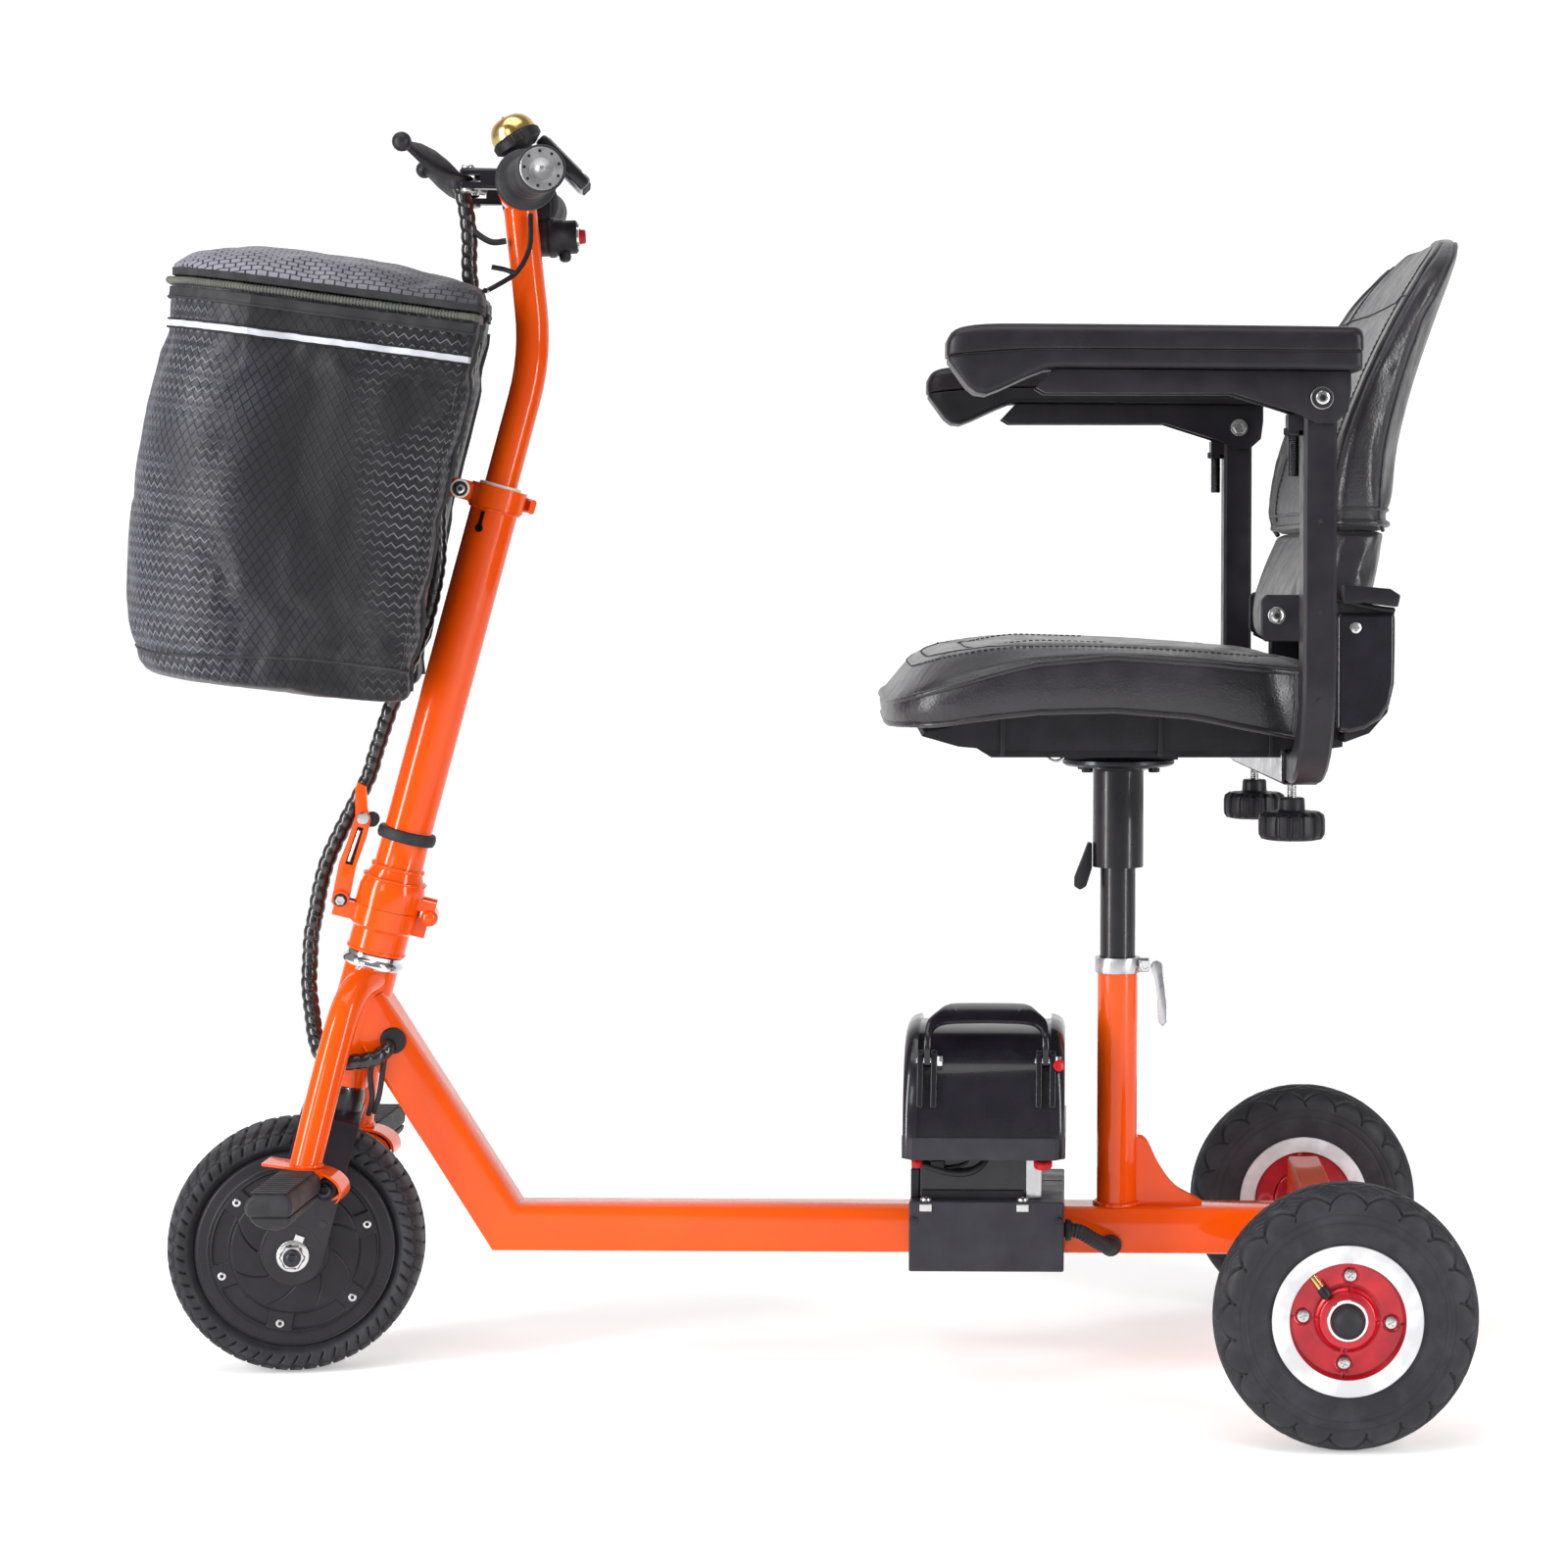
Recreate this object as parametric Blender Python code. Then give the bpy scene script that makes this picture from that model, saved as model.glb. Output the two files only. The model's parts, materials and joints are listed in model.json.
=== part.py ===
"""Three-wheeled folding mobility scooter, built as an assembly of separate parts.

Metres. X runs from nose (-) to tail (+), Y from the rider's left (-) to the right (+), Z up.
Every moving group hangs from an empty that stands on its joint axis.
"""

import math

import bmesh
import bpy
from mathutils import Matrix, Vector

MM = 0.001

# wheels
FRONT_RADIUS = 103.5 * MM
FRONT_AXLE = Vector((-0.402, 0, FRONT_RADIUS))
REAR_AXLE_X = 440 * MM
REAR_RADIUS = 100 * MM
HALF_TRACK = 235 * MM

# steering column
COLUMN_LEAN = math.radians(14.8)
STEER_AT_REST = math.radians(9.0)
STEM_BEND = math.radians(21)
STEM_BEND_RADIUS = 200 * MM
STEM_BEND_START = 718 * MM
BAR_U = -48 * MM
BAR_S = 880 * MM
BAR_HALF = 238 * MM
BAR_SWEEP = math.radians(5)

# frame
DECK_Z = 119 * MM
CORNER_X = -229 * MM

# seat
SEAT_POST_X = 271 * MM
SEAT_SWIVEL = math.radians(4.2)
SEAT_TUBE_TOP = 328 * MM
ARM_Y = 250 * MM
ARM_POST_X = 398.5 * MM
ARM_PIVOT_Z = 787 * MM
BACK_HINGE = Vector((420.5, 0, 617)) * MM

ORANGE = ("orange_paint", (0.85, 0.16, 0.01), 0.25, 0.0)
BLACK_STEEL = ("black_steel", (0.015, 0.015, 0.017), 0.4, 0.3)
BLACK_PLASTIC = ("black_plastic", (0.018, 0.018, 0.02), 0.5, 0.0)
VINYL = ("black_vinyl", (0.025, 0.025, 0.028), 0.42, 0.0)
RUBBER = ("rubber", (0.02, 0.02, 0.021), 0.7, 0.0)
CHROME = ("chrome", (0.75, 0.75, 0.76), 0.15, 1.0)
RED = ("red_enamel", (0.45, 0.005, 0.02), 0.25, 0.3)
BRASS = ("brass", (0.72, 0.48, 0.18), 0.25, 1.0)
CLOTH = ("bag_cloth", (0.03, 0.03, 0.036), 0.8, 0.0)
CASE = ("case_black", (0.012, 0.012, 0.013), 0.35, 0.0)


def clear_scene():
    for obj in list(bpy.data.objects):
        bpy.data.objects.remove(obj, do_unlink=True)


def material(spec):
    name, colour, roughness, metallic = spec
    if name in bpy.data.materials:
        return bpy.data.materials[name]
    mat = bpy.data.materials.new(name)
    mat.use_nodes = True
    shader = mat.node_tree.nodes["Principled BSDF"]
    shader.inputs["Base Color"].default_value = (*colour, 1.0)
    shader.inputs["Roughness"].default_value = roughness
    shader.inputs["Metallic"].default_value = metallic
    return mat


def finish(name, mesh, spec):
    """Object from a mesh, shaded smooth with its corners above 35 degrees kept crisp."""
    obj = bpy.data.objects.new(name, mesh)
    bpy.context.scene.collection.objects.link(obj)
    mesh.materials.clear()
    mesh.materials.append(material(spec))
    mesh.shade_smooth()
    mesh.set_sharp_from_angle(angle=math.radians(35))
    return obj


def mesh_from(bm, name):
    bmesh.ops.remove_doubles(bm, verts=bm.verts, dist=1e-6)
    bmesh.ops.dissolve_degenerate(bm, edges=bm.edges, dist=1e-6)
    loose = [edge for edge in bm.edges if not edge.link_faces]
    bmesh.ops.delete(bm, geom=loose, context="EDGES")
    bmesh.ops.recalc_face_normals(bm, faces=bm.faces)
    mesh = bpy.data.meshes.new(name)
    bm.to_mesh(mesh)
    bm.free()
    return mesh


def loft(rings, closed=False):
    """Skin over rings of equal length, capped at the ends unless the row of rings closes on itself."""
    bm = bmesh.new()
    rows = [[bm.verts.new(p) for p in ring] for ring in rings]
    count = len(rings[0])
    pairs = list(zip(rows, rows[1:]))
    if closed:
        pairs.append((rows[-1], rows[0]))
    for near, far in pairs:
        for i in range(count):
            j = (i + 1) % count
            bm.faces.new((near[i], near[j], far[j], far[i]))
    if not closed:
        bm.faces.new(rows[0])
        bm.faces.new(rows[-1])
    return mesh_from(bm, "loft")


def lathe(profile, frame=None, segments=40):
    """Turned solid about the frame's Z; the profile is a closed loop of (radius, height) in mm."""
    frame = frame or Matrix()
    rings = []
    for k in range(segments):
        turn = 2 * math.pi * k / segments
        ring = [frame @ Vector((r * MM * math.cos(turn), r * MM * math.sin(turn), z * MM)) for r, z in profile]
        rings.append(ring)
    return loft(rings, closed=True)


def prism(outline, low, high, frame=None):
    """Plate with an (x, z) outline in mm, running from low to high along the frame's Y."""
    frame = frame or Matrix()
    rings = []
    for y in (low, high):
        rings.append([frame @ (Vector((x, y, z)) * MM) for x, z in outline])
    return loft(rings)


def box(low, high, frame=None, bevel=0.0, segments=2):
    """Block between two corners in mm, edges rounded by bevel mm."""
    frame = frame or Matrix()
    bm = bmesh.new()
    bmesh.ops.create_cube(bm, size=1.0)
    centre = (Vector(low) + Vector(high)) * 0.5 * MM
    size = (Vector(high) - Vector(low)) * MM
    for vert in bm.verts:
        vert.co = Vector((vert.co[i] * size[i] + centre[i] for i in range(3)))
    if bevel:
        bmesh.ops.bevel(bm, geom=bm.edges[:], offset=bevel * MM, segments=segments, affect="EDGES", profile=0.5)
    bm.transform(frame)
    return mesh_from(bm, "box")


def sweep(section, path, normal):
    """Bar of constant (side, normal) section in mm along a flat path of points in metres, mitred at bends."""
    normal = Vector(normal).normalized()
    points = [Vector(p) for p in path]
    rings = []
    for i, point in enumerate(points):
        before = (point - points[i - 1]).normalized() if i else None
        after = (points[i + 1] - point).normalized() if i + 1 < len(points) else None
        tangent = ((before or after) + (after or before)).normalized()
        side = tangent.cross(normal).normalized()
        stretch = 1.0 / max(0.2, tangent.dot(before or after))
        rings.append([point + side * a * MM * stretch + normal * b * MM for a, b in section])
    return loft(rings)


def square(width, depth, radius=3.0, steps=2):
    """Rounded rectangle outline in mm."""
    out = []
    for cx, cy, start in ((1, 1, 0), (-1, 1, 90), (-1, -1, 180), (1, -1, 270)):
        for k in range(steps + 1):
            a = math.radians(start + 90 * k / steps)
            x = cx * (width / 2 - radius) + radius * math.cos(a)
            y = cy * (depth / 2 - radius) + radius * math.sin(a)
            out.append((x, y))
    return out


def circle(radius, count=24):
    return [
        (radius * math.cos(2 * math.pi * k / count), radius * math.sin(2 * math.pi * k / count)) for k in range(count)
    ]


def combine(base, tool, operation):
    """One mesh from two by an exact boolean."""
    first = finish("base", base, ORANGE)
    second = finish("tool", tool, ORANGE)
    mod = first.modifiers.new("join", "BOOLEAN")
    mod.operation = operation
    mod.solver = "EXACT"
    mod.object = second
    graph = bpy.context.evaluated_depsgraph_get()
    graph.update()
    bm = bmesh.new()
    bm.from_mesh(first.evaluated_get(graph).to_mesh())
    for obj in (first, second):
        bpy.data.objects.remove(obj, do_unlink=True)
    return mesh_from(bm, "combined")


def union(*meshes):
    out = meshes[0]
    for mesh in meshes[1:]:
        out = combine(out, mesh, "UNION")
    return out


def cut(base, *tools):
    for tool in tools:
        base = combine(base, tool, "DIFFERENCE")
    return base


def cylinder(radius, low, high, frame=None, segments=32, axis="Z", centre=(0, 0)):
    """Round bar in mm along one axis of the frame, through centre in the other two axes."""
    frame = frame or Matrix()
    if axis == "Z":
        place = Matrix.Translation(Vector((centre[0], centre[1], 0)) * MM)
    elif axis == "Y":
        place = Matrix.Translation(Vector((centre[0], 0, centre[1])) * MM) @ Matrix.Rotation(-math.pi / 2, 4, "X")
    else:
        place = Matrix.Translation(Vector((0, centre[0], centre[1])) * MM) @ Matrix.Rotation(math.pi / 2, 4, "Y")
    rings = []
    for z in (low, high):
        rings.append([frame @ place @ (Vector((x, y, z)) * MM) for x, y in circle(radius, segments)])
    return loft(rings)


def hose(name, points, radius, spec, sides=2):
    """Round hose or wire through the points, a filled curve."""
    curve = bpy.data.curves.new(name, "CURVE")
    curve.dimensions = "3D"
    curve.bevel_depth = radius * MM
    curve.bevel_resolution = sides
    curve.use_fill_caps = True
    spline = curve.splines.new("POLY")
    spline.points.add(len(points) - 1)
    for target, point in zip(spline.points, points):
        target.co = (*point, 1.0)
    curve.materials.append(material(spec))
    obj = bpy.data.objects.new(name, curve)
    bpy.context.scene.collection.objects.link(obj)
    return obj


def spread(points, step):
    """Points every step mm along a smooth curve through the given ones."""
    knots = [Vector(p) for p in points]
    fine = []
    padded = [knots[0] * 2 - knots[1]] + knots + [knots[-1] * 2 - knots[-2]]
    for a, b, c, d in zip(padded, padded[1:], padded[2:], padded[3:]):
        for k in range(20):
            t = k / 20
            fine.append(
                0.5 * (2 * b + (c - a) * t + (2 * a - 5 * b + 4 * c - d) * t**2 + (3 * b - a - 3 * c + d) * t**3)
            )
    fine.append(knots[-1])
    total = sum((q - p).length for p, q in zip(fine, fine[1:]))
    count = max(2, round(total / (step * MM)))
    out = [fine[0]]
    walked = 0.0
    for p, q in zip(fine, fine[1:]):
        span = (q - p).length
        while len(out) < count and walked + span >= total * len(out) / count:
            out.append(p.lerp(q, (total * len(out) / count - walked) / span))
        walked += span
    out.append(knots[-1])
    return out


def pivot(name, frame, parent=None):
    """Empty on a joint axis; its local Z is the axis."""
    empty = bpy.data.objects.new(name, None)
    bpy.context.scene.collection.objects.link(empty)
    bpy.context.view_layer.update()
    if parent:
        empty.parent = parent
        empty.matrix_parent_inverse = parent.matrix_world.inverted()
    empty.matrix_world = frame
    bpy.context.view_layer.update()
    return empty


def ride(obj, parent):
    """Hang an object from a pivot without moving it."""
    obj.parent = parent
    obj.matrix_parent_inverse = parent.matrix_world.inverted()
    return obj


def axis_frame(point, direction):
    """Frame at a point (metres) whose Z looks along the direction."""
    turn = Vector(direction).to_track_quat("Z", "Y")
    return Matrix.Translation(Vector(point)) @ turn.to_matrix().to_4x4()


# The steering frame stands on the front axle with Z up the leaning column and X to the rear.
STEER = Matrix.Translation(FRONT_AXLE) @ Matrix.Rotation(COLUMN_LEAN, 4, "Y")
BAR_CENTRE = STEER @ Vector((BAR_U, 0, BAR_S))
BAR = Matrix.Translation(BAR_CENTRE)
SEAT = Matrix.Translation((SEAT_POST_X, 0, 0))


def in_steer(u, y, s):
    return STEER @ (Vector((u, y, s)) * MM)


# ---------------------------------------------------------------- frame


def build_main_frame():
    """Welded frame: leaning front tube, deck tube, rear beam, head tube, seat tube and gusset."""
    path = [in_steer(4, 0, 205), Vector((CORNER_X, 0, DECK_Z)), Vector((REAR_AXLE_X, 0, DECK_Z))]
    spine = sweep(square(38, 38, 4), path, (0, 1, 0))
    head_tube = cylinder(22, 137.5, 235.5, STEER, 28)
    beam = box((424, -196, 90), (453, 196, 143), bevel=2.5, segments=1)
    seat_tube = cylinder(16.5, 125, 328, SEAT, 28)
    gusset = [(14, 195), (24, 190), (34, 170), (48, 152), (70, 141), (70, 128), (5, 128), (5, 195)]
    solid = union(spine, head_tube, beam, seat_tube, prism(gusset, -4, 4, SEAT))
    solid = cut(solid, cylinder(17, 130, 245, STEER, 28), cylinder(14.9, 142, 340, SEAT, 28))
    return finish("main_frame", solid, ORANGE)


def build_headset():
    profile = [(16, 235.8), (24, 235.8), (24, 240), (22, 243), (22, 246.5), (16, 246.5)]
    return finish("headset_ring", lathe(profile, STEER, 24), CHROME)


def build_footrest(side):
    """Round tube down from the head tube, ending in a bent sheet hood that carries the peg."""
    start = in_steer(2, side * 14, 228)
    middle = Vector((-352, side * 52, 300)) * MM
    bottom = Vector((-375, side * 97, 195)) * MM
    tube = sweep(circle(12.5, 18), [start, middle, bottom], (bottom - start).cross(middle - start).normalized())
    tube = cut(tube, cylinder(22.3, 100, 280, STEER, 28), cylinder(24.4, 235.3, 280, STEER, 28))
    tube = cut(tube, box((-440, -19.4, 90), (-180, 19.4, 420)))
    hood = [(-400, 192), (-372, 191), (-342, 185), (-331, 176), (-330, 160), (-334, 158), (-335, 171), (-344, 181)]
    hood += [(-373, 187), (-400, 188)]
    ear = [(-372, 190), (-345, 185), (-337, 176), (-337, 160), (-352, 154), (-372, 164)]
    low, high = sorted((side * 84, side * 114))
    collar = box((-388, low, 187.5), (-362, high, 197))
    plate = prism(ear, *sorted((side * 85, side * 89)))
    name = "footrest_left" if side < 0 else "footrest_right"
    return finish(name, union(tube, prism(hood, low, high), plate, collar), ORANGE)


def build_peg(side):
    """Rubber foot peg bolted to the hood."""
    low, high = sorted((side * 91, side * 214))
    body = box((-393, low, 164), (-356, high, 182.5), bevel=6)
    under = sorted((side * 120, side * 211))
    belly = prism([(-390, 167.5), (-380, 156), (-366, 152), (-358, 156), (-356, 167.5)], *under)
    bolt = cylinder(7, *sorted((side * 90, side * 112)), segments=18, axis="Y", centre=(-354, 167))
    name = "foot_peg_left" if side < 0 else "foot_peg_right"
    return finish(name, union(body, belly, bolt), RUBBER)


def build_controller():
    """Aluminium controller housing hung across the deck tube, with the battery dock on top."""
    body = box((104, -75, 97), (228, 75, 153), bevel=1.5, segments=1)
    dock = box((112, -60, 152), (210, 60, 187.7), bevel=2, segments=1)
    solid = union(body, dock)
    channel = box((90, -19.4, 90), (240, 19.4, 138.4))
    return finish("controller_box", cut(solid, channel), CASE)


def build_battery():
    """Battery case: a loaf with chamfered end flanges, and ears for the handle on its rider's-left shoulder."""
    loaf = [(-82, 188), (-82, 208), (-79, 232), (-70, 256), (-56, 274), (-38, 284), (-16, 287)]
    loaf += [(16, 287), (38, 284), (56, 274), (70, 256), (79, 232), (82, 208), (82, 188)]
    end = [(-84, 188), (-84, 210), (-81, 240), (-72, 266), (-60, 281), (-40, 290), (-16, 292)]
    end += [(16, 292), (40, 290), (60, 281), (72, 266), (81, 240), (84, 210), (84, 188)]
    turn = Matrix.Rotation(-math.pi / 2, 4, "Z")
    solid = prism(loaf, 106, 221, turn)
    for low, high in ((99, 108), (219, 228)):
        solid = union(solid, prism([(-y, z) for y, z in end], low, high, turn))
    solid = union(solid, box((98, -86, 188), (229, 86, 206), bevel=2, segments=1))
    for x in (110, 205):
        ear = [(58, 268), (66, 272), (72, 264), (83, 230), (76, 228), (60, 256)]
        solid = union(solid, prism(ear, x, x + 5, turn))
        solid = union(solid, prism(ear, x + 11, x + 16, turn))
    return finish("battery_case", solid, CASE)


def build_battery_handle():
    """Folding carry handle: two legs pinned between the ears and a wide grip resting over the crown."""
    turn = Matrix.Rotation(-math.pi / 2, 4, "Z")
    solid = prism([(61, 286), (63.5, 293.5), (52, 301), (28, 304), (28, 300), (48, 295)], 115.5, 215.5, turn)
    leg = [(66.8, 261), (72, 261), (74, 268), (71, 280), (62, 290.5), (57, 291.5), (60, 284.5), (66, 272)]
    for low, high in ((115.8, 120.2), (210.8, 215.2)):
        solid = union(solid, prism(leg, low, high, turn))
    return finish("battery_handle", solid, BLACK_PLASTIC)


def build_rear_axle(side):
    """Stub axle welded into the beam, with the domed cap over its nut."""
    frame = axis_frame((REAR_AXLE_X, side * HALF_TRACK, REAR_RADIUS), (0, side, 0))
    bolt = [(0, -38.6), (8, -38.6), (8, 21), (12.5, 21), (12.5, 27), (10, 31), (5, 33.5), (0, 34)]
    name = "rear_axle_left" if side < 0 else "rear_axle_right"
    return finish(name, lathe(bolt, frame, 20), CHROME)


def build_rear_wheel(side):
    """Tyre and dished hub of one rear wheel."""
    frame = axis_frame((REAR_AXLE_X, side * HALF_TRACK, REAR_RADIUS), (0, side, 0))
    tag = "left" if side < 0 else "right"
    hub = [(8.4, -26), (14, -26), (14, -15), (42, -15), (43.5, -24), (56.5, -24), (56.5, -21), (48, -18)]
    hub += [(48, 18), (56.5, 21), (56.5, 24), (43.5, 24), (42, 15), (27, 13), (25, 19), (8.4, 20)]
    hub_obj = finish(f"rear_hub_{tag}", lathe(hub, frame, 24), RED)
    tyre = [(49, -17), (60, -21.3), (78, -25), (91, -22), (100, -8), (100, 8), (91, 22), (78, 25), (60, 21.3), (49, 17)]
    tyre_obj = finish(f"rear_tyre_{tag}", lathe(tyre, frame, 36), RUBBER)
    return hub_obj, tyre_obj


def build_seat_collar():
    band = lathe([(15.2, 328.4), (18.5, 328.4), (18.5, 341), (15.2, 341)], SEAT, 32)
    lug = box((16.5, -7, 329), (26, 7, 340), SEAT, bevel=1, segments=1)
    return finish("seat_collar", union(band, lug), CHROME)


def build_seat_lever():
    """Quick-release lever hanging down behind the seat tube."""
    drop = [(27.5, 333), (29, 337), (33, 338), (37, 335), (38, 326), (41, 302), (41, 288), (37, 284), (33.5, 288)]
    drop += [(33, 306), (31, 322), (28.5, 328)]
    return finish("seat_lever", prism(drop, -5, 5, SEAT), CHROME)


def build_rear_conduit():
    """Short hose from the back of the controller to the side of the deck tube."""
    knots = [(234, -50, 126), (242, -49, 124), (254, -45, 116), (263, -38, 110), (266, -27, 108)]
    points = [Vector((228.5, -50, 126)) * MM] + spread([Vector(p) * MM for p in knots], 6)
    points.append(Vector((266, -19.5, 108)) * MM)
    return hose("rear_conduit", points, 6, RUBBER, 2)


# ---------------------------------------------------------------- steering


def build_fork():
    """Steel strap fork over the front wheel with its steerer shaft."""
    path = []
    for y, s in ((-44, 0), (-44, 104), (-40, 111), (-32, 114), (32, 114), (40, 111), (44, 104), (44, 0)):
        path.append(in_steer(0, y, s))
    strap = sweep(square(5, 48, 1, 1), path, STEER.to_3x3() @ Vector((1, 0, 0)))
    solid = union(strap, cylinder(24, -46.8, -41.2, STEER, 24, "Y"), cylinder(24, 41.2, 46.8, STEER, 24, "Y"))
    ring = lathe([(0, 113), (22.2, 113), (22.2, 128), (20, 136.8), (14.5, 136.8), (14.5, 247), (0, 247)], STEER, 28)
    axle = cylinder(6, -58, 58, STEER, 20, "Y")
    nuts = [cylinder(10, -54, -46, STEER, 6, "Y"), cylinder(10, 46, 54, STEER, 6, "Y")]
    washers = [cylinder(12.5, -48.5, -45, STEER, 24, "Y"), cylinder(12.5, 45, 48.5, STEER, 24, "Y")]
    return finish("fork", union(solid, ring, axle, *nuts, *washers), BLACK_STEEL)


def build_front_wheel():
    """Hub motor with its side covers, and the tyre on it."""
    frame = axis_frame(FRONT_AXLE, (0, -1, 0))
    hub = [(6.4, -32), (27, -32), (29, -29), (64, -27), (70, -24), (80, -24), (80, -20), (73.5, -18)]
    hub += [(73.5, 18), (80, 20), (80, 24), (70, 24), (64, 27), (29, 29), (27, 32), (6.4, 32)]
    hub_obj = finish("front_hub", lathe(hub, frame, 28), BLACK_PLASTIC)
    tyre = [(74, -17), (81, -20.2), (85, -25), (92, -28.5), (99, -24), (103.5, -8), (103.5, 8)]
    tyre += [(99, 24), (92, 28.5), (85, 25), (81, 20.2), (74, 17)]
    tyre_obj = finish("front_tyre", lathe(tyre, frame, 36), RUBBER)
    return hub_obj, tyre_obj


def build_steerer_head():
    """Collar on the steerer: lower half of the folding joint, hinge ear behind, latch ears in front."""
    turned = [(0, 247.3), (23.5, 247.3), (23.5, 266), (27, 269), (27, 284.6), (0, 284.6)]
    solid = lathe(turned, STEER, 28)
    ear = box((14, -8, 268), (35, 8, 284), STEER)
    knuckle = cylinder(7, -8, 8, STEER, 20, "Y", (35, 286))
    solid = union(solid, ear, knuckle)
    for side in (-1, 1):
        low, high = sorted((side * 6.6, side * 11))
        solid = union(solid, box((-42, low, 270), (-14, high, 284), STEER))
        solid = union(solid, cylinder(7, low, high, STEER, 20, "Y", (-38, 283)))
    return finish("steerer_head", solid, ORANGE)


def build_latch():
    """Slotted lever that locks the folding joint, pivoted between the front ears."""
    outline = [(-45, 279), (-38, 276), (-31, 280), (-32, 296), (-33, 312), (-31, 336), (-31, 352), (-36, 360)]
    outline += [(-42, 377), (-49, 379), (-50, 374), (-44, 352), (-45, 330), (-47, 312), (-46, 296)]
    blade = prism(outline, -6, 6, STEER)
    slot = prism([(-42, 312), (-36, 312), (-35, 344), (-40, 344)], -10, 10, STEER)
    bolt = cylinder(5.5, -9, 9, STEER, 18, "Y", (-37, 352))
    return finish("fold_latch", union(cut(blade, slot), bolt), ORANGE)


# ---------------------------------------------------------------- column and stem


def build_column():
    """Outer column tube with the upper half of the folding joint and the height clamp at its mouth."""
    turned = [(0, 285), (27, 285), (27, 300), (25, 308), (20, 318), (19.5, 340), (19.5, 624), (23, 624)]
    turned += [(23, 642), (0, 642)]
    solid = lathe(turned, STEER, 28)
    for side in (-1, 1):
        low, high = sorted((side * 8.4, side * 13.5))
        solid = union(solid, box((12, low, 290), (38, high, 299), STEER))
        solid = union(solid, cylinder(7, low, high, STEER, 18, "Y", (35, 286)))
    ears = box((-39, -10, 625), (-18, 8, 641), STEER, bevel=2, segments=1)
    solid = union(solid, ears, cylinder(8, -11.5, -9, STEER, 18, "Y", (-31, 633)))
    return finish("column_tube", cut(solid, cylinder(15, 400, 660, STEER, 28)), ORANGE)


def build_stop_ring():
    profile = [(19.9, 341), (23, 341.5), (24, 344), (24, 348), (23, 350.5), (19.9, 351)]
    return finish("stop_ring", lathe(profile, STEER, 24), RUBBER)


def build_clamp_lever():
    """Cam lever wrapped round the far side of the height clamp."""
    path = [in_steer(-31, 16, 633), in_steer(-24, 23, 633)]
    for degrees in (125, 100, 75, 50, 25, 5):
        a = math.radians(degrees)
        path.append(in_steer(29.5 * math.cos(a), 29.5 * math.sin(a), 633))
    strip = sweep(square(5, 12, 1.5, 1), path, STEER.to_3x3() @ Vector((0, 0, 1)))
    cam = cylinder(6.5, 626, 640, STEER, 20, "Z", (-31, 15))
    return finish("clamp_lever", union(strip, cam), ORANGE)


def stem_path():
    """Centre line of the telescopic stem, straight in the column and curving forward to the bar."""
    points = [Vector((0, 0, 470)), Vector((0, 0, STEM_BEND_START / MM))]
    radius = STEM_BEND_RADIUS / MM
    for k in range(1, 7):
        a = STEM_BEND * k / 6
        points.append(Vector((-radius * (1 - math.cos(a)), 0, STEM_BEND_START / MM + radius * math.sin(a))))
    points.append(Vector((BAR_U / MM + 4.6, 0, BAR_S / MM - 12)))
    return [in_steer(p.x, 0, p.z) for p in points]


def build_stem():
    """Telescopic stem; a short sleeve at its top holds the handlebar."""
    tube = sweep(circle(13.5, 20), stem_path(), (0, 1, 0))
    sleeve = cylinder(16, -24, 24, BAR, 24, "Y")
    bore = cylinder(11.4, -40, 40, BAR, 24, "Y")
    return finish("stem", cut(union(tube, sleeve), bore), ORANGE)


def bar_path():
    flat = BAR_HALF * math.cos(BAR_SWEEP)
    back = BAR_HALF * math.sin(BAR_SWEEP)
    rise = 60 * MM
    ends = []
    for side in (-1, 1):
        ends.append([Vector((back, side * flat, 0)), Vector((0, side * rise, 0))])
    return [BAR @ ends[0][0], BAR @ ends[0][1], BAR @ ends[1][1], BAR @ ends[1][0]]


def build_handlebar():
    """Handlebar with the two forked brake clamps made on it."""
    solid = sweep(circle(11, 16), bar_path(), (0, 0, 1))
    for side in (-1, 1):
        clamp = cylinder(15, *sorted((side * 76, side * 100)), BAR, 20, "Y", (2, 0))
        low, high = sorted((side * 80, side * 101))
        fork = box((-44, low, -5), (-4, high, 11), BAR, bevel=2, segments=1)
        low, high = sorted((side * 60, side * 120))
        solid = cut(union(solid, clamp, fork), box((-60, low, 0), (-28, high, 6), BAR))
    return finish("handlebar", solid, BLACK_STEEL)


def grip_frame(side):
    """Frame on one end of the bar, Z outward along the grip."""
    path = bar_path()
    inner, outer = (path[1], path[0]) if side < 0 else (path[2], path[3])
    return axis_frame(outer, outer - inner)


def build_grip(side):
    """Rubber grip with its inner flange and end cap."""
    profile = [(11.3, -112), (24, -112), (24, -105), (18, -100), (16.5, -60), (18, -6), (18, 3.8), (0, 3.8), (0, 0.4), (11.3, 0.4)]
    name = "grip_left" if side < 0 else "throttle_grip"
    return finish(name, lathe(profile, grip_frame(side), 24), RUBBER)


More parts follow.
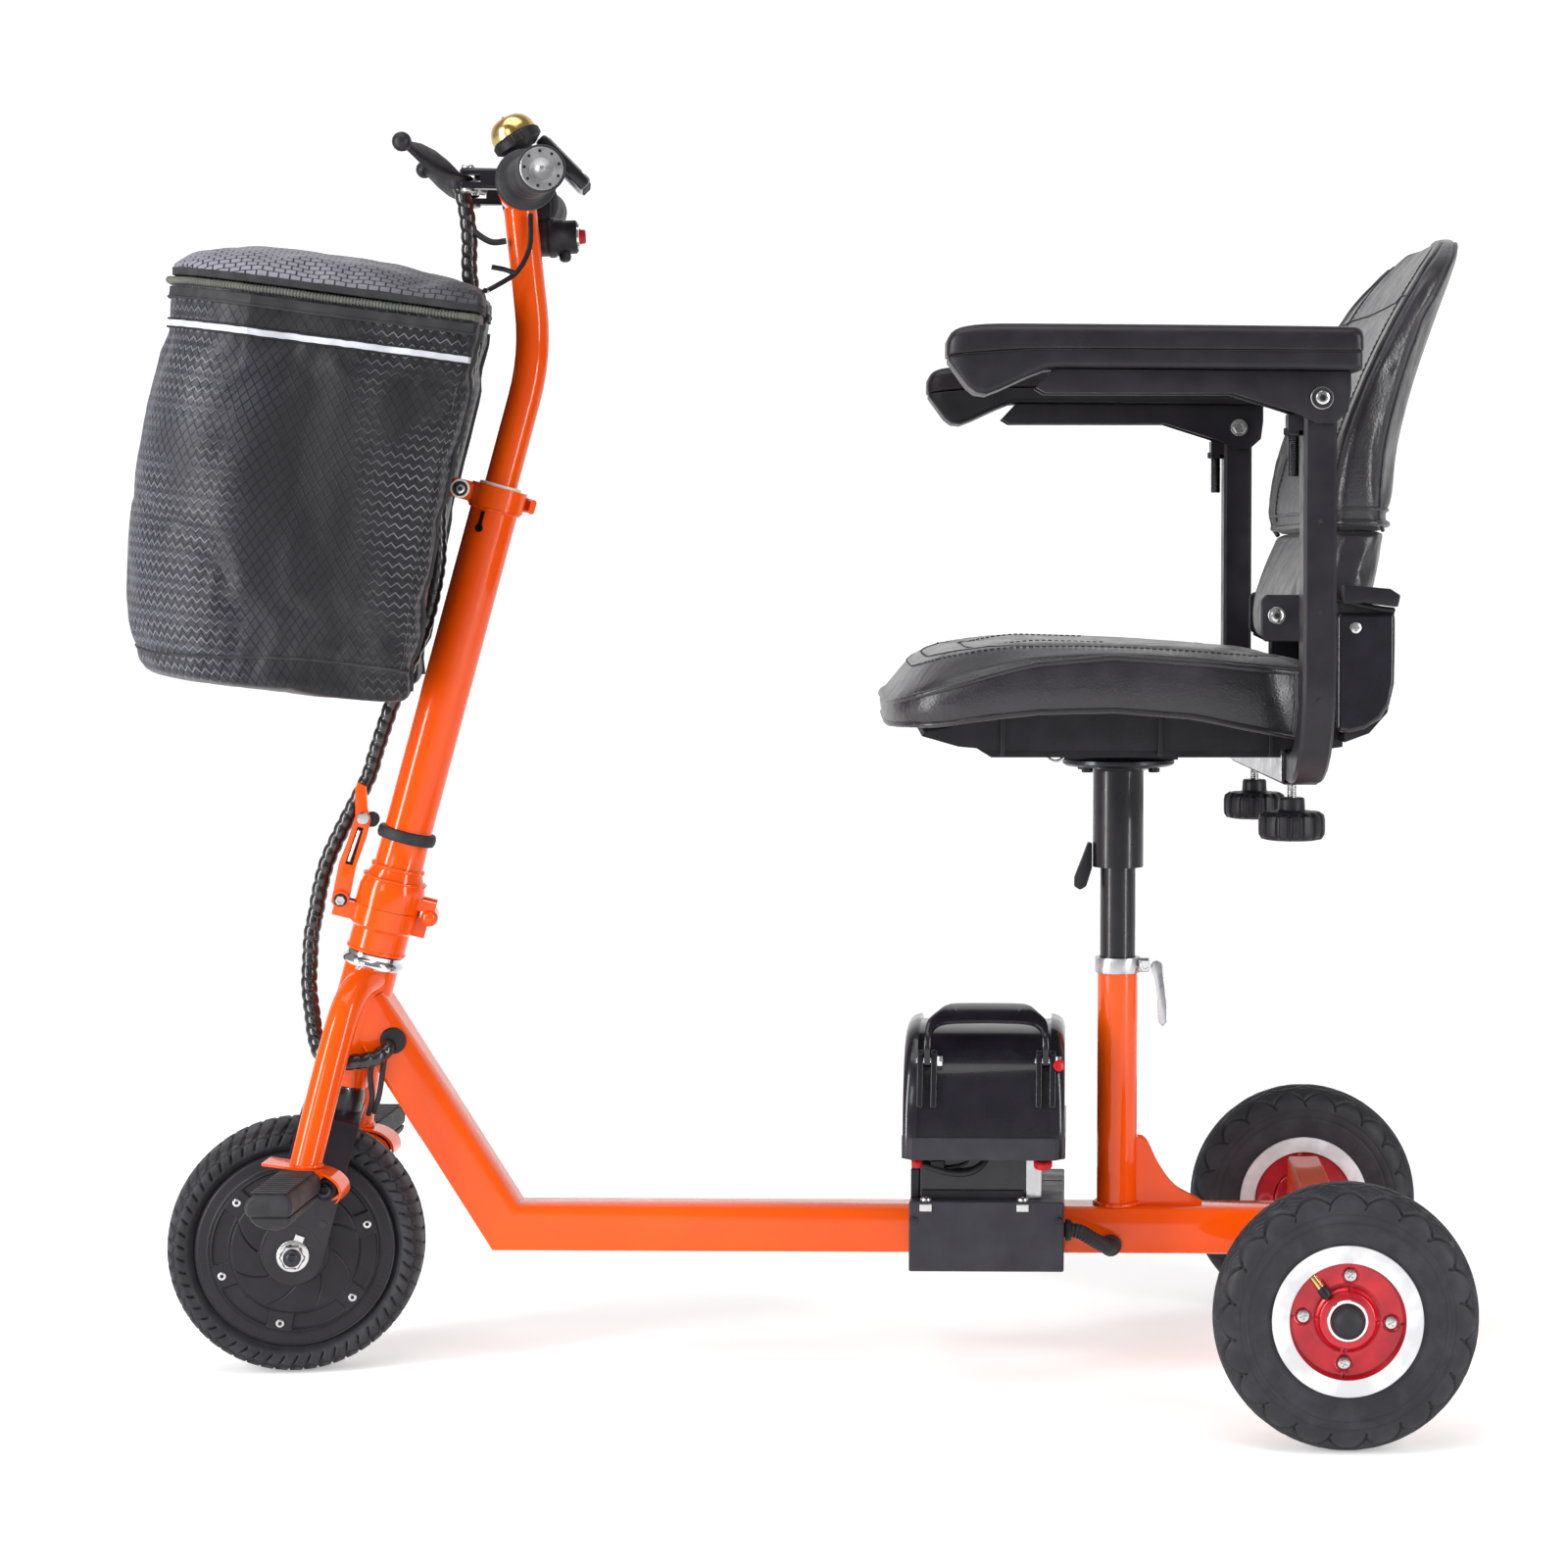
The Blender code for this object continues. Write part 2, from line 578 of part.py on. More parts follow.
def build_brake_lever(side):
    """Blade pivoted in its clamp, flattening outwards to a ball end."""
    rise = 22 if side < 0 else 32
    root = Vector((-38, side * 89, 3))
    elbow = Vector((-45, side * 108, 3))
    tip = Vector((-84, side * 194, rise))
    rows = [(root, 2.4, 5), (root.lerp(elbow, 0.6), 2.4, 4.5), (elbow, 3, 4)]
    for t, wide, thick in ((0.2, 8, 3.2), (0.42, 9.5, 3.2), (0.66, 8, 3.2), (0.88, 4, 3), (1, 3, 3)):
        rows.append((elbow.lerp(tip, t), wide, thick))
    rings = []
    across = Vector((-0.9, -0.43 * side, 0))
    for centre, wide, thick in rows:
        ring = []
        for x, y in circle(1.0, 10):
            ring.append(BAR @ ((centre + Vector((0, 0, wide * x)) + across * thick * y) * MM))
        rings.append(ring)
    bm = bmesh.new()
    bmesh.ops.create_uvsphere(bm, u_segments=14, v_segments=8, radius=7.6 * MM)
    bm.transform(Matrix.Translation(BAR @ (tip * MM)))
    name = "brake_lever_left" if side < 0 else "brake_lever_right"
    return finish(name, union(loft(rings), mesh_from(bm, "ball")), BLACK_STEEL)


BELL = axis_frame(BAR @ (Vector((4.4, -52, 30)) * MM), (-0.52, 0, 0.85))


def build_bell():
    """Brass bell on a strap round the bar, with its thumb striker."""
    base = [(0, 0), (12, 0), (20, 5), (20, 11), (3.2, 11), (3.2, 13), (0, 13)]
    neck = cylinder(8, -24, 2, BELL, 20)
    strap = cylinder(15, -59, -45, BAR, 20, "Y")
    bore = cylinder(11.4, -70, -40, BAR, 20, "Y")
    base_obj = finish("bell_base", cut(union(lathe(base, BELL, 24), neck, strap), bore), BLACK_PLASTIC)
    dome = [(0, 13.4), (6, 13.4), (6, 15), (15, 15), (17.4, 11.6), (18.6, 12), (18.4, 18), (15, 25), (9, 28.6), (0, 29.4)]
    dome_obj = finish("bell_dome", lathe(dome, BELL, 24), BRASS)
    arm = [(-3, 20.6), (3, 20.6), (4, 27), (3, 33), (-3, 33), (-4, 27)]
    rings = [[BELL @ (Vector((x, y, z)) * MM) for y, x in arm] for z in (5, 12)]
    striker = finish("bell_striker", loft(rings), BLACK_PLASTIC)
    return base_obj, dome_obj, striker


def build_display():
    """Dashboard slab leaning back towards the rider, held to the bar by a foot."""
    frame = BAR @ Matrix.Rotation(math.radians(45), 4, "Y")
    slab = box((-17, -36, 36), (37, 36, 47), frame, bevel=3)
    foot = box((-6, -43, 12), (6, -33, 38), frame)
    ring = cylinder(15, -44, -32, BAR, 20, "Y")
    solid = cut(union(slab, foot, ring), cylinder(11.4, -60, -20, BAR, 20, "Y"))
    return finish("display", solid, BLACK_PLASTIC)


def build_switch_pod():
    """Key switch housing strapped to the bar behind the stem, with its push button."""
    frame = axis_frame(BAR @ (Vector((31, 31, -35)) * MM), (1, 0, 0.05))
    pod = [(0, -22), (14, -22), (15.5, -19), (15.5, 4), (14, 6), (14, 16), (11.5, 18), (6.4, 18), (6.4, 12), (0, 12)]
    barrel = lathe(pod, frame, 20)
    strap = box((4, 27, -30), (26, 39, -4), BAR, bevel=1.5, segments=1)
    ring = cylinder(15, 27, 39, BAR, 20, "Y")
    solid = cut(union(barrel, strap, ring), cylinder(11.4, 20, 48, BAR, 20, "Y"))
    pod_obj = finish("switch_pod", solid, BLACK_PLASTIC)
    button = [(0, 15.5), (6, 15.5), (6, 23), (5, 24), (0, 24)]
    button_obj = finish("power_button", lathe(button, frame, 18), RED)
    return pod_obj, button_obj


def build_bag_hanger():
    """Bent wire from beside the stem head to the rear edge of the bag."""
    knots = []
    for x, y, z in ((10, -19, -19), (10, -20, -43), (5, -21, -58), (-2, -22, -68), (-12, -23, -75), (-24, -27, -82)):
        knots.append(BAR @ (Vector((x, y, z)) * MM))
    points = spread(knots, 7)
    for x, y, z in ((-24.5, -34, -83), (-24.5, -60, -84), (-24.5, -90, -85)):
        points.append(BAR @ (Vector((x, y, z)) * MM))
    return hose("bag_hanger", points, 2.2, BLACK_STEEL, 2)


BAG_LEAN = math.radians(7)
BAG = Matrix.Translation(Vector((-372, 0, 868)) * MM) @ Matrix.Rotation(BAG_LEAN, 4, "Y")


def bag_ring(front, back, half, height, dent=30):
    """D-shaped plan of the bag at one height: wide round corners in front, and a hollow behind for the stem."""
    wide = min(84, half * 0.75)
    tight = min(14, half * 0.3)
    corners = [(back - tight, half - tight, tight, 0, 2), (front + wide, half - wide, wide, 90, 6)]
    corners += [(front + wide, wide - half, wide, 180, 6), (back - tight, tight - half, tight, 270, 2)]
    flat = []
    for cx, cy, radius, start, steps in corners:
        for k in range(steps + 1):
            a = math.radians(start + 90 * k / steps)
            flat.append((cx + radius * math.cos(a), cy + radius * math.sin(a)))
    inset = min(1.0, half / 130)
    flat += [(back, -43 * inset), (back - dent, -30 * inset), (back - dent, 30 * inset), (back, 43 * inset)]
    return [BAG @ (Vector((x, y, height)) * MM) for x, y in flat]


def build_bag():
    """Soft front bag: an open hollow body, and the domed lid zipped round its rim."""
    outer = [(-74, 60, 96, -306), (-112, 96, 126, -301), (-124, 104, 134, -284), (-130, 107, 138, -240)]
    outer += [(-130, 114, 140, -130), (-123, 121, 139, -30), (-121, 122, 137, -1)]
    inner = [(-118, 119, 134, -1), (-120, 118, 136, -30), (-127, 111, 137, -130), (-127, 104, 135, -240)]
    inner += [(-121, 101, 131, -281), (-109, 93, 123, -297), (-72, 58, 94, -302.5)]
    body = finish("bag_body", loft([bag_ring(*row) for row in outer + inner]), CLOTH)
    lid = [(-119, 120, 135, -0.4), (-121, 122, 137, 4), (-119, 122, 136, 12), (-109, 118, 126, 24), (-88, 100, 104, 36)]
    lid += [(-52, 50, 60, 43)]
    lid_obj = finish("bag_lid", loft([bag_ring(*row) for row in lid]), CLOTH)
    return body, lid_obj


# ---------------------------------------------------------------- conduit


def build_conduits():
    """Spiral-wrapped harness in three runs: frame to fork, fork to column, column to handlebar."""
    lower = [(29.2, -33, 168), (20, -38, 165), (2, -39, 160), (-16, -33, 158), (-27, -20, 168)]
    lower += [(-37, -4, 188), (-45, 8, 206), (-50, 15, 226), (-54, 17, 245), (-55, 17, 262)]
    front = [(-55, 17, 263.5), (-57, 17, 284), (-57, 17, 308), (-52, 17, 338), (-43, 17, 381), (-42, 17, 404)]
    front += [(-41, 16, 425), (-40, 15, 440)]
    upper = [(-39.9, 15, 441.5), (-38, 13, 460), (-32, 9, 500), (-30, 6, 530), (-33, 3, 570), (-42, 1, 605)]
    upper += [(-47, 0, 633), (-47, -1, 662), (-48, -2, 700), (-50, -3, 730), (-56, -4, 772), (-69, -4, 806)]
    upper += [(-76, -5, 832), (-86, -5, 857), (-97, -5, 877)]
    runs = []
    for name, knots in (("conduit_lower", lower), ("conduit_front", front), ("conduit_upper", upper)):
        points = spread([in_steer(*knot) for knot in knots], 13)
        if name == "conduit_lower":
            points = [in_steer(30.5, -24.7, 168), in_steer(29.8, -29, 168)] + points
        runs.append(hose(name, points, 6.5, RUBBER, 2))
    return runs


# ---------------------------------------------------------------- seat


def build_seat_post():
    """Telescopic post, its thick sleeve and the swivel flange on top."""
    turned = [(0, 216), (14.5, 216), (14.5, 415), (20.8, 415), (20.8, 494), (34, 497), (34, 504), (0, 504)]
    return finish("seat_post", lathe(turned, SEAT, 28), BLACK_STEEL)


def build_swivel_lever():
    """Paddle lever at the foot of the sleeve that frees the swivel."""
    blade = [(-21.3, 434), (-25, 435), (-29, 424), (-36, 406), (-36, 399), (-31, 396), (-26, 399), (-21.3, 414)]
    return finish("swivel_lever", prism(blade, -7, 7, SEAT), BLACK_PLASTIC)


def build_seat_pan():
    """Moulded pan under the cushion with its rear cup, the swivel plate, hinge plates and arm receiver."""
    side = [(-166, 530), (-138, 522), (-110, 519.5), (-80, 519), (140, 519), (160, 522), (160, 541), (60, 549)]
    side += [(0, 551), (-60, 550), (-120, 542), (-164, 533)]
    solid = prism(side, -165, 165, SEAT)
    for y in (-150, -90, 90, 150):
        solid = union(solid, prism([(-130, 524), (-112, 513), (120, 513), (130, 524)], y - 2, y + 2, SEAT))
    solid = union(solid, box((-48, -30, 504.4), (46, 30, 520), SEAT))
    cup = [(157, 527), (176, 534), (190, 550), (195, 575), (195, 628), (191.6, 628), (191.6, 577), (187, 554)]
    cup += [(174, 539), (157, 532)]
    solid = union(solid, prism(cup, -193, 193, SEAT))
    wall = [(157, 527), (176, 534), (190, 550), (195, 575), (195, 628), (171, 630), (168, 638), (142, 639)]
    wall += [(136, 632), (136, 602), (144, 598), (155, 598)]
    for sign in (-1, 1):
        low, high = sorted((sign * 190.4, sign * 194.4))
        solid = union(solid, prism(wall, low, high, SEAT))
    tube = box((113, -165, 492.5), (142, 165, 521.5), SEAT, bevel=2, segments=1)
    bore = box((114.6, -170, 494.1), (140.4, 170, 519.9), SEAT)
    solid = cut(union(solid, tube), bore)
    return finish("seat_pan", solid, BLACK_PLASTIC)


def seat_ring(y, front, back, bottom, edge, crown):
    """Fore-and-aft section of the cushion at one width position."""
    loop = [(front, bottom + 4), (front - 4, edge - 14), (front, edge), (front + 40, edge + crown * 0.45)]
    loop += [(front + 90, edge + crown * 0.95), (front + 150, edge + crown), (back - 90, edge + crown * 0.96)]
    loop += [(back - 30, edge + crown * 0.85), (back, edge + crown * 0.6), (back + 3, bottom + 16), (back - 4, bottom)]
    loop += [(back - 120, bottom + 12), (front + 110, bottom + 14), (front + 40, bottom + 6)]
    return [SEAT @ (Vector((x, y, z)) * MM) for x, z in loop]


def build_seat_cushion():
    """Dished cushion with a rolled front edge."""
    rows = [(-214, -150, 128, 540, 566, 8), (-206, -166, 138, 534, 564, 26), (-180, -178, 146, 531, 562, 36)]
    rows += [(-120, -190, 150, 530, 560, 40), (-50, -196, 152, 530, 558, 38), (50, -196, 152, 530, 558, 38)]
    rows += [(120, -190, 150, 530, 560, 40), (180, -178, 146, 531, 562, 36), (206, -166, 138, 534, 564, 26)]
    rows += [(214, -150, 128, 540, 566, 8)]
    solid = loft([seat_ring(y, f, b, lo + 0.0, e, c) for y, f, b, lo, e, c in rows])
    recess = prism([(-210, 500), (-166.4, 529.6), (-164.4, 533.4), (-120, 542.4), (-60, 550.4), (0, 551.4),
                    (60, 549.4), (160.4, 541.4), (160.4, 500)], -165.4, 165.4, SEAT)
    solid = cut(solid, recess)
    return finish("seat_cushion", solid, VINYL)


def build_arm_post(side):
    """Square steel tube from the receiver under the seat, bent up to the armrest pivot."""
    bend = 68 * MM
    level = 507 * MM
    path = [Vector((ARM_POST_X, side * 0.030, level)), Vector((ARM_POST_X, side * (ARM_Y - bend), level))]
    for k in range(1, 7):
        a = math.radians(15 * k)
        y = ARM_Y - bend + bend * math.sin(a)
        path.append(Vector((ARM_POST_X, side * y, level + bend - bend * math.cos(a))))
    path.append(Vector((ARM_POST_X, side * ARM_Y, ARM_PIVOT_Z + 6 * MM)))
    tube = sweep(square(25, 25, 2.5, 1), path, (1, 0, 0))
    head = Matrix.Translation((ARM_POST_X, side * ARM_Y, ARM_PIVOT_Z))
    stop = box((-24, -8, -24), (-11, 8, -12), head)
    screw = cylinder(4, -58, -14, head, 14, "Z", (-19, 0))
    name = "arm_post_left" if side < 0 else "arm_post_right"
    return finish(name, union(tube, stop, screw), BLACK_STEEL)


def build_arm_bar(side):
    """Folded steel channel that straddles the post and carries the pad."""
    outline = [(-14, -14), (-4, -19), (10, -19), (20, -10), (22, 6), (22, 20), (-200, 20), (-213, 6), (-206, 2)]
    outline += [(-66, 3), (-24, -10)]
    frame = Matrix.Translation((ARM_POST_X, side * ARM_Y, ARM_PIVOT_Z))
    solid = prism(outline, -17, 17, frame)
    hollow = prism([(-240, -40), (40, -40), (40, 17), (-240, 17)], -13.2, 13.2, frame)
    name = "arm_bar_left" if side < 0 else "arm_bar_right"
    return finish(name, cut(solid, hollow), BLACK_STEEL)


def build_arm_pad(side):
    """Moulded armrest pad and its lower shell."""
    frame = Matrix.Translation((ARM_POST_X, side * ARM_Y, ARM_PIVOT_Z))
    outline = [(29, 20.4), (30, 30), (30, 47), (24, 53), (-240, 53), (-262, 51), (-277, 43), (-279, 27)]
    outline += [(-262, 3), (-250, 0), (-222, 13), (-204, 20.4)]
    rings = []
    for y, shrink in ((-28, 5), (-26, 1.5), (-21, 0), (21, 0), (26, 1.5), (28, 5)):
        ring = []
        for x, z in outline:
            inward = shrink if abs(x + 124) > 90 else 0
            drop = -shrink if z > 40 else (shrink if z < 24 else 0)
            ring.append(frame @ (Vector((x - math.copysign(inward, x + 124), y, z + drop)) * MM))
        rings.append(ring)
    name = "arm_pad_left" if side < 0 else "arm_pad_right"
    return finish(name, loft(rings), BLACK_PLASTIC)


def build_knob(side):
    """Fluted hand knob that locks the arm post in its receiver."""
    frame = Matrix.Translation((ARM_POST_X, side * 115 * MM, 0))
    rings = []
    for z, scale in ((446, 0.9), (449, 1.0), (465, 1.0), (468, 0.9)):
        ring = []
        for k in range(27):
            a = 2 * math.pi * k / 27
            r = (25.0 + 1.4 * math.cos(9 * a)) * scale
            ring.append(frame @ (Vector((r * math.cos(a), r * math.sin(a), z)) * MM))
        rings.append(ring)
    neck = cylinder(10, 467, 479, frame, 18)
    screw = cylinder(3.5, 478, 492.2, frame, 14)
    name = "arm_knob_left" if side < 0 else "arm_knob_right"
    return finish(name, union(loft(rings), neck, screw), BLACK_PLASTIC)


def back_ring(z, half, front, rear, wing, count=10):
    """Plan section of the backrest at one height: a slab whose wings reach forward."""
    front_row = []
    rear_row = []
    for k in range(count + 1):
        t = -1 + 2 * k / count
        reach = wing * abs(t) ** 2.4
        front_row.append((front - reach + (6 if abs(t) == 1 else 0), half * t))
        rear_row.append((rear - reach * 0.9 - (5 if abs(t) == 1 else 0), half * t))
    loop = front_row + list(reversed(rear_row))
    return [Vector((x, y, z)) * MM for x, y in loop]


def build_back_cushion():
    """Padded backrest that leans back and wraps forward at the sides."""
    rows = [(692, 178, 426, 474, 8), (700, 186, 420, 478, 12), (750, 190, 432, 482, 16), (800, 190, 452, 494, 18)]
    rows += [(850, 188, 478, 512, 20), (890, 182, 500, 526, 18), (912, 150, 514, 534, 12), (926, 100, 522, 538, 6)]
    return finish("back_cushion", loft([back_ring(*row) for row in rows]), VINYL)


def build_back_shell():
    """Lower back moulding with its hinge pins, from inside the cup up to the cushion."""
    rows = [(602, 172, 404, 440, 0), (610, 182, 398, 448, 0), (640, 184, 400, 458, 4), (691.6, 184, 424, 474, 8)]
    solid = loft([back_ring(*row) for row in rows])
    for side in (-1, 1):
        low, high = sorted((side * 170, side * 190))
        solid = union(solid, cylinder(13, low, high, None, 20, "Y", (420.5, 617)))
    return finish("back_shell", solid, BLACK_PLASTIC)


def build_recline_paddle():
    """Recline release handle beside the left hinge."""
    outline = [(424, 633), (440, 634), (466, 631), (468, 640), (460, 645), (424, 648)]
    return finish("recline_paddle", prism(outline, -212, -196), BLACK_PLASTIC)


def build():
    clear_scene()
    main_frame = build_main_frame()
    build_headset()
    build_controller()
    build_seat_collar()
    build_rear_conduit()

    for side in (-1, 1):
        tag = "left" if side < 0 else "right"
        build_footrest(side)
        build_peg(side)
        build_rear_axle(side)
        wheel = pivot(f"rear_axle_axis_{tag}", axis_frame((REAR_AXLE_X, side * HALF_TRACK, REAR_RADIUS), (0, -1, 0)))
        for obj in build_rear_wheel(side):
            ride(obj, wheel)

    battery = pivot("battery_lift", Matrix.Translation(Vector((163, 0, 188)) * MM))
    ride(build_battery(), battery)
    handle = pivot("battery_handle_hinge", axis_frame(Vector((163, -70, 265)) * MM, (1, 0, 0)), battery)
    ride(build_battery_handle(), handle)
    lever = pivot("seat_lever_hinge", axis_frame(SEAT @ (Vector((32.5, 0, 333)) * MM), (0, -1, 0)))
    ride(build_seat_lever(), lever)

    steering = pivot("steering_axis", STEER)
    ride(build_fork(), steering)
    ride(build_steerer_head(), steering)
    front = pivot("front_wheel_axis", axis_frame(FRONT_AXLE, (0, -1, 0)), steering)
    for obj in build_front_wheel():
        ride(obj, front)
    latch = pivot("latch_hinge", axis_frame(in_steer(-38, 0, 283), (0, -1, 0)), steering)
    ride(build_latch(), latch)

    fold = pivot("fold_hinge", axis_frame(in_steer(35, 0, 286), (0, 1, 0)), steering)
    ride(build_column(), fold)
    ride(build_stop_ring(), fold)
    column_up = STEER.to_3x3() @ Vector((0, 0, 1))
    clamp = pivot("clamp_lever_hinge", axis_frame(in_steer(-31, 15, 633), column_up), fold)
    ride(build_clamp_lever(), clamp)

    stem = pivot("stem_slide", axis_frame(in_steer(0, 0, 640), column_up), fold)
    ride(build_stem(), stem)
    ride(build_handlebar(), stem)
    ride(build_grip(-1), stem)
    throttle = pivot("throttle_axis", grip_frame(1), stem)
    ride(build_grip(1), throttle)
    for side in (-1, 1):
        tag = "left" if side < 0 else "right"
        brake = pivot(f"brake_hinge_{tag}", axis_frame(BAR @ (Vector((-35, side * 92.5, 3)) * MM), (0, 0, 1)), stem)
        ride(build_brake_lever(side), brake)
    base, dome, striker = build_bell()
    ride(base, stem)
    ride(dome, stem)
    bell = pivot("bell_striker_hinge", BELL @ Matrix.Translation(Vector((0, 24, 8)) * MM), stem)
    ride(striker, bell)
    ride(build_display(), stem)
    pod, button = build_switch_pod()
    ride(pod, stem)
    push = pivot("power_button_slide", axis_frame(BAR @ (Vector((50, 31, -34)) * MM), (-1, 0, -0.05)), stem)
    ride(button, push)
    ride(build_bag_hanger(), stem)
    body, lid = build_bag()
    ride(body, stem)
    lid_hinge = pivot("bag_lid_hinge", axis_frame(BAG @ (Vector((121.2, 0, 29.6)) * MM), (0, 1, 0)), stem)
    ride(lid, lid_hinge)
    lower, middle, upper = build_conduits()
    ride(lower, steering)
    ride(middle, fold)
    ride(upper, stem)

    post = pivot("seat_height_slide", Matrix.Translation((SEAT_POST_X, 0, SEAT_TUBE_TOP)))
    ride(build_seat_post(), post)
    paddle = pivot("swivel_lever_hinge", axis_frame(SEAT @ (Vector((-24, 0, 433)) * MM), (0, 1, 0)), post)
    ride(build_swivel_lever(), paddle)
    swivel = pivot("seat_swivel_axis", Matrix.Translation((SEAT_POST_X, 0, 0.504)), post)
    ride(build_seat_pan(), swivel)
    ride(build_seat_cushion(), swivel)
    back = pivot("back_hinge", axis_frame(BACK_HINGE, (0, -1, 0)), swivel)
    ride(build_back_shell(), back)
    ride(build_back_cushion(), back)
    recline = pivot("recline_hinge", axis_frame(Vector((426, -204, 640)) * MM, (0, -1, 0)), back)
    ride(build_recline_paddle(), recline)
    for side in (-1, 1):
        tag = "left" if side < 0 else "right"
        slide = pivot(f"arm_width_slide_{tag}", axis_frame((ARM_POST_X, side * 0.18, 0.507), (0, side, 0)), swivel)
        ride(build_arm_post(side), slide)
        flip = pivot(f"arm_hinge_{tag}", axis_frame((ARM_POST_X, side * ARM_Y, ARM_PIVOT_Z), (0, 1, 0)), slide)
        ride(build_arm_bar(side), flip)
        ride(build_arm_pad(side), flip)
        knob = pivot(f"arm_knob_axis_{tag}", Matrix.Translation((ARM_POST_X, side * 0.115, 0.457)), swivel)
        ride(build_knob(side), knob)

    steering.matrix_world = steering.matrix_world @ Matrix.Rotation(STEER_AT_REST, 4, "Z")
    swivel.matrix_world = swivel.matrix_world @ Matrix.Rotation(SEAT_SWIVEL, 4, "Z")
    bpy.context.view_layer.update()


build()
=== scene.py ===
"""Looks of the mobility scooter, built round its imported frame."""

import json
import math
import random

import bmesh
import bpy
from mathutils import Matrix, Vector, noise


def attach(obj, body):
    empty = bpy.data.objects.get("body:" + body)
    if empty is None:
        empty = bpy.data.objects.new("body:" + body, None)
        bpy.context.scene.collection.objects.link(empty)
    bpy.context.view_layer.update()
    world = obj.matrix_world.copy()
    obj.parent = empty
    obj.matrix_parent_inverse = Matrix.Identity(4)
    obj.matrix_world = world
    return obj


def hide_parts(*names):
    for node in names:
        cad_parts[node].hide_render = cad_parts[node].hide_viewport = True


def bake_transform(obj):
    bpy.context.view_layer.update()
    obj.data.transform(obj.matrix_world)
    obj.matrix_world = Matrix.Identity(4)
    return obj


MM = 0.001
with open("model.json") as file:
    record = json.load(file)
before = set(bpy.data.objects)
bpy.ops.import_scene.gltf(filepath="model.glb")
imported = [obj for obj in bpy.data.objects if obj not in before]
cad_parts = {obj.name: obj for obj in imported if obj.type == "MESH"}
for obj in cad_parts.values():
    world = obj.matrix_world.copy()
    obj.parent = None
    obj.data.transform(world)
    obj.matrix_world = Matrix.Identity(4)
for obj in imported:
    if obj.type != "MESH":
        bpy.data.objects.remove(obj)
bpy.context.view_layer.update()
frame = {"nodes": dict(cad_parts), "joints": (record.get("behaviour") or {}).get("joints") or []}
joints = {joint["name"]: joint for joint in frame["joints"]}
random.seed(4)


# ---------------------------------------------------------------- frames


def joint_point(name):
    """Where a joint sits, in metres."""
    return Vector(joints[name]["pos_m"])


def joint_axis(name):
    """Direction of a joint axis."""
    return Vector(joints[name]["axis"])


def frame_of(x_axis, y_axis, z_axis, origin):
    """Frame from three axes and an origin."""
    turn = Matrix((x_axis, y_axis, z_axis)).transposed()
    return Matrix.Translation(origin) @ turn.to_4x4()


def axis_frame(point, direction):
    """Frame at a point whose Z looks along the direction."""
    return Matrix.Translation(Vector(point)) @ Vector(direction).to_track_quat("Z",
        "Y").to_matrix().to_4x4()


FRONT_AXLE = joint_point("front_wheel")
COLUMN_UP = joint_axis("steering")
FORK_RIGHT = -joint_axis("front_wheel")
STEER = frame_of(FORK_RIGHT.cross(COLUMN_UP), FORK_RIGHT, COLUMN_UP, FRONT_AXLE)
COLUMN_LEAN = math.atan2(COLUMN_UP.x, COLUMN_UP.z)
STRAIGHT = Matrix.Translation(FRONT_AXLE) @ Matrix.Rotation(COLUMN_LEAN, 4, "Y")
TURN = STEER @ STRAIGHT.inverted()
BAR = TURN @ Matrix.Translation(STRAIGHT @ (Vector((-48, 0, 880)) * MM))
BAG = TURN @ Matrix.Translation(Vector((-372, 0, 868)) * MM) @ Matrix.Rotation(math.radians(7), 4, "Y")

SEAT_POST = joint_point("seat_swivel")
SEAT_RIGHT = joint_axis("arm_width_right")
SEAT = frame_of(SEAT_RIGHT.cross(Vector((0, 0, 1))), SEAT_RIGHT, Vector((0, 0, 1)),
    Vector((SEAT_POST.x, SEAT_POST.y, 0)))
ARM_Y = 250
ARM_PIVOT_Z = 787


def place(where, x, y, z):
    """Point at millimetre coordinates in a frame."""
    return where @ (Vector((x, y, z)) * MM)


# ---------------------------------------------------------------- materials


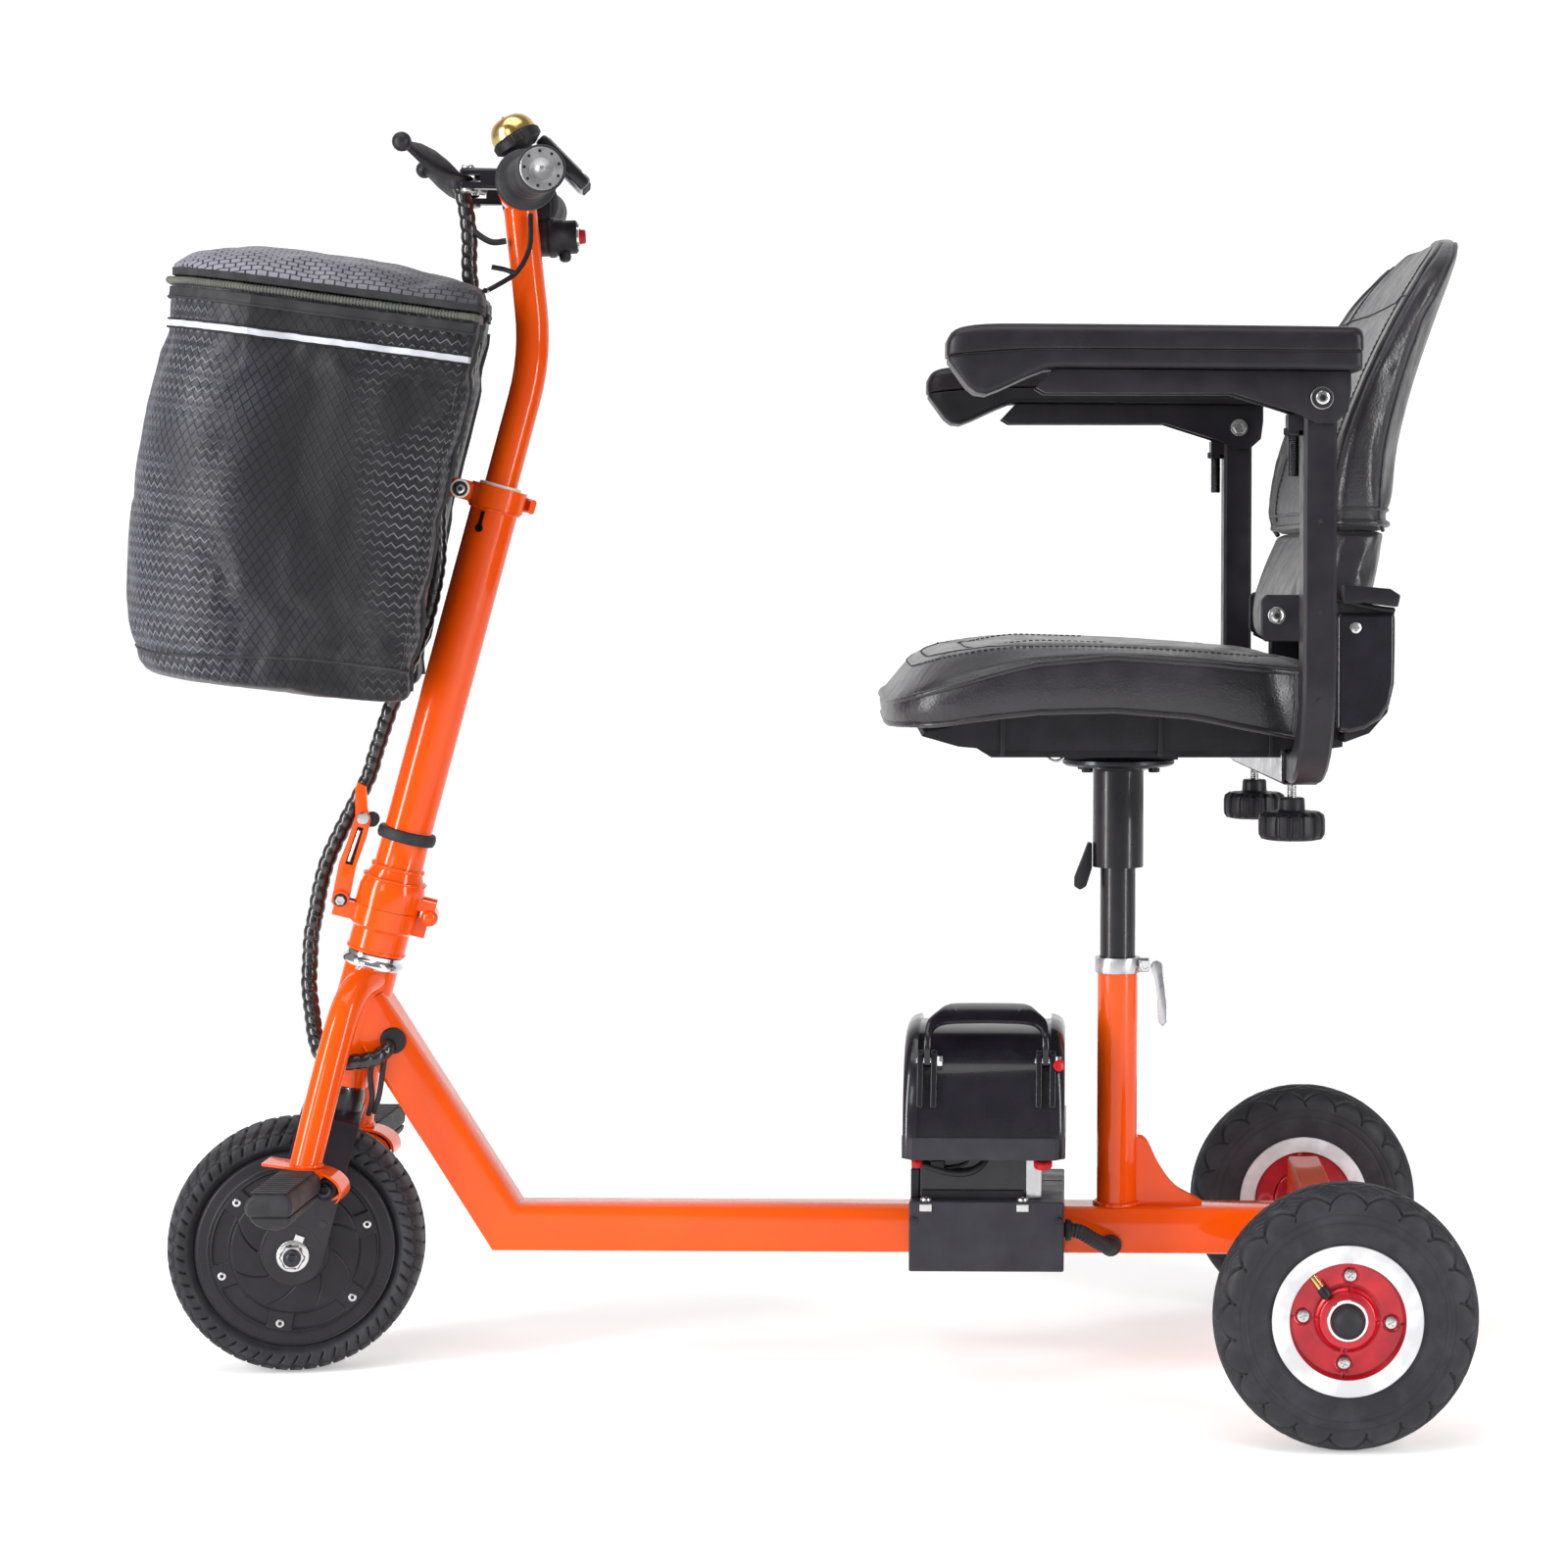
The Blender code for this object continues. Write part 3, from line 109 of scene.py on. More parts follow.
class Paint:
    """A Principled material with short helpers for its procedural nodes."""

    def __init__(self, name, colour, roughness, metallic=0.0, **sockets):
        self.material = bpy.data.materials.new(name)
        self.material.use_nodes = True
        self.tree = self.material.node_tree
        self.shader = self.tree.nodes["Principled BSDF"]
        self.shader.inputs["Base Color"].default_value = (*colour, 1)
        self.shader.inputs["Roughness"].default_value = roughness
        self.shader.inputs["Metallic"].default_value = metallic
        for key, value in sockets.items():
            self.shader.inputs[key.replace("_", " ")].default_value = value
        self.colour = colour
        self.roughness = roughness
        self.normal = None

    def node(self, kind, **settings):
        made = self.tree.nodes.new("ShaderNode" + kind)
        for key, value in settings.items():
            label = key.replace("_", " ")
            if label in made.inputs:
                made.inputs[label].default_value = value
            else:
                setattr(made, key, value)
        return made

    def link(self, source, target):
        self.tree.links.new(source, target)

    def place_by(self, output="Object"):
        return self.node("TexCoord").outputs[output]

    def math(self, operation, first, second=0.0, third=0.0):
        made = self.node("Math", operation=operation)
        for socket, value in zip(made.inputs, (first, second, third)):
            if isinstance(value, (int, float)):
                socket.default_value = value
            else:
                self.link(value, socket)
        return made.outputs[0]

    def noise(self, scale, detail=3.0, vector=None, roughness=0.5, distortion=0.0):
        made = self.node("TexNoise", Scale=scale, Detail=detail, Roughness=roughness, Distortion=distortion)
        self.link(vector or self.place_by(), made.inputs["Vector"])
        return made.outputs["Fac"]

    def cells(self, scale, feature="F1", vector=None):
        made = self.node("TexVoronoi", Scale=scale, feature=feature)
        self.link(vector or self.place_by(), made.inputs["Vector"])
        return made.outputs["Distance"]

    def ramp(self, source, low, high, out_low=0.0, out_high=1.0):
        made = self.node("MapRange")
        for key, value in (("From Min", low), ("From Max", high), ("To Min", out_low),
                ("To Max", out_high)):
            made.inputs[key].default_value = value
        self.link(source, made.inputs["Value"])
        return made.outputs["Result"]

    def painted_crevice_shade(self, dark, low=0.42, high=0.5):
        """Painted shade: darken the colour inside grooves and seams, where the mesh's pointiness is low."""
        factor = self.node("NewGeometry").outputs["Pointiness"]
        socket = self.shader.inputs["Base Color"]
        before = socket.links[0].from_socket if socket.links else self.colour
        self.link(self.mix(self.ramp(factor, low, high), dark, before), socket)
        return self

    def mix(self, factor, dark, light):
        made = self.node("Mix", data_type="RGBA")
        self.link(factor, made.inputs["Factor"])
        for socket, value in ((made.inputs[6], dark), (made.inputs[7], light)):
            if isinstance(value, tuple):
                socket.default_value = (*value, 1)
            else:
                self.link(value, socket)
        return made.outputs[2]

    def tint(self, factor, light, low=0.0, high=1.0):
        """Blend the colour so far towards another one where the factor is high."""
        socket = self.shader.inputs["Base Color"]
        before = socket.links[0].from_socket if socket.links else self.colour
        self.link(self.mix(self.ramp(factor, low, high), before, light), socket)
        return self

    def vary_roughness(self, factor, low, high, smooth, rough):
        self.link(self.ramp(factor, low, high, smooth, rough), self.shader.inputs["Roughness"])
        return self

    def bump(self, height, strength, distance=0.0005):
        made = self.node("Bump", Strength=strength, Distance=distance)
        self.link(height, made.inputs["Height"])
        if self.normal:
            self.link(self.normal, made.inputs["Normal"])
        self.normal = made.outputs["Normal"]
        self.link(self.normal, self.shader.inputs["Normal"])
        return self


def mottle(colour, factor):
    """The same colour, darker or lighter."""
    return tuple(min(1.0, value * factor) for value in colour)


def make_orange():
    """Glossy orange powder coat with a soft orange peel."""
    paint = Paint("gloss_orange_paint", (0.76, 0.070, 0.0010), 0.26, Coat_Weight=0.55,
        Coat_Roughness=0.05, Specular_IOR_Level=0.12)
    paint.tint(paint.noise(9, 2), (0.82, 0.092, 0.0012), 0.35, 0.75)
    paint.bump(paint.noise(260, 2), 0.05, 0.0006)
    paint.vary_roughness(paint.noise(30, 3), 0.3, 0.7, 0.16, 0.27)
    return paint.material


def make_plastic(name, colour, roughness, grain=900, strength=0.12, coat=0.0):
    """Moulded black plastic or painted steel, with a fine grain and painted shade in its grooves."""
    paint = Paint(name, colour, roughness, Coat_Weight=coat, Specular_IOR_Level=0.28)
    paint.tint(paint.noise(40, 3), mottle(colour, 1.6), 0.4, 0.8)
    paint.vary_roughness(paint.noise(55, 3), 0.3, 0.7, roughness * 0.8, roughness * 1.2)
    paint.bump(paint.noise(grain, 3), strength, 0.0004)
    # painted shade: grooves and seams darkened to 0.15 of the colour
    paint.painted_crevice_shade(mottle(colour, 0.15), 0.34, 0.44)
    return paint.material


def make_metal(name, colour, roughness, brushed=0.0):
    """Bare metal, a little uneven in its polish."""
    paint = Paint(name, colour, roughness, 1.0)
    paint.vary_roughness(paint.noise(80, 4), 0.3, 0.7, roughness * 0.7, roughness * 1.4)
    paint.tint(paint.noise(25, 3), mottle(colour, 0.82), 0.45, 0.8)
    paint.bump(paint.noise(700, 2), 0.04 + brushed, 0.0003)
    return paint.material


def make_vinyl(name, colour, roughness, grain=520):
    """Grained imitation leather: fine pebbles, soft folds and a faint cool sheen."""
    paint = Paint(name, colour, roughness, Sheen_Weight=0.12, Sheen_Roughness=0.4)
    paint.tint(paint.noise(14, 4), mottle(colour, 1.5), 0.4, 0.75)
    pebbles = paint.cells(grain)
    paint.bump(pebbles, 0.32, 0.0005)
    paint.bump(paint.noise(130, 4, distortion=0.6), 0.14, 0.0012)
    paint.vary_roughness(paint.noise(60, 4), 0.3, 0.75, roughness * 0.8, roughness * 1.3)
    return paint.material


def make_rubber(name, colour=(0.0150, 0.0145, 0.0175), roughness=0.55):
    """Matt rubber, with painted shade darkening its grooves."""
    paint = Paint(name, colour, roughness, Specular_IOR_Level=0.35)
    paint.tint(paint.noise(60, 5), mottle(colour, 1.9), 0.45, 0.8)
    paint.bump(paint.noise(1100, 3), 0.22, 0.0004)
    # painted shade: grooves made nearly black
    paint.painted_crevice_shade((0.001, 0.001, 0.001), 0.42, 0.485)
    paint.vary_roughness(paint.noise(45, 4), 0.3, 0.7, roughness * 0.82, roughness * 1.2)
    return paint.material


def make_cloth(name, bricks, dark, light, turn):
    """Woven bag cloth: dark stitched diamonds with patches of lighter zigzag, or bricks on the lid; its
    base colour is painted light towards the front of the bag and darker behind, with painted shade in its
    seams.
    """
    paint = Paint(name, dark, 0.55, Sheen_Weight=0.06, Sheen_Roughness=0.35, Specular_IOR_Level=0.32)
    spread = paint.node("SeparateXYZ")
    paint.link(paint.place_by("UV"), spread.inputs[0])
    across, up = spread.outputs[0], spread.outputs[1]
    if bricks:
        row = paint.math("MULTIPLY", up, 1 / 0.0068)
        shift = paint.math("MULTIPLY", paint.math("FLOOR", row), 0.5)
        lines = (paint.math("ADD", paint.math("MULTIPLY", across, 1 / 0.0085), shift), row)
    else:
        lean = paint.math("MULTIPLY", up, 1 / 0.0115)
        side = paint.math("MULTIPLY", across, 1 / 0.008)
        lines = (paint.math("ADD", side, lean), paint.math("SUBTRACT", side, lean))
    centred = [paint.math("SUBTRACT", paint.math("FRACT", line), 0.5) for line in lines]
    edges = [paint.math("ABSOLUTE", line) for line in centred]
    net = paint.ramp(paint.math("MAXIMUM", edges[0], edges[1]), 0.395, 0.445)
    # painted light: the base runs from the lit colour at the front of the bag to the dark cloth colour
    # behind, with noise in the boundary
    forward = paint.node("SeparateXYZ")
    paint.link(paint.place_by("Generated"), forward.inputs[0])
    painted_light_falloff = paint.math("MULTIPLY_ADD", paint.noise(9, 3), 0.7, forward.outputs[0])
    base = paint.mix(paint.ramp(painted_light_falloff, *turn), light, dark)
    stitched = paint.mix(net, base, mottle(dark, 0.2))
    if not bricks:
        wave = paint.math("PINGPONG", paint.math("MULTIPLY", across, 1 / 0.008), 0.5)
        ridge = paint.math("FRACT", paint.math("ADD", paint.math("MULTIPLY", up, 1 / 0.0077), wave))
        zigzag = paint.math("SUBTRACT", 1.0, paint.ramp(ridge, 0.10, 0.17))
        patches = paint.ramp(paint.noise(11, 2), 0.36, 0.52)
        # the lighter zigzag patches are part of the cloth's pattern; holding them back from the middle of
        # the bag is painted shade there
        away = paint.math("ABSOLUTE", paint.math("SUBTRACT", forward.outputs[0], 0.56))
        patches = paint.math("MULTIPLY", patches, paint.ramp(away, 0.12, 0.26))
        stitched = paint.mix(paint.math("MULTIPLY", zigzag, patches), stitched, (0.15, 0.15, 0.175))
    paint.link(stitched, paint.shader.inputs["Base Color"])
    weave = paint.node("TexWave", Scale=620, Distortion=1.5)
    paint.link(paint.place_by("UV"), weave.inputs["Vector"])
    paint.bump(weave.outputs["Fac"], 0.12, 0.0003)
    paint.bump(net, 0.35, 0.0004)
    # painted shade in the stitched seams and folds
    paint.painted_crevice_shade(mottle(dark, 0.3), 0.38, 0.47)
    paint.vary_roughness(paint.noise(18, 3), 0.3, 0.7, 0.40, 0.55)
    return paint.material


def make_brass():
    """Polished brass of the bell."""
    paint = Paint("brass_dome", (0.78, 0.56, 0.24), 0.24, 1.0)
    rings = paint.node("TexNoise", Scale=40.0, Detail=3.0)
    paint.link(paint.place_by(), rings.inputs["Vector"])
    paint.tint(rings.outputs["Fac"], (0.55, 0.36, 0.12), 0.4, 0.8)
    paint.bump(paint.noise(500, 3), 0.05, 0.0003)
    paint.vary_roughness(paint.noise(60, 3), 0.3, 0.7, 0.16, 0.34)
    return paint.material


def make_red():
    """Red anodised wheel hub, with painted shade in its grooves."""
    paint = Paint("red_anodised_hub", (0.42, 0.004, 0.014), 0.3, 0.45, Coat_Weight=0.5, Coat_Roughness=0.12)
    paint.tint(paint.noise(60, 3), (0.62, 0.010, 0.022), 0.4, 0.8)
    paint.bump(paint.noise(600, 3), 0.08, 0.0003)
    # painted shade: grooves darkened to a near-black red
    paint.painted_crevice_shade((0.03, 0.0, 0.001), 0.42, 0.49)
    return paint.material


def make_conduit():
    """Glossy spiral wrap of the harness."""
    paint = Paint("spiral_wrap", (0.014, 0.013, 0.014), 0.22, Coat_Weight=0.3)
    paint.tint(paint.noise(70, 3), (0.040, 0.030, 0.032), 0.5, 0.85)
    paint.bump(paint.noise(400, 3), 0.12, 0.0004)
    paint.vary_roughness(paint.noise(50, 3), 0.3, 0.7, 0.16, 0.34)
    return paint.material


ORANGE = make_orange()
SATIN = make_plastic("satin_black_steel", (0.0095, 0.0085, 0.0120), 0.32, 500, 0.10, 0.2)
BAR_BLACK = make_plastic("powder_black_bar", (0.0120, 0.0108, 0.0145), 0.36, 1300, 0.25)
PLASTIC = make_plastic("moulded_black", (0.0110, 0.0100, 0.0135), 0.42, 1100, 0.22)
GLOSS = make_plastic("gloss_black_case", (0.0100, 0.0092, 0.0130), 0.2, 700, 0.08, 0.3)
PAD = make_plastic("armrest_skin", (0.0130, 0.0115, 0.0145), 0.34, 1500, 0.35)
SHEET = make_plastic("grey_sheet_metal", (0.024, 0.023, 0.030), 0.42, 900, 0.1)
VINYL = make_vinyl("seat_vinyl", (0.0150, 0.0135, 0.0175), 0.34)
THREAD = make_plastic("stitch_thread", (0.010, 0.010, 0.011), 0.7, 1800, 0.4)
RUBBER = make_rubber("black_rubber")
TYRE = make_rubber("tyre_rubber", (0.0170, 0.0170, 0.0215), 0.58)
# The second colour of each bag cloth is painted light on the front of the bag and lid; the pair after it
# sets where it gives way to the dark cloth colour.
CLOTH = make_cloth("bag_body_cloth", False, (0.0085, 0.0080, 0.0115), (0.046, 0.045, 0.060), (0.50, 0.86))
LID_CLOTH = make_cloth("bag_lid_cloth", True, (0.040, 0.039, 0.050), (0.210, 0.205, 0.245), (0.85, 1.30))
TAPE = make_rubber("zip_tape", (0.020, 0.020, 0.022), 0.75)
TEETH = make_plastic("zip_teeth", (0.075, 0.078, 0.066), 0.35, 1400, 0.2)
REFLECTIVE = make_plastic("reflective_strip", (0.42, 0.42, 0.46), 0.35, 1600, 0.3)
CHROME = make_metal("chrome", (0.82, 0.82, 0.84), 0.12)
ZINC = make_metal("zinc_screws", (0.62, 0.62, 0.62), 0.26)
ALLOY = make_metal("brushed_alloy", (0.56, 0.56, 0.58), 0.3, 0.06)
DARK_METAL = make_metal("dark_bearing", (0.05, 0.05, 0.06), 0.3)
BRASS = make_brass()
RED = make_red()
RED_PLASTIC = make_plastic("red_button", (0.42, 0.006, 0.010), 0.3, 900, 0.1)
WHITE = make_plastic("white_ring", (0.55, 0.55, 0.57), 0.35, 900, 0.08)
CREAM = make_plastic("nylon_washer", (0.78, 0.74, 0.66), 0.4, 900, 0.08)
WRAP = make_conduit()


# ---------------------------------------------------------------- modelling helpers


def curve_through(points):
    """Smooth function of x through a few (x, value) points."""
    points = sorted(points)

    def value(x):
        if x <= points[0][0]:
            return points[0][1]
        if x >= points[-1][0]:
            return points[-1][1]
        for i in range(len(points) - 1):
            if points[i][0] <= x <= points[i + 1][0]:
                break
        x0, y0 = points[max(i - 1, 0)]
        x1, y1 = points[i]
        x2, y2 = points[i + 1]
        x3, y3 = points[min(i + 2, len(points) - 1)]
        slope1 = (y2 - y0) / (x2 - x0)
        slope2 = (y3 - y1) / (x3 - x1)
        span = x2 - x1
        t = (x - x1) / span
        a = 2 * t**3 - 3 * t**2 + 1
        b = t**3 - 2 * t**2 + t
        c = -2 * t**3 + 3 * t**2
        d = t**3 - t**2
        return a * y1 + b * slope1 * span + c * y2 + d * slope2 * span

    return value


def smooth_step(low, high, x):
    """Smooth rise from 0 to 1 between two values."""
    t = min(1.0, max(0.0, (x - low) / (high - low)))
    return t * t * (3 - 2 * t)


def add_piece(name, mesh, paint, body, hides=(), sharp=38, bevel=0.0, segments=2, subdivide=0):
    """Make an object of a mesh in the row frame, smooth it, and let it ride on a body."""
    if isinstance(mesh, bmesh.types.BMesh):
        bm = mesh
        mesh = bpy.data.meshes.new(name)
        bmesh.ops.recalc_face_normals(bm, faces=bm.faces)
        bm.to_mesh(mesh)
        bm.free()
    mesh.name = name
    mesh.materials.clear()
    mesh.materials.append(paint)
    mesh.shade_smooth()
    mesh.set_sharp_from_angle(angle=math.radians(sharp))
    obj = bpy.data.objects.new(name, mesh)
    bpy.context.scene.collection.objects.link(obj)
    if bevel:
        mod = obj.modifiers.new("edges", "BEVEL")
        mod.width = bevel * MM
        mod.segments = segments
        mod.limit_method = "ANGLE"
        mod.angle_limit = math.radians(32)
        mod.harden_normals = True
    if subdivide:
        mod = obj.modifiers.new("subdivide", "SUBSURF")
        mod.levels = subdivide
        mod.render_levels = subdivide
    if body:
        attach(obj, body)
    if hides:
        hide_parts(*hides)
    return obj


def skin(rings, closed=False, caps=True):
    """Skin over rings of equal length."""
    bm = bmesh.new()
    rows = [[bm.verts.new(p) for p in ring] for ring in rings]
    count = len(rings[0])
    pairs = list(zip(rows, rows[1:]))
    if closed:
        pairs.append((rows[-1], rows[0]))
    for near, far in pairs:
        for i in range(count):
            j = (i + 1) % count
            bm.faces.new((near[i], near[j], far[j], far[i]))
    if caps and not closed:
        bm.faces.new(rows[0])
        bm.faces.new(rows[-1])
    return bm


def tidy(bm, distance=1e-6):
    bmesh.ops.remove_doubles(bm, verts=bm.verts, dist=distance)
    bmesh.ops.dissolve_degenerate(bm, edges=bm.edges, dist=distance)
    loose = [edge for edge in bm.edges if not edge.link_faces]
    bmesh.ops.delete(bm, geom=loose, context="EDGES")
    return bm


def lathe(profile, where, segments=64):
    """Turned solid about a frame's Z from a closed loop of (radius, height) in millimetres."""
    rings = []
    for k in range(segments):
        a = 2 * math.pi * k / segments
        rings.append([place(where, r * math.cos(a), r * math.sin(a), z) for r, z in profile])
    return tidy(skin(rings, closed=True))


def prism(outline, low, high, where):
    """Outline in the frame's XZ plane, extruded along Y."""
    rings = [[place(where, x, y, z) for x, z in outline] for y in (low, high)]
    return skin(rings)


def brick(low, high, where):
    """Box between two corners in a frame."""
    (x0, y0, z0), (x1, y1, z1) = low, high
    return prism([(x0, z0), (x1, z0), (x1, z1), (x0, z1)], y0, y1, where)


def arc(cx, cy, radius, start, end, steps):
    """Points on an arc, angles in degrees."""
    points = []
    for k in range(steps + 1):
        a = math.radians(start + (end - start) * k / steps)
        points.append((cx + radius * math.cos(a), cy + radius * math.sin(a)))
    return points


def join(*parts):
    """One bmesh of several separate ones."""
    whole = bmesh.new()
    for part in parts:
        mesh = bpy.data.meshes.new("part")
        part.to_mesh(mesh)
        part.free()
        whole.from_mesh(mesh)
        bpy.data.meshes.remove(mesh)
    return whole


def spline(knots, step):
    """Even points (metres) on a smooth curve through the knots, about one step (millimetres) apart."""
    fine = []
    for i in range(len(knots) - 1):
        a, b = knots[max(i - 1, 0)], knots[i]
        c, d = knots[i + 1], knots[min(i + 2, len(knots) - 1)]
        for k in range(24):
            t = k / 24
            square = (2 * a - 5 * b + 4 * c - d) * t**2
            cube = (3 * b - a - 3 * c + d) * t**3
            fine.append(0.5 * (2 * b + (c - a) * t + square + cube))
    fine.append(knots[-1])
    total = sum((q - p).length for p, q in zip(fine, fine[1:]))
    count = max(2, round(total / (step * MM)))
    out = [fine[0]]
    walked = 0.0
    for p, q in zip(fine, fine[1:]):
        span = (q - p).length
        while len(out) < count and walked + span >= total * len(out) / count:
            out.append(p.lerp(q, (total * len(out) / count - walked) / span))
        walked += span
    out.append(fine[-1])
    return out


def carried_frames(points):
    """Frames along a path that don't twist."""
    tangents = []
    for i in range(len(points)):
        ahead = points[min(i + 1, len(points) - 1)]
        tangents.append((ahead - points[max(i - 1, 0)]).normalized())
    side = tangents[0].orthogonal().normalized()
    out = []
    for point, tangent in zip(points, tangents):
        side = (side - tangent * side.dot(tangent)).normalized()
        out.append((point, side, tangent.cross(side)))
    return out


def tube(points, radius, sides=14, shape=None):
    """Tube along points (metres); shape(distance, angle) scales its radius (millimetres)."""
    rings = []
    walked = 0.0
    before = points[0]
    for point, side, up in carried_frames(points):
        walked += (point - before).length / MM
        before = point
        ring = []
        for k in range(sides):
            a = 2 * math.pi * k / sides
            r = radius * (shape(walked, a) if shape else 1.0)
            ring.append(point + (side * math.cos(a) + up * math.sin(a)) * r * MM)
        rings.append(ring)
    return skin(rings)


def strip(points, normals, width, thickness):
    """Flat band that follows points, its face along the normals."""
    rings = []
    for i, (point, normal) in enumerate(zip(points, normals)):
        ahead = (points[min(i + 1, len(points) - 1)] - points[max(i - 1, 0)]).normalized()
        across = ahead.cross(normal).normalized()
        w = across * width * MM / 2
        t = normal.normalized() * thickness * MM / 2
        rings.append([point - w - t, point + w - t, point + w * 0.92 + t, point - w * 0.92 + t])
    return skin(rings)


def hex_ring(where, radius, height, count=24, turn=0.0):
    """Points of a hexagon (across corners = 2 radius), evenly spread."""
    ring = []
    flat = radius * math.cos(math.pi / 6)
    for k in range(count):
        a = 2 * math.pi * k / count
        local = (a + turn) % (math.pi / 3) - math.pi / 6
        r = flat / math.cos(local)
        ring.append(place(where, r * math.cos(a), r * math.sin(a), height))
    return ring


def circle_ring(where, radius, height, count=24):
    """Ring of points round a frame."""
    ring = []
    for k in range(count):
        a = 2 * math.pi * k / count
        ring.append(place(where, radius * math.cos(a), radius * math.sin(a), height))
    return ring


def socket_screw(where, radius, height):
    """Domed screw head with a hexagon socket, standing on the frame's origin."""
    rings = [circle_ring(where, radius, -0.3), circle_ring(where, radius, height * 0.45)]
    rings.append(circle_ring(where, radius * 0.93, height * 0.78))
    rings.append(circle_ring(where, radius * 0.7, height))
    rings.append(circle_ring(where, radius * 0.56, height))
    rings.append(hex_ring(where, radius * 0.5, height))
    rings.append(hex_ring(where, radius * 0.47, height * 0.35))
    return skin(rings)


def cross_screw(where, radius, height):
    """Pan head with a cross recess."""
    rings = [circle_ring(where, radius, -0.3, 32), circle_ring(where, radius, height * 0.4, 32)]
    rings.append(circle_ring(where, radius * 0.9, height * 0.8, 32))
    rings.append(circle_ring(where, radius * 0.66, height, 32))
    for depth, scale in ((height, 1.0), (height * 0.35, 0.85)):
        ring = []
        for k in range(32):
            a = 2 * math.pi * k / 32
            arm = abs(math.cos(2 * a))
            r = radius * (0.16 + 0.40 * smooth_step(0.78, 0.97, arm)) * scale
            ring.append(place(where, r * math.cos(a), r * math.sin(a), depth))
        rings.append(ring)
    return skin(rings)


def hex_nut(where, radius, height, bore=0.5):
    """Nut with chamfered corners and a thread hole."""
    rings = [hex_ring(where, radius, 0), hex_ring(where, radius, height * 0.86)]
    rings.append(hex_ring(where, radius * 0.9, height))
    rings.append(circle_ring(where, radius * bore, height))
    rings.append(circle_ring(where, radius * bore * 0.92, height * 0.5))
    return skin(rings)


def washer(where, radius, height):
    """Flat washer with eased edges."""
    profile = [(0, 0), (radius, 0), (radius, height * 0.7), (radius * 0.96, height), (0, height)]
    return lathe(profile, where, 40)


def bead(centres, radius, sides=8):
    """Uneven weld bead along points."""

    def lumps(distance, angle):
        return 1 + 0.16 * math.sin(distance * 1.9) + 0.06 * math.sin(distance * 5.1 + angle)

    return tube(centres, radius, sides, lumps)


def ring_bead(where, radius, height, size, flatten=1.0):
    """Closed weld bead round a tube."""
    rings = []
    for k in range(96):
        a = 2 * math.pi * k / 96
        swell = size * (1 + 0.14 * math.sin(17 * a) + 0.08 * math.sin(41 * a + 1))
        ring = []
        for j in range(8):
            b = 2 * math.pi * j / 8
            r = radius + swell * math.cos(b)
            ring.append(place(where, r * math.cos(a), flatten * r * math.sin(a),
                height + swell * math.sin(b)))
        rings.append(ring)
    return skin(rings, closed=True)


# ---------------------------------------------------------------- carried-over CAD nodes


def dress(node, paint, bevel=0.0):
    """Give a CAD node its material, with merged and softened edges."""
    obj = frame["nodes"][node]
    obj.data.materials.clear()
    obj.data.materials.append(paint)
    obj.data.shade_smooth()
    weld = obj.modifiers.new("weld", "WELD")
    weld.merge_threshold = 0.00002
    if bevel:
        planar = obj.modifiers.new("planar", "DECIMATE")
        planar.decimate_type = "DISSOLVE"
        planar.angle_limit = math.radians(0.6)
        edges = obj.modifiers.new("edges", "BEVEL")
        edges.width = bevel * MM
        edges.segments = 3
        edges.limit_method = "ANGLE"
        edges.angle_limit = math.radians(34)
        edges.harden_normals = True
        edges.miter_outer = "MITER_ARC"
    split = obj.modifiers.new("split", "EDGE_SPLIT")
    split.split_angle = math.radians(38)
    return obj


CARRIED = {
    "main_frame": (ORANGE, 0.0),
    "steerer_head": (ORANGE, 0.0), "column_tube": (ORANGE, 0.0), "stem": (ORANGE, 0.0),
    "fold_latch": (ORANGE, 0.5), "clamp_lever": (ORANGE, 0.0),
    "seat_collar": (ALLOY, 0.4), "seat_lever": (ALLOY, 0.8), "fork": (SATIN, 0.0),
    "handlebar": (SATIN, 0.0), "stop_ring": (RUBBER, 0.0), "seat_post": (SATIN, 0.0),
    "swivel_lever": (PLASTIC, 1.2), "seat_pan": (PLASTIC, 0.0), "back_shell": (PLASTIC, 0.0),
    "recline_paddle": (PLASTIC, 1.2), "arm_post_left": (BAR_BLACK, 0.0), "arm_post_right": (BAR_BLACK, 0.0),
    "arm_bar_left": (BAR_BLACK, 0.6), "arm_bar_right": (BAR_BLACK, 0.6), "bag_hanger": (SATIN, 0.0),
    "brake_lever_left": (PLASTIC, 0.0), "brake_lever_right": (PLASTIC, 0.0), "bell_base": (PLASTIC, 0.0),
    "bell_striker": (PLASTIC, 0.6), "display": (GLOSS, 0.0),
    "switch_pod": (PLASTIC, 0.0), "power_button": (RED_PLASTIC, 0.0), "rear_axle_left": (RUBBER, 0.0),
    "rear_axle_right": (RUBBER, 0.0), 
}
for node_name, (paint, softness) in CARRIED.items():
    dress(node_name, paint, softness)



# ---------------------------------------------------------------- wheels


def fraction(value):
    """Part after the decimal point."""
    return value - math.floor(value)


def groove(distance, half_width, depth):
    """Depth of a soft-edged groove at a distance from its middle."""
    return depth * (1 - smooth_step(half_width * 0.45, half_width, abs(distance)))


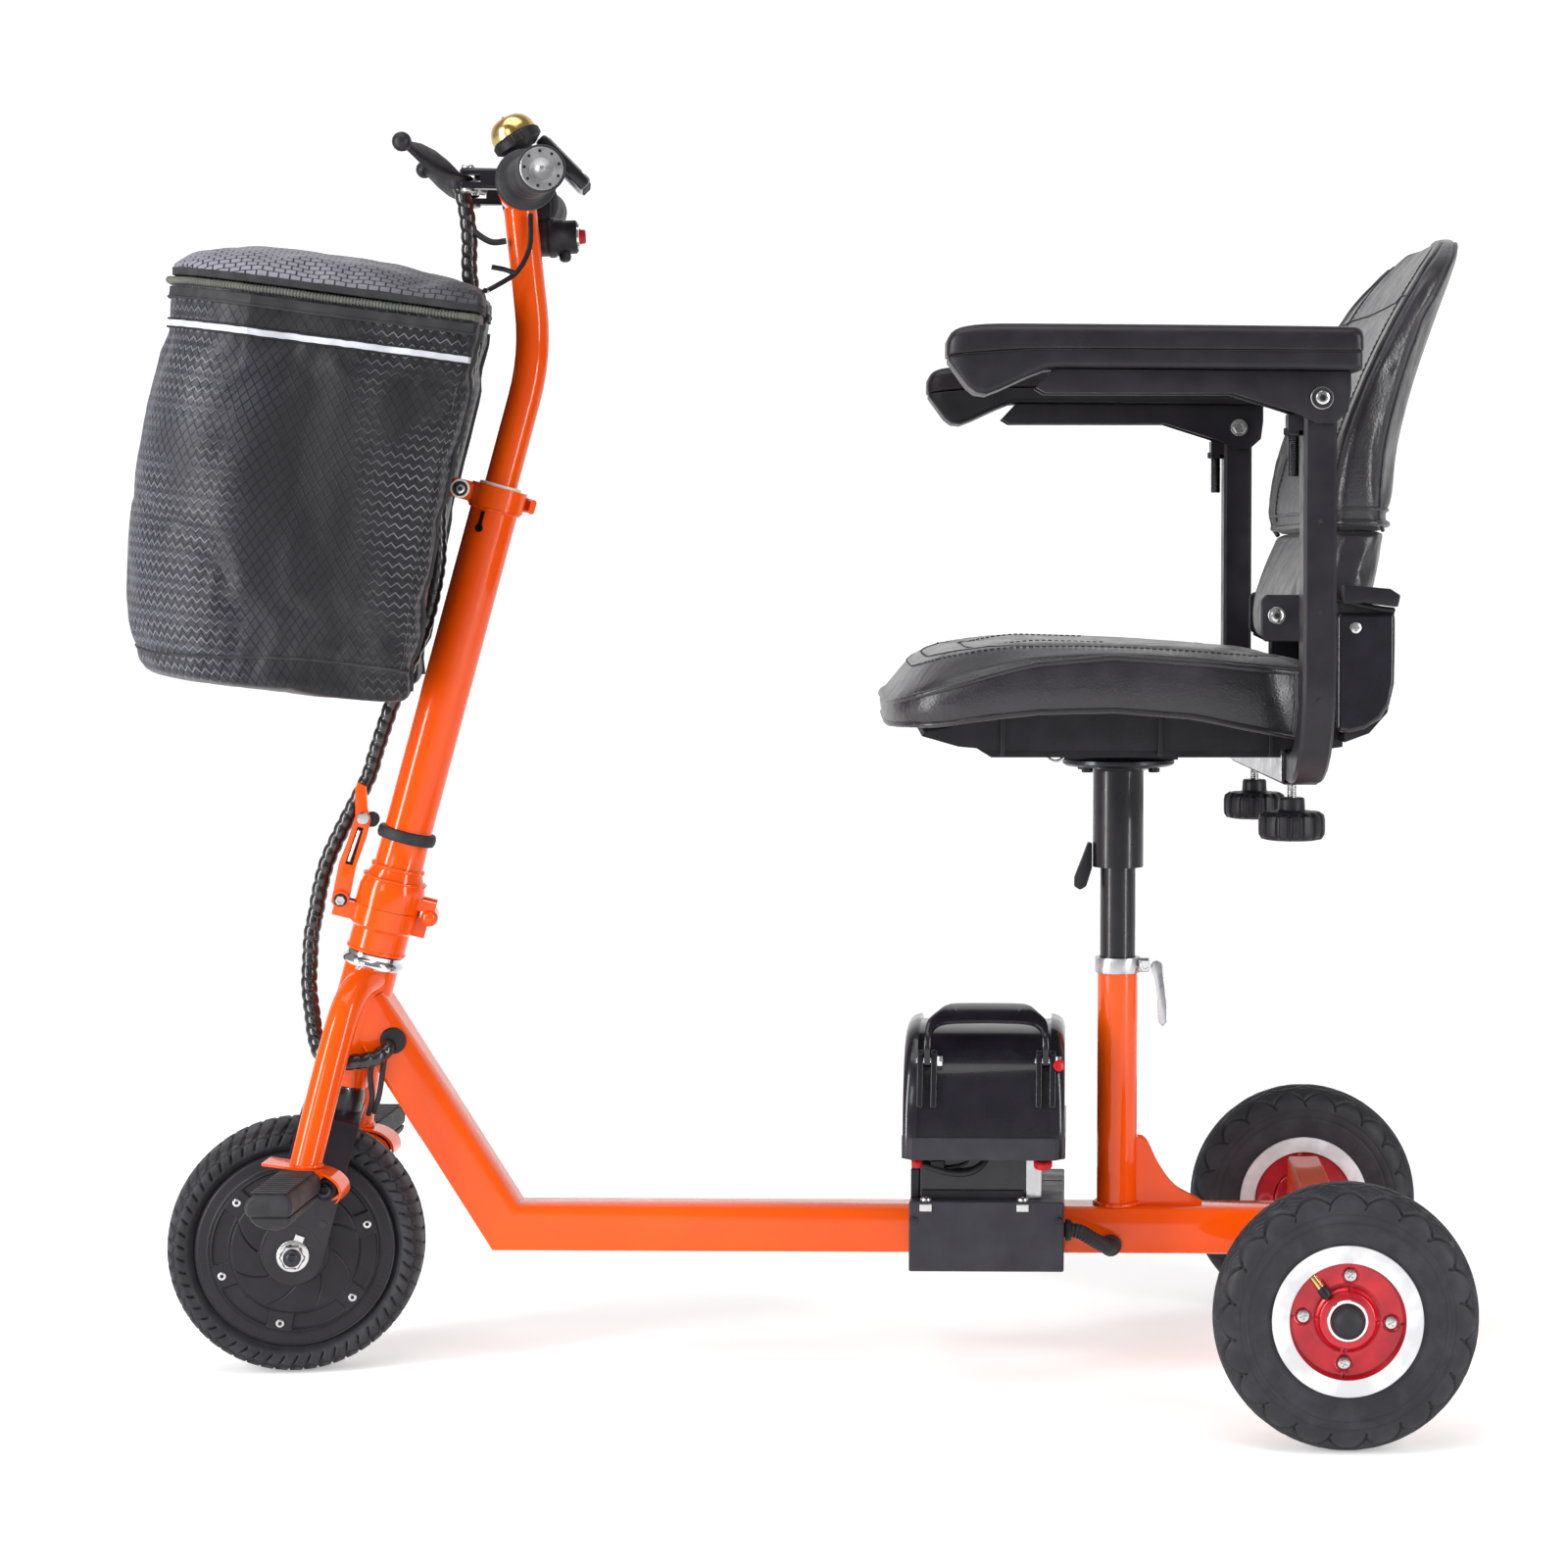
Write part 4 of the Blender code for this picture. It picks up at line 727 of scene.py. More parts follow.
def turned(outline, where, relief, segments=480, step=0.8):
    """Turned solid whose surface sinks by relief(angle, radius, height), all in millimetres."""
    loop = []
    for (r0, z0), (r1, z1) in zip(outline, outline[1:] + outline[:1]):
        count = max(1, round(math.hypot(r1 - r0, z1 - z0) / step))
        loop += [(r0 + (r1 - r0) * k / count, z0 + (z1 - z0) * k / count) for k in range(count)]
    size = len(loop)
    area = sum(loop[i - 1][0] * loop[i][1] - loop[i][0] * loop[i - 1][1] for i in range(size))
    sign = 1 if area > 0 else -1
    normals = []
    for i in range(size):
        dr = loop[(i + 1) % size][0] - loop[i - 1][0]
        dz = loop[(i + 1) % size][1] - loop[i - 1][1]
        span = math.hypot(dr, dz) or 1
        normals.append((sign * dz / span, -sign * dr / span))
    rings = []
    for k in range(segments):
        a = 2 * math.pi * k / segments
        ring = []
        for (r, z), (nr, nz) in zip(loop, normals):
            sink = relief(a, r, z)
            radius = r - nr * sink
            ring.append(place(where, radius * math.cos(a), radius * math.sin(a), z - nz * sink))
        rings.append(ring)
    return skin(rings, closed=True)


def rounded(points, step=1.0):
    """Smooth outline (millimetres) through points."""
    return [(p.x / MM, p.y / MM) for p in spline([Vector(point) * MM for point in points], step)]


def wheel_frame(joint, outward):
    """Frame on a wheel axle, looking outward."""
    return axis_frame(joint_point(joint), (0, outward, 0))


LOBES = 20


def scallop_tread(a, r, z):
    """Wave-edged lobes round the shoulder, hatched gussets between them, and seams on the sidewall."""
    sink = 0.0
    turn = a + (0.16 if z > 0 else 0.0)
    wave = abs(math.sin(turn * LOBES / 2))
    if abs(z) > 4 and r > 84:
        edge = 87.6 + 8.6 * wave**0.75
        sink = max(sink, groove(r - edge, 1.5, 2.0))
        cusp = (fraction(turn * LOBES / (2 * math.pi) + 0.5) - 0.5) * 2 * math.pi * r / LOBES
        if r < 90:
            sink = max(sink, groove(cusp + (r - 87) * 0.5, 1.3, 1.6))
        # painted shade: a thin dark block on the dome stands for the shade in its slit
        if r > edge + 1:
            sink = max(sink, groove((fraction(r * 0.55 + wave) - 0.5) * 2, 0.6, 0.7))
        if r < 92:
            sink -= 0.6 * smooth_step(84, 88, r) * wave
    if abs(z) <= 12:
        zig = 3.5 * abs(2 * fraction(turn * 3 * LOBES / (2 * math.pi)) - 1)
        sink = max(sink, groove(abs(z) - 4 - zig, 1.0, 1.3))
        sink = max(sink, groove(z, 0.8, 1.0))
    for seam in (80.5, 74.0):
        if abs(z) > 12:
            sink = max(sink, groove(r - seam, 0.9, 0.7))
    if abs(z) > 12 and 63 < r < 70:
        sink -= 0.35 * smooth_step(0.25, 0.6, noise.noise(Vector((a * 30, r * 0.6, z))))
    return sink


def chevron_tread(a, r, z):
    """Block tread: slanted shoulder blocks parted by slits, and a zigzag centre groove."""
    sink = 0.0
    along = a * 54 / (2 * math.pi)
    side = abs(z)
    if r > 85.5 and side > 5:
        slant = 0.05 * (r - 92)
        slit = (fraction(along + slant) - 0.5) * 11.5
        sink = max(sink, groove(slit, 1.3, 2.1) * smooth_step(86, 88, r))
        if r > 95.5:
            half = (fraction(along + 0.5 + slant * 2) - 0.5) * 11.5
            sink = max(sink, groove(half, 1.1, 1.8))
        edge = 95.6 + 1.5 * abs(2 * fraction(along) - 1)
        sink = max(sink, groove(r - edge, 1.1, 1.6))
    if side <= 6:
        zig = 2.6 * abs(2 * fraction(along) - 1)
        sink = max(sink, groove(z - zig + 1.3, 1.0, 1.4))
    if side > 20 and r < 84:
        sink = max(sink, groove(r - 82.6, 0.5, 0.5))
    return sink


def fan_cover(a, r, z):
    """Hub-motor cover: six arc recesses, screw seats between them, curved fan lines and a ticked rim."""
    if abs(z) < 20:
        return 0.0
    sector = (fraction((math.degrees(a) - 19) / 60 + 0.5) - 0.5) * 60
    sink = 0.0
    if 50 < r < 68:
        away = (30 - abs(30 - abs(sector))) * math.pi / 180 * r
        inside = min(r - 52, 66 - r, away - 9.5)
        sink = 2.2 * smooth_step(0, 1.3, inside)
    if 29 < r < 51:
        bend = (fraction((math.degrees(a) + (r - 29) * 1.3) / 45 + 0.5) - 0.5) * 45 * math.pi / 180 * r
        sink = max(sink, groove(bend, 0.9, 0.9))
    sink = max(sink, groove(r - 51, 0.7, 0.6), groove(r - 68.4, 0.8, 1.0))
    sink = max(sink, groove(r - 78.5, 0.5, 0.5))
    if 72 < r < 76.5:
        sink -= 0.4 * smooth_step(0.5, 0.8, math.sin(a * 120)) * smooth_step(-0.2, 0.2, -math.sin(a))
    return sink


def dish_relief(a, r, z):
    """Seats of the four wheel screws, their short slots and the seam round the boss."""
    if abs(z) > 19.5 or abs(z) < 11:
        return 0.0
    sink = groove(r - 25.6, 0.9, 1.2)
    for k in range(4):
        off = a - math.radians(86 + 90 * k)
        across, along = r * math.sin(off), r * math.cos(off)
        distance = math.hypot(across, along - 33)
        sink = max(sink, 0.9 * (1 - smooth_step(5.8, 6.6, distance)))
        if 21 < along < 45:
            sink = max(sink, groove(across, 1.0, 0.7))
    return sink


def mirror_outline(half):
    """Full outline of something symmetric about z = 0 from its outer half."""
    return half + [(r, -z) for r, z in reversed(half)]


def add_screw(name, where, radius, height, body, style="socket", paint=None):
    """Screw head with painted shade in its socket: a dark disc set into the recess."""
    head = cross_screw(where, radius, height) if style == "cross" else socket_screw(where, radius, height)
    obj = add_piece(name, head, paint or ZINC, body)
    if style == "socket":
        level = height * 0.42
        # painted shade: a black rubber disc fills the socket
        add_piece(name + "_recess", lathe([(0, 0), (radius * 0.42, 0), (radius * 0.42, level),
            (0, level)], where, 24), RUBBER, body)
    return obj


def add_rear_wheel(tag, outward):
    """Rear wheel: treaded tyre, white rim, red hub, bearing, screws and valve."""
    body = f"rear_wheel_{tag}"
    where = wheel_frame(body, outward)
    half = [(49, 17), (54, 20.4), (60, 21.6), (68, 23.6), (78, 25), (85, 24.6), (91, 22), (96, 16.4),
        (99, 9.5), (100, 0)]
    outline = mirror_outline(rounded(half, 1.0)[:-1])
    tyre = turned(outline, where, scallop_tread, 720, 0.9)
    add_piece(f"rear_tyre_{tag}_treaded", tyre, TYRE, body, [f"rear_tyre_{tag}"], sharp=70)
    hub = [(8.4, -26), (14, -26), (14, -15), (42, -15), (43.4, -23), (46, -18), (48, -17), (48, 17),
        (46, 18)]
    hub += [(43.4, 23.2), (42, 14.6), (27, 13.2), (22, 17.5), (20.5, 19.4), (16, 20), (8.4, 20)]
    add_piece(f"rear_hub_{tag}_dished", turned(hub, where, dish_relief, 320, 0.9), RED, body,
        [f"rear_hub_{tag}"], sharp=50)
    for sign in (1, -1):
        ring = [(43.6, 18.6), (47.6, 18.6), (55.8, 21.4), (56.6, 22.4), (56, 23.6), (54.5, 24), (45, 24),
            (43.6, 23.4)]
        rim = lathe([(r, sign * z) for r, z in ring], where, 96)
        add_piece(f"rim_ring_{tag}_{'outer' if sign > 0 else 'inner'}", rim, WHITE, body)
    race = lathe([(12.9, 20), (15.6, 20), (15.6, 21.2), (15.1, 21.7), (13.4, 21.7), (12.9, 21.2)], where,
        64)
    add_piece(f"bearing_ring_{tag}", race, CHROME, body)
    for k in range(4):
        a = math.radians(86 + 90 * k)
        spot = where @ Matrix.Translation(Vector((33 * math.cos(a), 33 * math.sin(a), 13.1)) * MM)
        turn = Matrix.Rotation(random.uniform(0, 3), 4, "Z")
        add_screw(f"wheel_screw_{tag}_{k}", spot @ turn, 4.9, 2.4, body, "cross")
    a = math.radians(129 if outward < 0 else 51)
    heel = Vector((41.5 * math.cos(a), 41.5 * math.sin(a), 17)) * MM
    tip = Vector((30.5 * math.cos(a), 30.5 * math.sin(a), 20)) * MM
    stem = tube([where @ heel, where @ heel.lerp(tip, 0.5), where @ tip], 3.0, 20)
    add_piece(f"valve_stem_{tag}", stem, BRASS, body)
    cap_at = axis_frame(where @ tip, where.to_3x3() @ (tip - heel))
    cap = lathe([(0, -1), (4, -1), (4.2, 1), (4.2, 6), (3.2, 7.6), (0, 7.8)], cap_at, 12)
    add_piece(f"valve_cap_{tag}", cap, PLASTIC, body)


def add_front_wheel():
    """Hub-motor front wheel: treaded tyre, finned covers and their screws."""
    body = "front_wheel"
    where = axis_frame(FRONT_AXLE, -FORK_RIGHT)
    half = [(74, 17), (78, 18.6), (81, 20.4), (83.4, 23), (86, 26), (91.5, 28.4), (96, 27), (99.6, 23),
        (102.2, 15), (103.5, 0)]
    outline = mirror_outline(rounded(half, 1.0)[:-1])
    tyre = turned(outline, where, chevron_tread, 720, 0.9)
    add_piece("front_tyre_treaded", tyre, TYRE, body, ["front_tyre"], sharp=70)
    face = [(6.4, 31), (24, 31.8), (27, 31.2), (28.4, 29.3), (52, 28.2), (66, 27.2), (68, 26.4),
        (70, 24.6), (79.4, 23.8)]
    outline = face + [(80.4, 22), (79.4, 20.1), (73.5, 18)]
    add_piece("front_hub_motor", turned(mirror_outline(outline), where, fan_cover, 420, 0.9), PLASTIC,
        body, ["front_hub"], sharp=45)
    for sign in (1, -1):
        for k in range(6):
            a = math.radians(19 + 60 * k)
            spot = where @ Matrix.Rotation(0 if sign > 0 else math.pi, 4, "X")
            spot = spot @ Matrix.Translation(Vector((61 * math.cos(a), 61 * math.sin(a) * sign, 27.3)) * MM)
            add_screw(f"cover_screw_{k}_{'near' if sign > 0 else 'far'}", spot, 3.5, 1.8, body)


def add_axle_hardware():
    """Bright nuts, tabbed washers and black axle ends outside the fork."""
    for tag, sign in (("left", 1), ("right", -1)):
        where = axis_frame(FRONT_AXLE, -FORK_RIGHT * sign)
        disc = lathe([(6.6, 45.6), (12.9, 45.6), (12.9, 48.9), (12.2, 49.2), (6.6, 49.2)], where, 48)
        up = STEER.to_3x3() @ Vector((0.10, 0, 1))
        tab = [where @ (Vector((0, 0, 47.6)) * MM) + up.normalized() * d * MM for d in (10, 14, 17.5)]
        lug = strip(tab, [-FORK_RIGHT * sign] * 3, 8, 2.2)
        add_piece(f"tab_washer_{tag}", join(disc, lug), ZINC, "steering", bevel=0.3)
        nut = skin([hex_ring(where, 10.4, 49), hex_ring(where, 10.4, 53.6), hex_ring(where, 9.4, 54.8),
                    circle_ring(where, 7.2, 54.8), circle_ring(where, 7.0, 49.2)])
        add_piece(f"axle_nut_{tag}", nut, ZINC, "steering")
        end = where @ Matrix.Translation((0, 0, 0.0545))
        shaft = lathe([(0, 0), (7, 0), (7, 3.2), (6.2, 4), (0, 4)], end, 32)
        add_piece(f"axle_end_{tag}", shaft, DARK_METAL, "steering")
        add_screw(f"axle_socket_{tag}", end @ Matrix.Translation((0, 0, 0.004)), 4.6, 1.2, "steering",
            paint=DARK_METAL)
        # painted shade: a flat dark disc on the fork stands for the shade in its hole
        eye = axis_frame(place(STEER, 17, -sign * 46.6, 30), -FORK_RIGHT * sign)
        hole = lathe([(0, -0.6), (3.4, -0.6), (3.4, 0.35), (3.0, 0.5), (0, 0.5)], eye, 24)
        add_piece(f"fork_hole_{tag}", hole, RUBBER, "steering")


add_rear_wheel("left", -1)
add_rear_wheel("right", 1)
add_front_wheel()
add_axle_hardware()


# ---------------------------------------------------------------- harness


def wrapped(distance, angle):
    """Spiral wrap: flat overlapping turns with a step between them."""
    turn = fraction(distance / 10.5 + angle / (2 * math.pi))
    return 0.84 + 0.19 * math.sin(math.pi * turn) ** 0.6


def ribbed(distance, angle):
    """Ribs of the corrugated conduit."""
    return 0.95 + 0.07 * math.sin(distance * 2.1)


def steer_path(knots, step=1.2):
    """Smooth route from knots in the steering frame."""
    return spline([place(STEER, *knot) for knot in knots], step)


LOWER_RUN = [(31.9, -20, 181), (29.5, -29, 177), (24, -35.5, 170), (14, -38.5, 165), (2, -39, 161),
    (-16, -33, 158), (-27, -20, 168)]
LOWER_RUN += [(-37, -4, 188), (-45, 8, 206), (-50, 15, 226), (-54, 17, 245), (-55, 17, 262.4)]
FRONT_RUN = [(-55, 17, 262.5), (-57, 17, 284), (-57, 17, 308), (-52, 17, 338), (-43, 17, 381),
    (-42, 17, 404)]
FRONT_RUN += [(-41, 16, 425), (-40, 15, 440.5)]
UPPER_RUN = [(-40, 15, 440.6), (-38, 13, 460), (-32, 9, 500), (-30, 6, 530), (-33, 3, 570), (-42, 1, 605)]
UPPER_RUN += [(-47, 0, 633), (-47, -1, 662), (-48, -2, 700), (-50, -3, 730), (-56, -4, 772), (-69, -4, 806)]
UPPER_RUN += [(-76, -5, 832), (-86, -5, 857), (-97, -5, 877)]
REAR_RUN = [(227.5, -50, 126), (234, -50, 126), (242, -49, 124), (254, -45, 116), (263, -38, 110),
    (266, -27, 108)]
REAR_RUN += [(266, -20, 108)]


MOTOR_CABLES = {"rear": [(-325, -25, 266), (-327, -26, 250), (-331, -21, 228), (-337, -11, 212)],
                "front": [(-333, -27, 262), (-337, -27, 246), (-337, -20, 226), (-342, -9, 210)]}


def add_harness():
    """Spiral-wrapped run from the frame to the handlebar, in three lengths that meet where the scooter
    turns and folds.
    """
    runs = (("lower", LOWER_RUN, "frame", "steering"), ("front", FRONT_RUN, "steering", "column"))
    runs += (("upper", UPPER_RUN, "column", "stem_head"),)
    for tag, knots, first, second in runs:
        points = steer_path(knots)
        mesh = tube(points, 6.6, 20, wrapped)
        obj = add_piece(f"harness_{tag}", mesh, WRAP, None, sharp=60)
        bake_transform(obj)
        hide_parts(f"conduit_{tag}")
    for tag, knots in MOTOR_CABLES.items():
        points = spline([Vector(knot) * MM for knot in knots], 1.0)
        obj = add_piece(f"motor_cable_{tag}", tube(points, 2.3, 12), RUBBER, None, sharp=60)
        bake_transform(obj)
    points = spline([Vector(knot) * MM for knot in REAR_RUN], 0.8)
    add_piece("controller_harness", tube(points, 6.2, 18, ribbed), RUBBER, "frame", ["rear_conduit"],
        sharp=60)


add_harness()


# ---------------------------------------------------------------- soft goods


class Cover:
    """Cloth skin over a grid of rows, relaxed by a short simulation, with its UV in metres."""

    def __init__(self, name, rows, caps=(True, True), uv=None):
        self.rows = len(rows)
        self.count = len(rows[0])
        verts = [point + Vector((random.uniform(-1, 1), random.uniform(-1, 1),
            random.uniform(-1, 1))) * 0.0002
                 for ring in rows for point in ring]
        faces = []
        for r in range(self.rows - 1):
            for k in range(self.count):
                n = (k + 1) % self.count
                faces.append((self.at(r, k), self.at(r, n), self.at(r + 1, n), self.at(r + 1, k)))
        for wanted, row in zip(caps, (0, self.rows - 1)):
            if wanted:
                verts.append(sum(rows[row], Vector()) / self.count)
                hub = len(verts) - 1
                faces += [(self.at(row, k), self.at(row, (k + 1) % self.count),
                    hub) for k in range(self.count)]
        mesh = bpy.data.meshes.new(name)
        mesh.from_pydata(verts, [], faces)
        bm = bmesh.new()
        bm.from_mesh(mesh)
        bmesh.ops.recalc_face_normals(bm, faces=bm.faces)
        bm.to_mesh(mesh)
        bm.free()
        if uv:
            layer = mesh.uv_layers.new(name="UVMap")
            for face in mesh.polygons:
                columns = [index % self.count for index in face.vertices]
                wraps = max(columns) - min(columns) > 1
                for loop, index, k in zip(face.loop_indices, face.vertices, columns):
                    layer.data[loop].uv = uv(mesh.vertices[index].co, self.count if wraps and k == 0 else k)
        self.object = bpy.data.objects.new(name, mesh)
        bpy.context.scene.collection.objects.link(self.object)

    def at(self, row, k):
        return row * self.count + k % self.count

    def point(self, row, k):
        return self.object.data.vertices[self.at(row, k)].co.copy()

    def row_points(self, row):
        return [self.point(row, k) for k in range(self.count)]

    def column_points(self, k, first, last):
        return [self.point(row, k) for row in range(first, last + 1)]

    def settle(self, held, cap, pressure, growth=0.0, bending=0.6):
        """Relax as cloth for twenty frames, moving no point further than the cap (millimetres)."""
        obj, scene = self.object, bpy.context.scene
        rest = [vertex.co.copy() for vertex in obj.data.vertices]
        group = obj.vertex_groups.new(name="held")
        for row in range(self.rows):
            weight = held(row)
            if weight > 0:
                group.add([self.at(row, k) for k in range(self.count)], weight, "REPLACE")
        cloth = obj.modifiers.new("cloth", "CLOTH")
        cloth.settings.quality = 5
        cloth.settings.mass = 0.15
        cloth.settings.tension_stiffness = 20
        cloth.settings.compression_stiffness = 20
        cloth.settings.shear_stiffness = 8
        cloth.settings.bending_stiffness = bending
        cloth.settings.vertex_group_mass = "held"
        cloth.settings.use_pressure = True
        cloth.settings.uniform_pressure_force = pressure
        cloth.settings.shrink_min = -growth
        cloth.settings.effector_weights.gravity = 0
        cloth.collision_settings.use_collision = False
        cloth.point_cache.frame_start = 1
        cloth.point_cache.frame_end = 20
        for step in range(1, 21):
            scene.frame_set(step)
        relaxed = obj.evaluated_get(bpy.context.evaluated_depsgraph_get())
        moved = [vertex.co.copy() for vertex in relaxed.data.vertices]
        obj.modifiers.remove(cloth)
        obj.vertex_groups.remove(group)
        scene.frame_set(1)
        for vertex, before, after in zip(obj.data.vertices, rest, moved):
            shift = after - before
            if shift.length > cap * MM:
                shift *= cap * MM / shift.length
            vertex.co = before + shift

    def sink_row(self, row, depth):
        """Pull one row in along its normals, as a seam does."""
        vertices = self.object.data.vertices
        normals = [vertices[self.at(row, k)].normal.copy() for k in range(self.count)]
        for offset, share in ((-1, 0.35), (0, 1.0), (1, 0.35)):
            for k in range(self.count):
                vertices[self.at(row + offset, k)].co -= normals[k] * depth * share * MM

    def done(self, paint, body, hides, thickness=0.0):
        obj = self.object
        obj.data.materials.append(paint)
        obj.data.shade_smooth()
        if thickness:
            wall = obj.modifiers.new("wall", "SOLIDIFY")
            wall.thickness = thickness * MM
            wall.offset = -1
        mod = obj.modifiers.new("subdivide", "SUBSURF")
        mod.levels = 1
        mod.render_levels = 1
        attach(obj, body)
        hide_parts(*hides)
        return obj


def piping(name, points, radius, paint, body, closed=False, lift=0.0):
    """Round cord of binding along a seam."""
    if closed:
        points = points + points[:2]
    middle = sum(points, Vector()) / len(points)
    raised = [p + (p - middle).normalized() * lift * MM for p in points]
    return add_piece(name, tube(raised, radius, 8), paint, body, sharp=60)


def stitches(name, points, body, paint=None, length=3.0, gap=2.2, radius=0.45):
    """Row of short thread stitches that lie along points."""
    paint = paint or THREAD
    even = spline(points, 0.5)
    run = max(2, round(length / 0.5))
    pitch = run + max(1, round(gap / 0.5))
    parts = []
    for start in range(0, len(even) - run, pitch):
        ends = [even[start], even[start + run // 2], even[start + run]]
        parts.append(tube(ends, radius, 6))
    bm = join(*parts)
    return add_piece(name, bm, paint, body, sharp=70)


SEAT_EDGE = curve_through([(-196, 554), (-188, 557), (-144, 570), (-90, 585), (-48, 592), (-11, 592),
    (43, 588), (117, 581), (152, 578)])
SEAT_SEAM = curve_through([(-192, 560), (-182, 574), (-164, 590), (-121, 600), (-86, 601), (-10, 599),
    (71, 595), (130, 591), (152, 588)])
SEAT_BOTTOM = curve_through([(-196, 538), (-184, 539), (-152, 541), (-117, 546), (-64, 551), (-11, 551),
    (37, 547), (83, 538), (130, 530), (152, 529)])


def seat_plan(angle, fraction_out):
    """Point of the cushion's plan (a rounded rectangle) at a share of the way out."""
    c, s = math.cos(angle), math.sin(angle)
    power = 2 / 5.6
    x = math.copysign(abs(c) ** power, c) * 173 * fraction_out - 21.5
    y = math.copysign(abs(s) ** power, s) * 211 * fraction_out
    return x, y


def seat_rows(count=260):
    """Rows of the seat cushion, from its hem to its crown."""
    top, side, under = [], [], []
    angles = [2 * math.pi * k / count for k in range(count)]
    warp = [a + 0.22 * math.sin(4 * a) for a in angles]
    shares = [0.03 * k for k in range(1, 33)] + [0.985]
    for share in shares:
        ring = []
        for a in warp:
            x, y = seat_plan(a, share)
            dish = 6.5 * max(0.0, 1 - (share / 0.84) ** 2)
            crest = SEAT_SEAM(x) - dish
            rim = SEAT_EDGE(seat_plan(a, 1)[0])
            z = crest + (rim + 3.0 - crest) * smooth_step(0.80, 1.04, share) ** 1.15
            ring.append(place(SEAT, x, y, z))
        top.append(ring)
    for share in (0.0, 0.06, 0.12, 0.22, 0.32, 0.42, 0.52, 0.62, 0.72, 0.82, 0.90, 0.96, 1.0):
        ring = []
        for a in warp:
            x, y = seat_plan(a, 1)
            swell = 1.0 + 0.010 * math.sin(math.pi * share) - 0.012 * share
            z = SEAT_EDGE(x) * (1 - share) + SEAT_BOTTOM(x) * share
            x, y = seat_plan(a, swell)
            ring.append(place(SEAT, x, y, z))
        side.append(ring)
    for share in (0.965, 0.93, 0.9, 0.84, 0.78, 0.7, 0.6, 0.45, 0.3, 0.15):
        ring = []
        for a in warp:
            x, y = seat_plan(a, share)
            ring.append(place(SEAT, x, y, SEAT_BOTTOM(x) + 4.5 * smooth_step(1.0, 0.8, share)))
        under.append(ring)
    return top + side + under, len(shares), len(side)


def add_seat_cushion():
    """Seat cushion with its piping, seams and stitches."""
    rows, tops, sides = seat_rows()
    cover = Cover("seat_cushion_cover", rows)
    edge = tops
    foot = tops + sides - 1
    seam = 26

    def held(row):
        if row > foot + 2:
            return 1.0
        return 0.75 if row in (edge, foot, seam) else 0.0

    cover.settle(held, 5.0, 4.0, 0.0, 4.0)
    cover.sink_row(seam, 1.6)
    cover.sink_row(edge, 1.0)
    outline = cover.row_points(edge)
    lower = cover.row_points(foot)
    second = cover.row_points(foot - 1)
    seam_line = cover.row_points(seam)
    count = cover.count
    horseshoe = [cover.point(20, k) + Vector((0, 0, 0.0004)) for k in range(count // 4, 3 * count // 4 + 1)]
    near_seam = [cover.point(seam + 2, k) + Vector((0, 0, 0.0003)) for k in range(count // 5,
        4 * count // 5)]
    ends = []
    for sign in (-1, 1):
        columns = [k for k in range(count) if (SEAT.inverted() @ outline[k]).y * sign > 0.150]
        for lean in (118, 124):
            best = min(columns, key=lambda k: abs((SEAT.inverted() @ outline[k]).x / MM - lean))
            ends.append((sign, lean, cover.column_points(best, edge, foot)))
    cover.done(VINYL, "seat", ["seat_cushion"])
    piping("seat_piping_edge", outline, 2.5, VINYL, "seat", True, 0.4)
    piping("seat_piping_hem", lower, 2.0, VINYL, "seat", True, 0.3)
    piping("seat_piping_hem_upper", second, 0.7, THREAD, "seat", True, 0.6)
    add_piece("seat_seam_line", tube(seam_line + seam_line[:2], 1.0, 6), THREAD, "seat", sharp=60)
    for sign, lean, points in ends:
        tag = "left" if sign < 0 else "right"
        piping(f"seat_end_piping_{tag}_{lean}", points, 1.7, VINYL, "seat", lift=0.9)
    stitches("seat_stitches_panel", horseshoe, "seat")
    stitches("seat_stitches_seam", near_seam, "seat")


BACK_HALF = curve_through([(690, 178), (700, 185), (750, 190), (800, 190), (850, 188), (885, 180),
    (905, 158), (919, 122), (927, 70)])
BACK_FRONT = curve_through([(690, 424), (700, 421), (750, 432), (800, 452), (850, 478), (890, 500),
    (912, 514), (927, 524)])
BACK_REAR = curve_through([(690, 476), (700, 478), (750, 483), (800, 495), (850, 512), (890, 527),
    (912, 535), (927, 537)])
BACK_WING = curve_through([(690, 8), (700, 12), (750, 16), (800, 18), (850, 20), (890, 18), (912, 12),
    (927, 5)])
SHELL_HALF = curve_through([(602, 174), (612, 182), (640, 184), (690, 180)])
SHELL_FRONT = curve_through([(602, 403), (612, 399), (640, 402), (690, 424)])
SHELL_REAR = curve_through([(602, 441), (612, 448), (640, 458), (690, 472)])


def back_ring(z, half, front, rear, wing, count=180):
    """Plan section of the backrest: a pillow whose wings reach forward."""
    ring = []
    for k in range(count):
        a = 2 * math.pi * (k + 0.5) / count
        a += 0.12 * math.sin(2 * a)
        c, s = math.cos(a), math.sin(a)
        y = half * math.copysign(abs(c) ** 0.42, c)
        off = (rear - front) / 2 * math.copysign(abs(s) ** 0.5, s)
        x = (front + rear) / 2 - wing * abs(y / half) ** 2.4 * 0.95 + off
        ring.append(SEAT_TURN @ (Vector((x, y, z)) * MM))
    return ring


SEAT_TURN = SEAT @ Matrix.Translation(Vector((-SEAT_POST.x, -SEAT_POST.y, 0)))


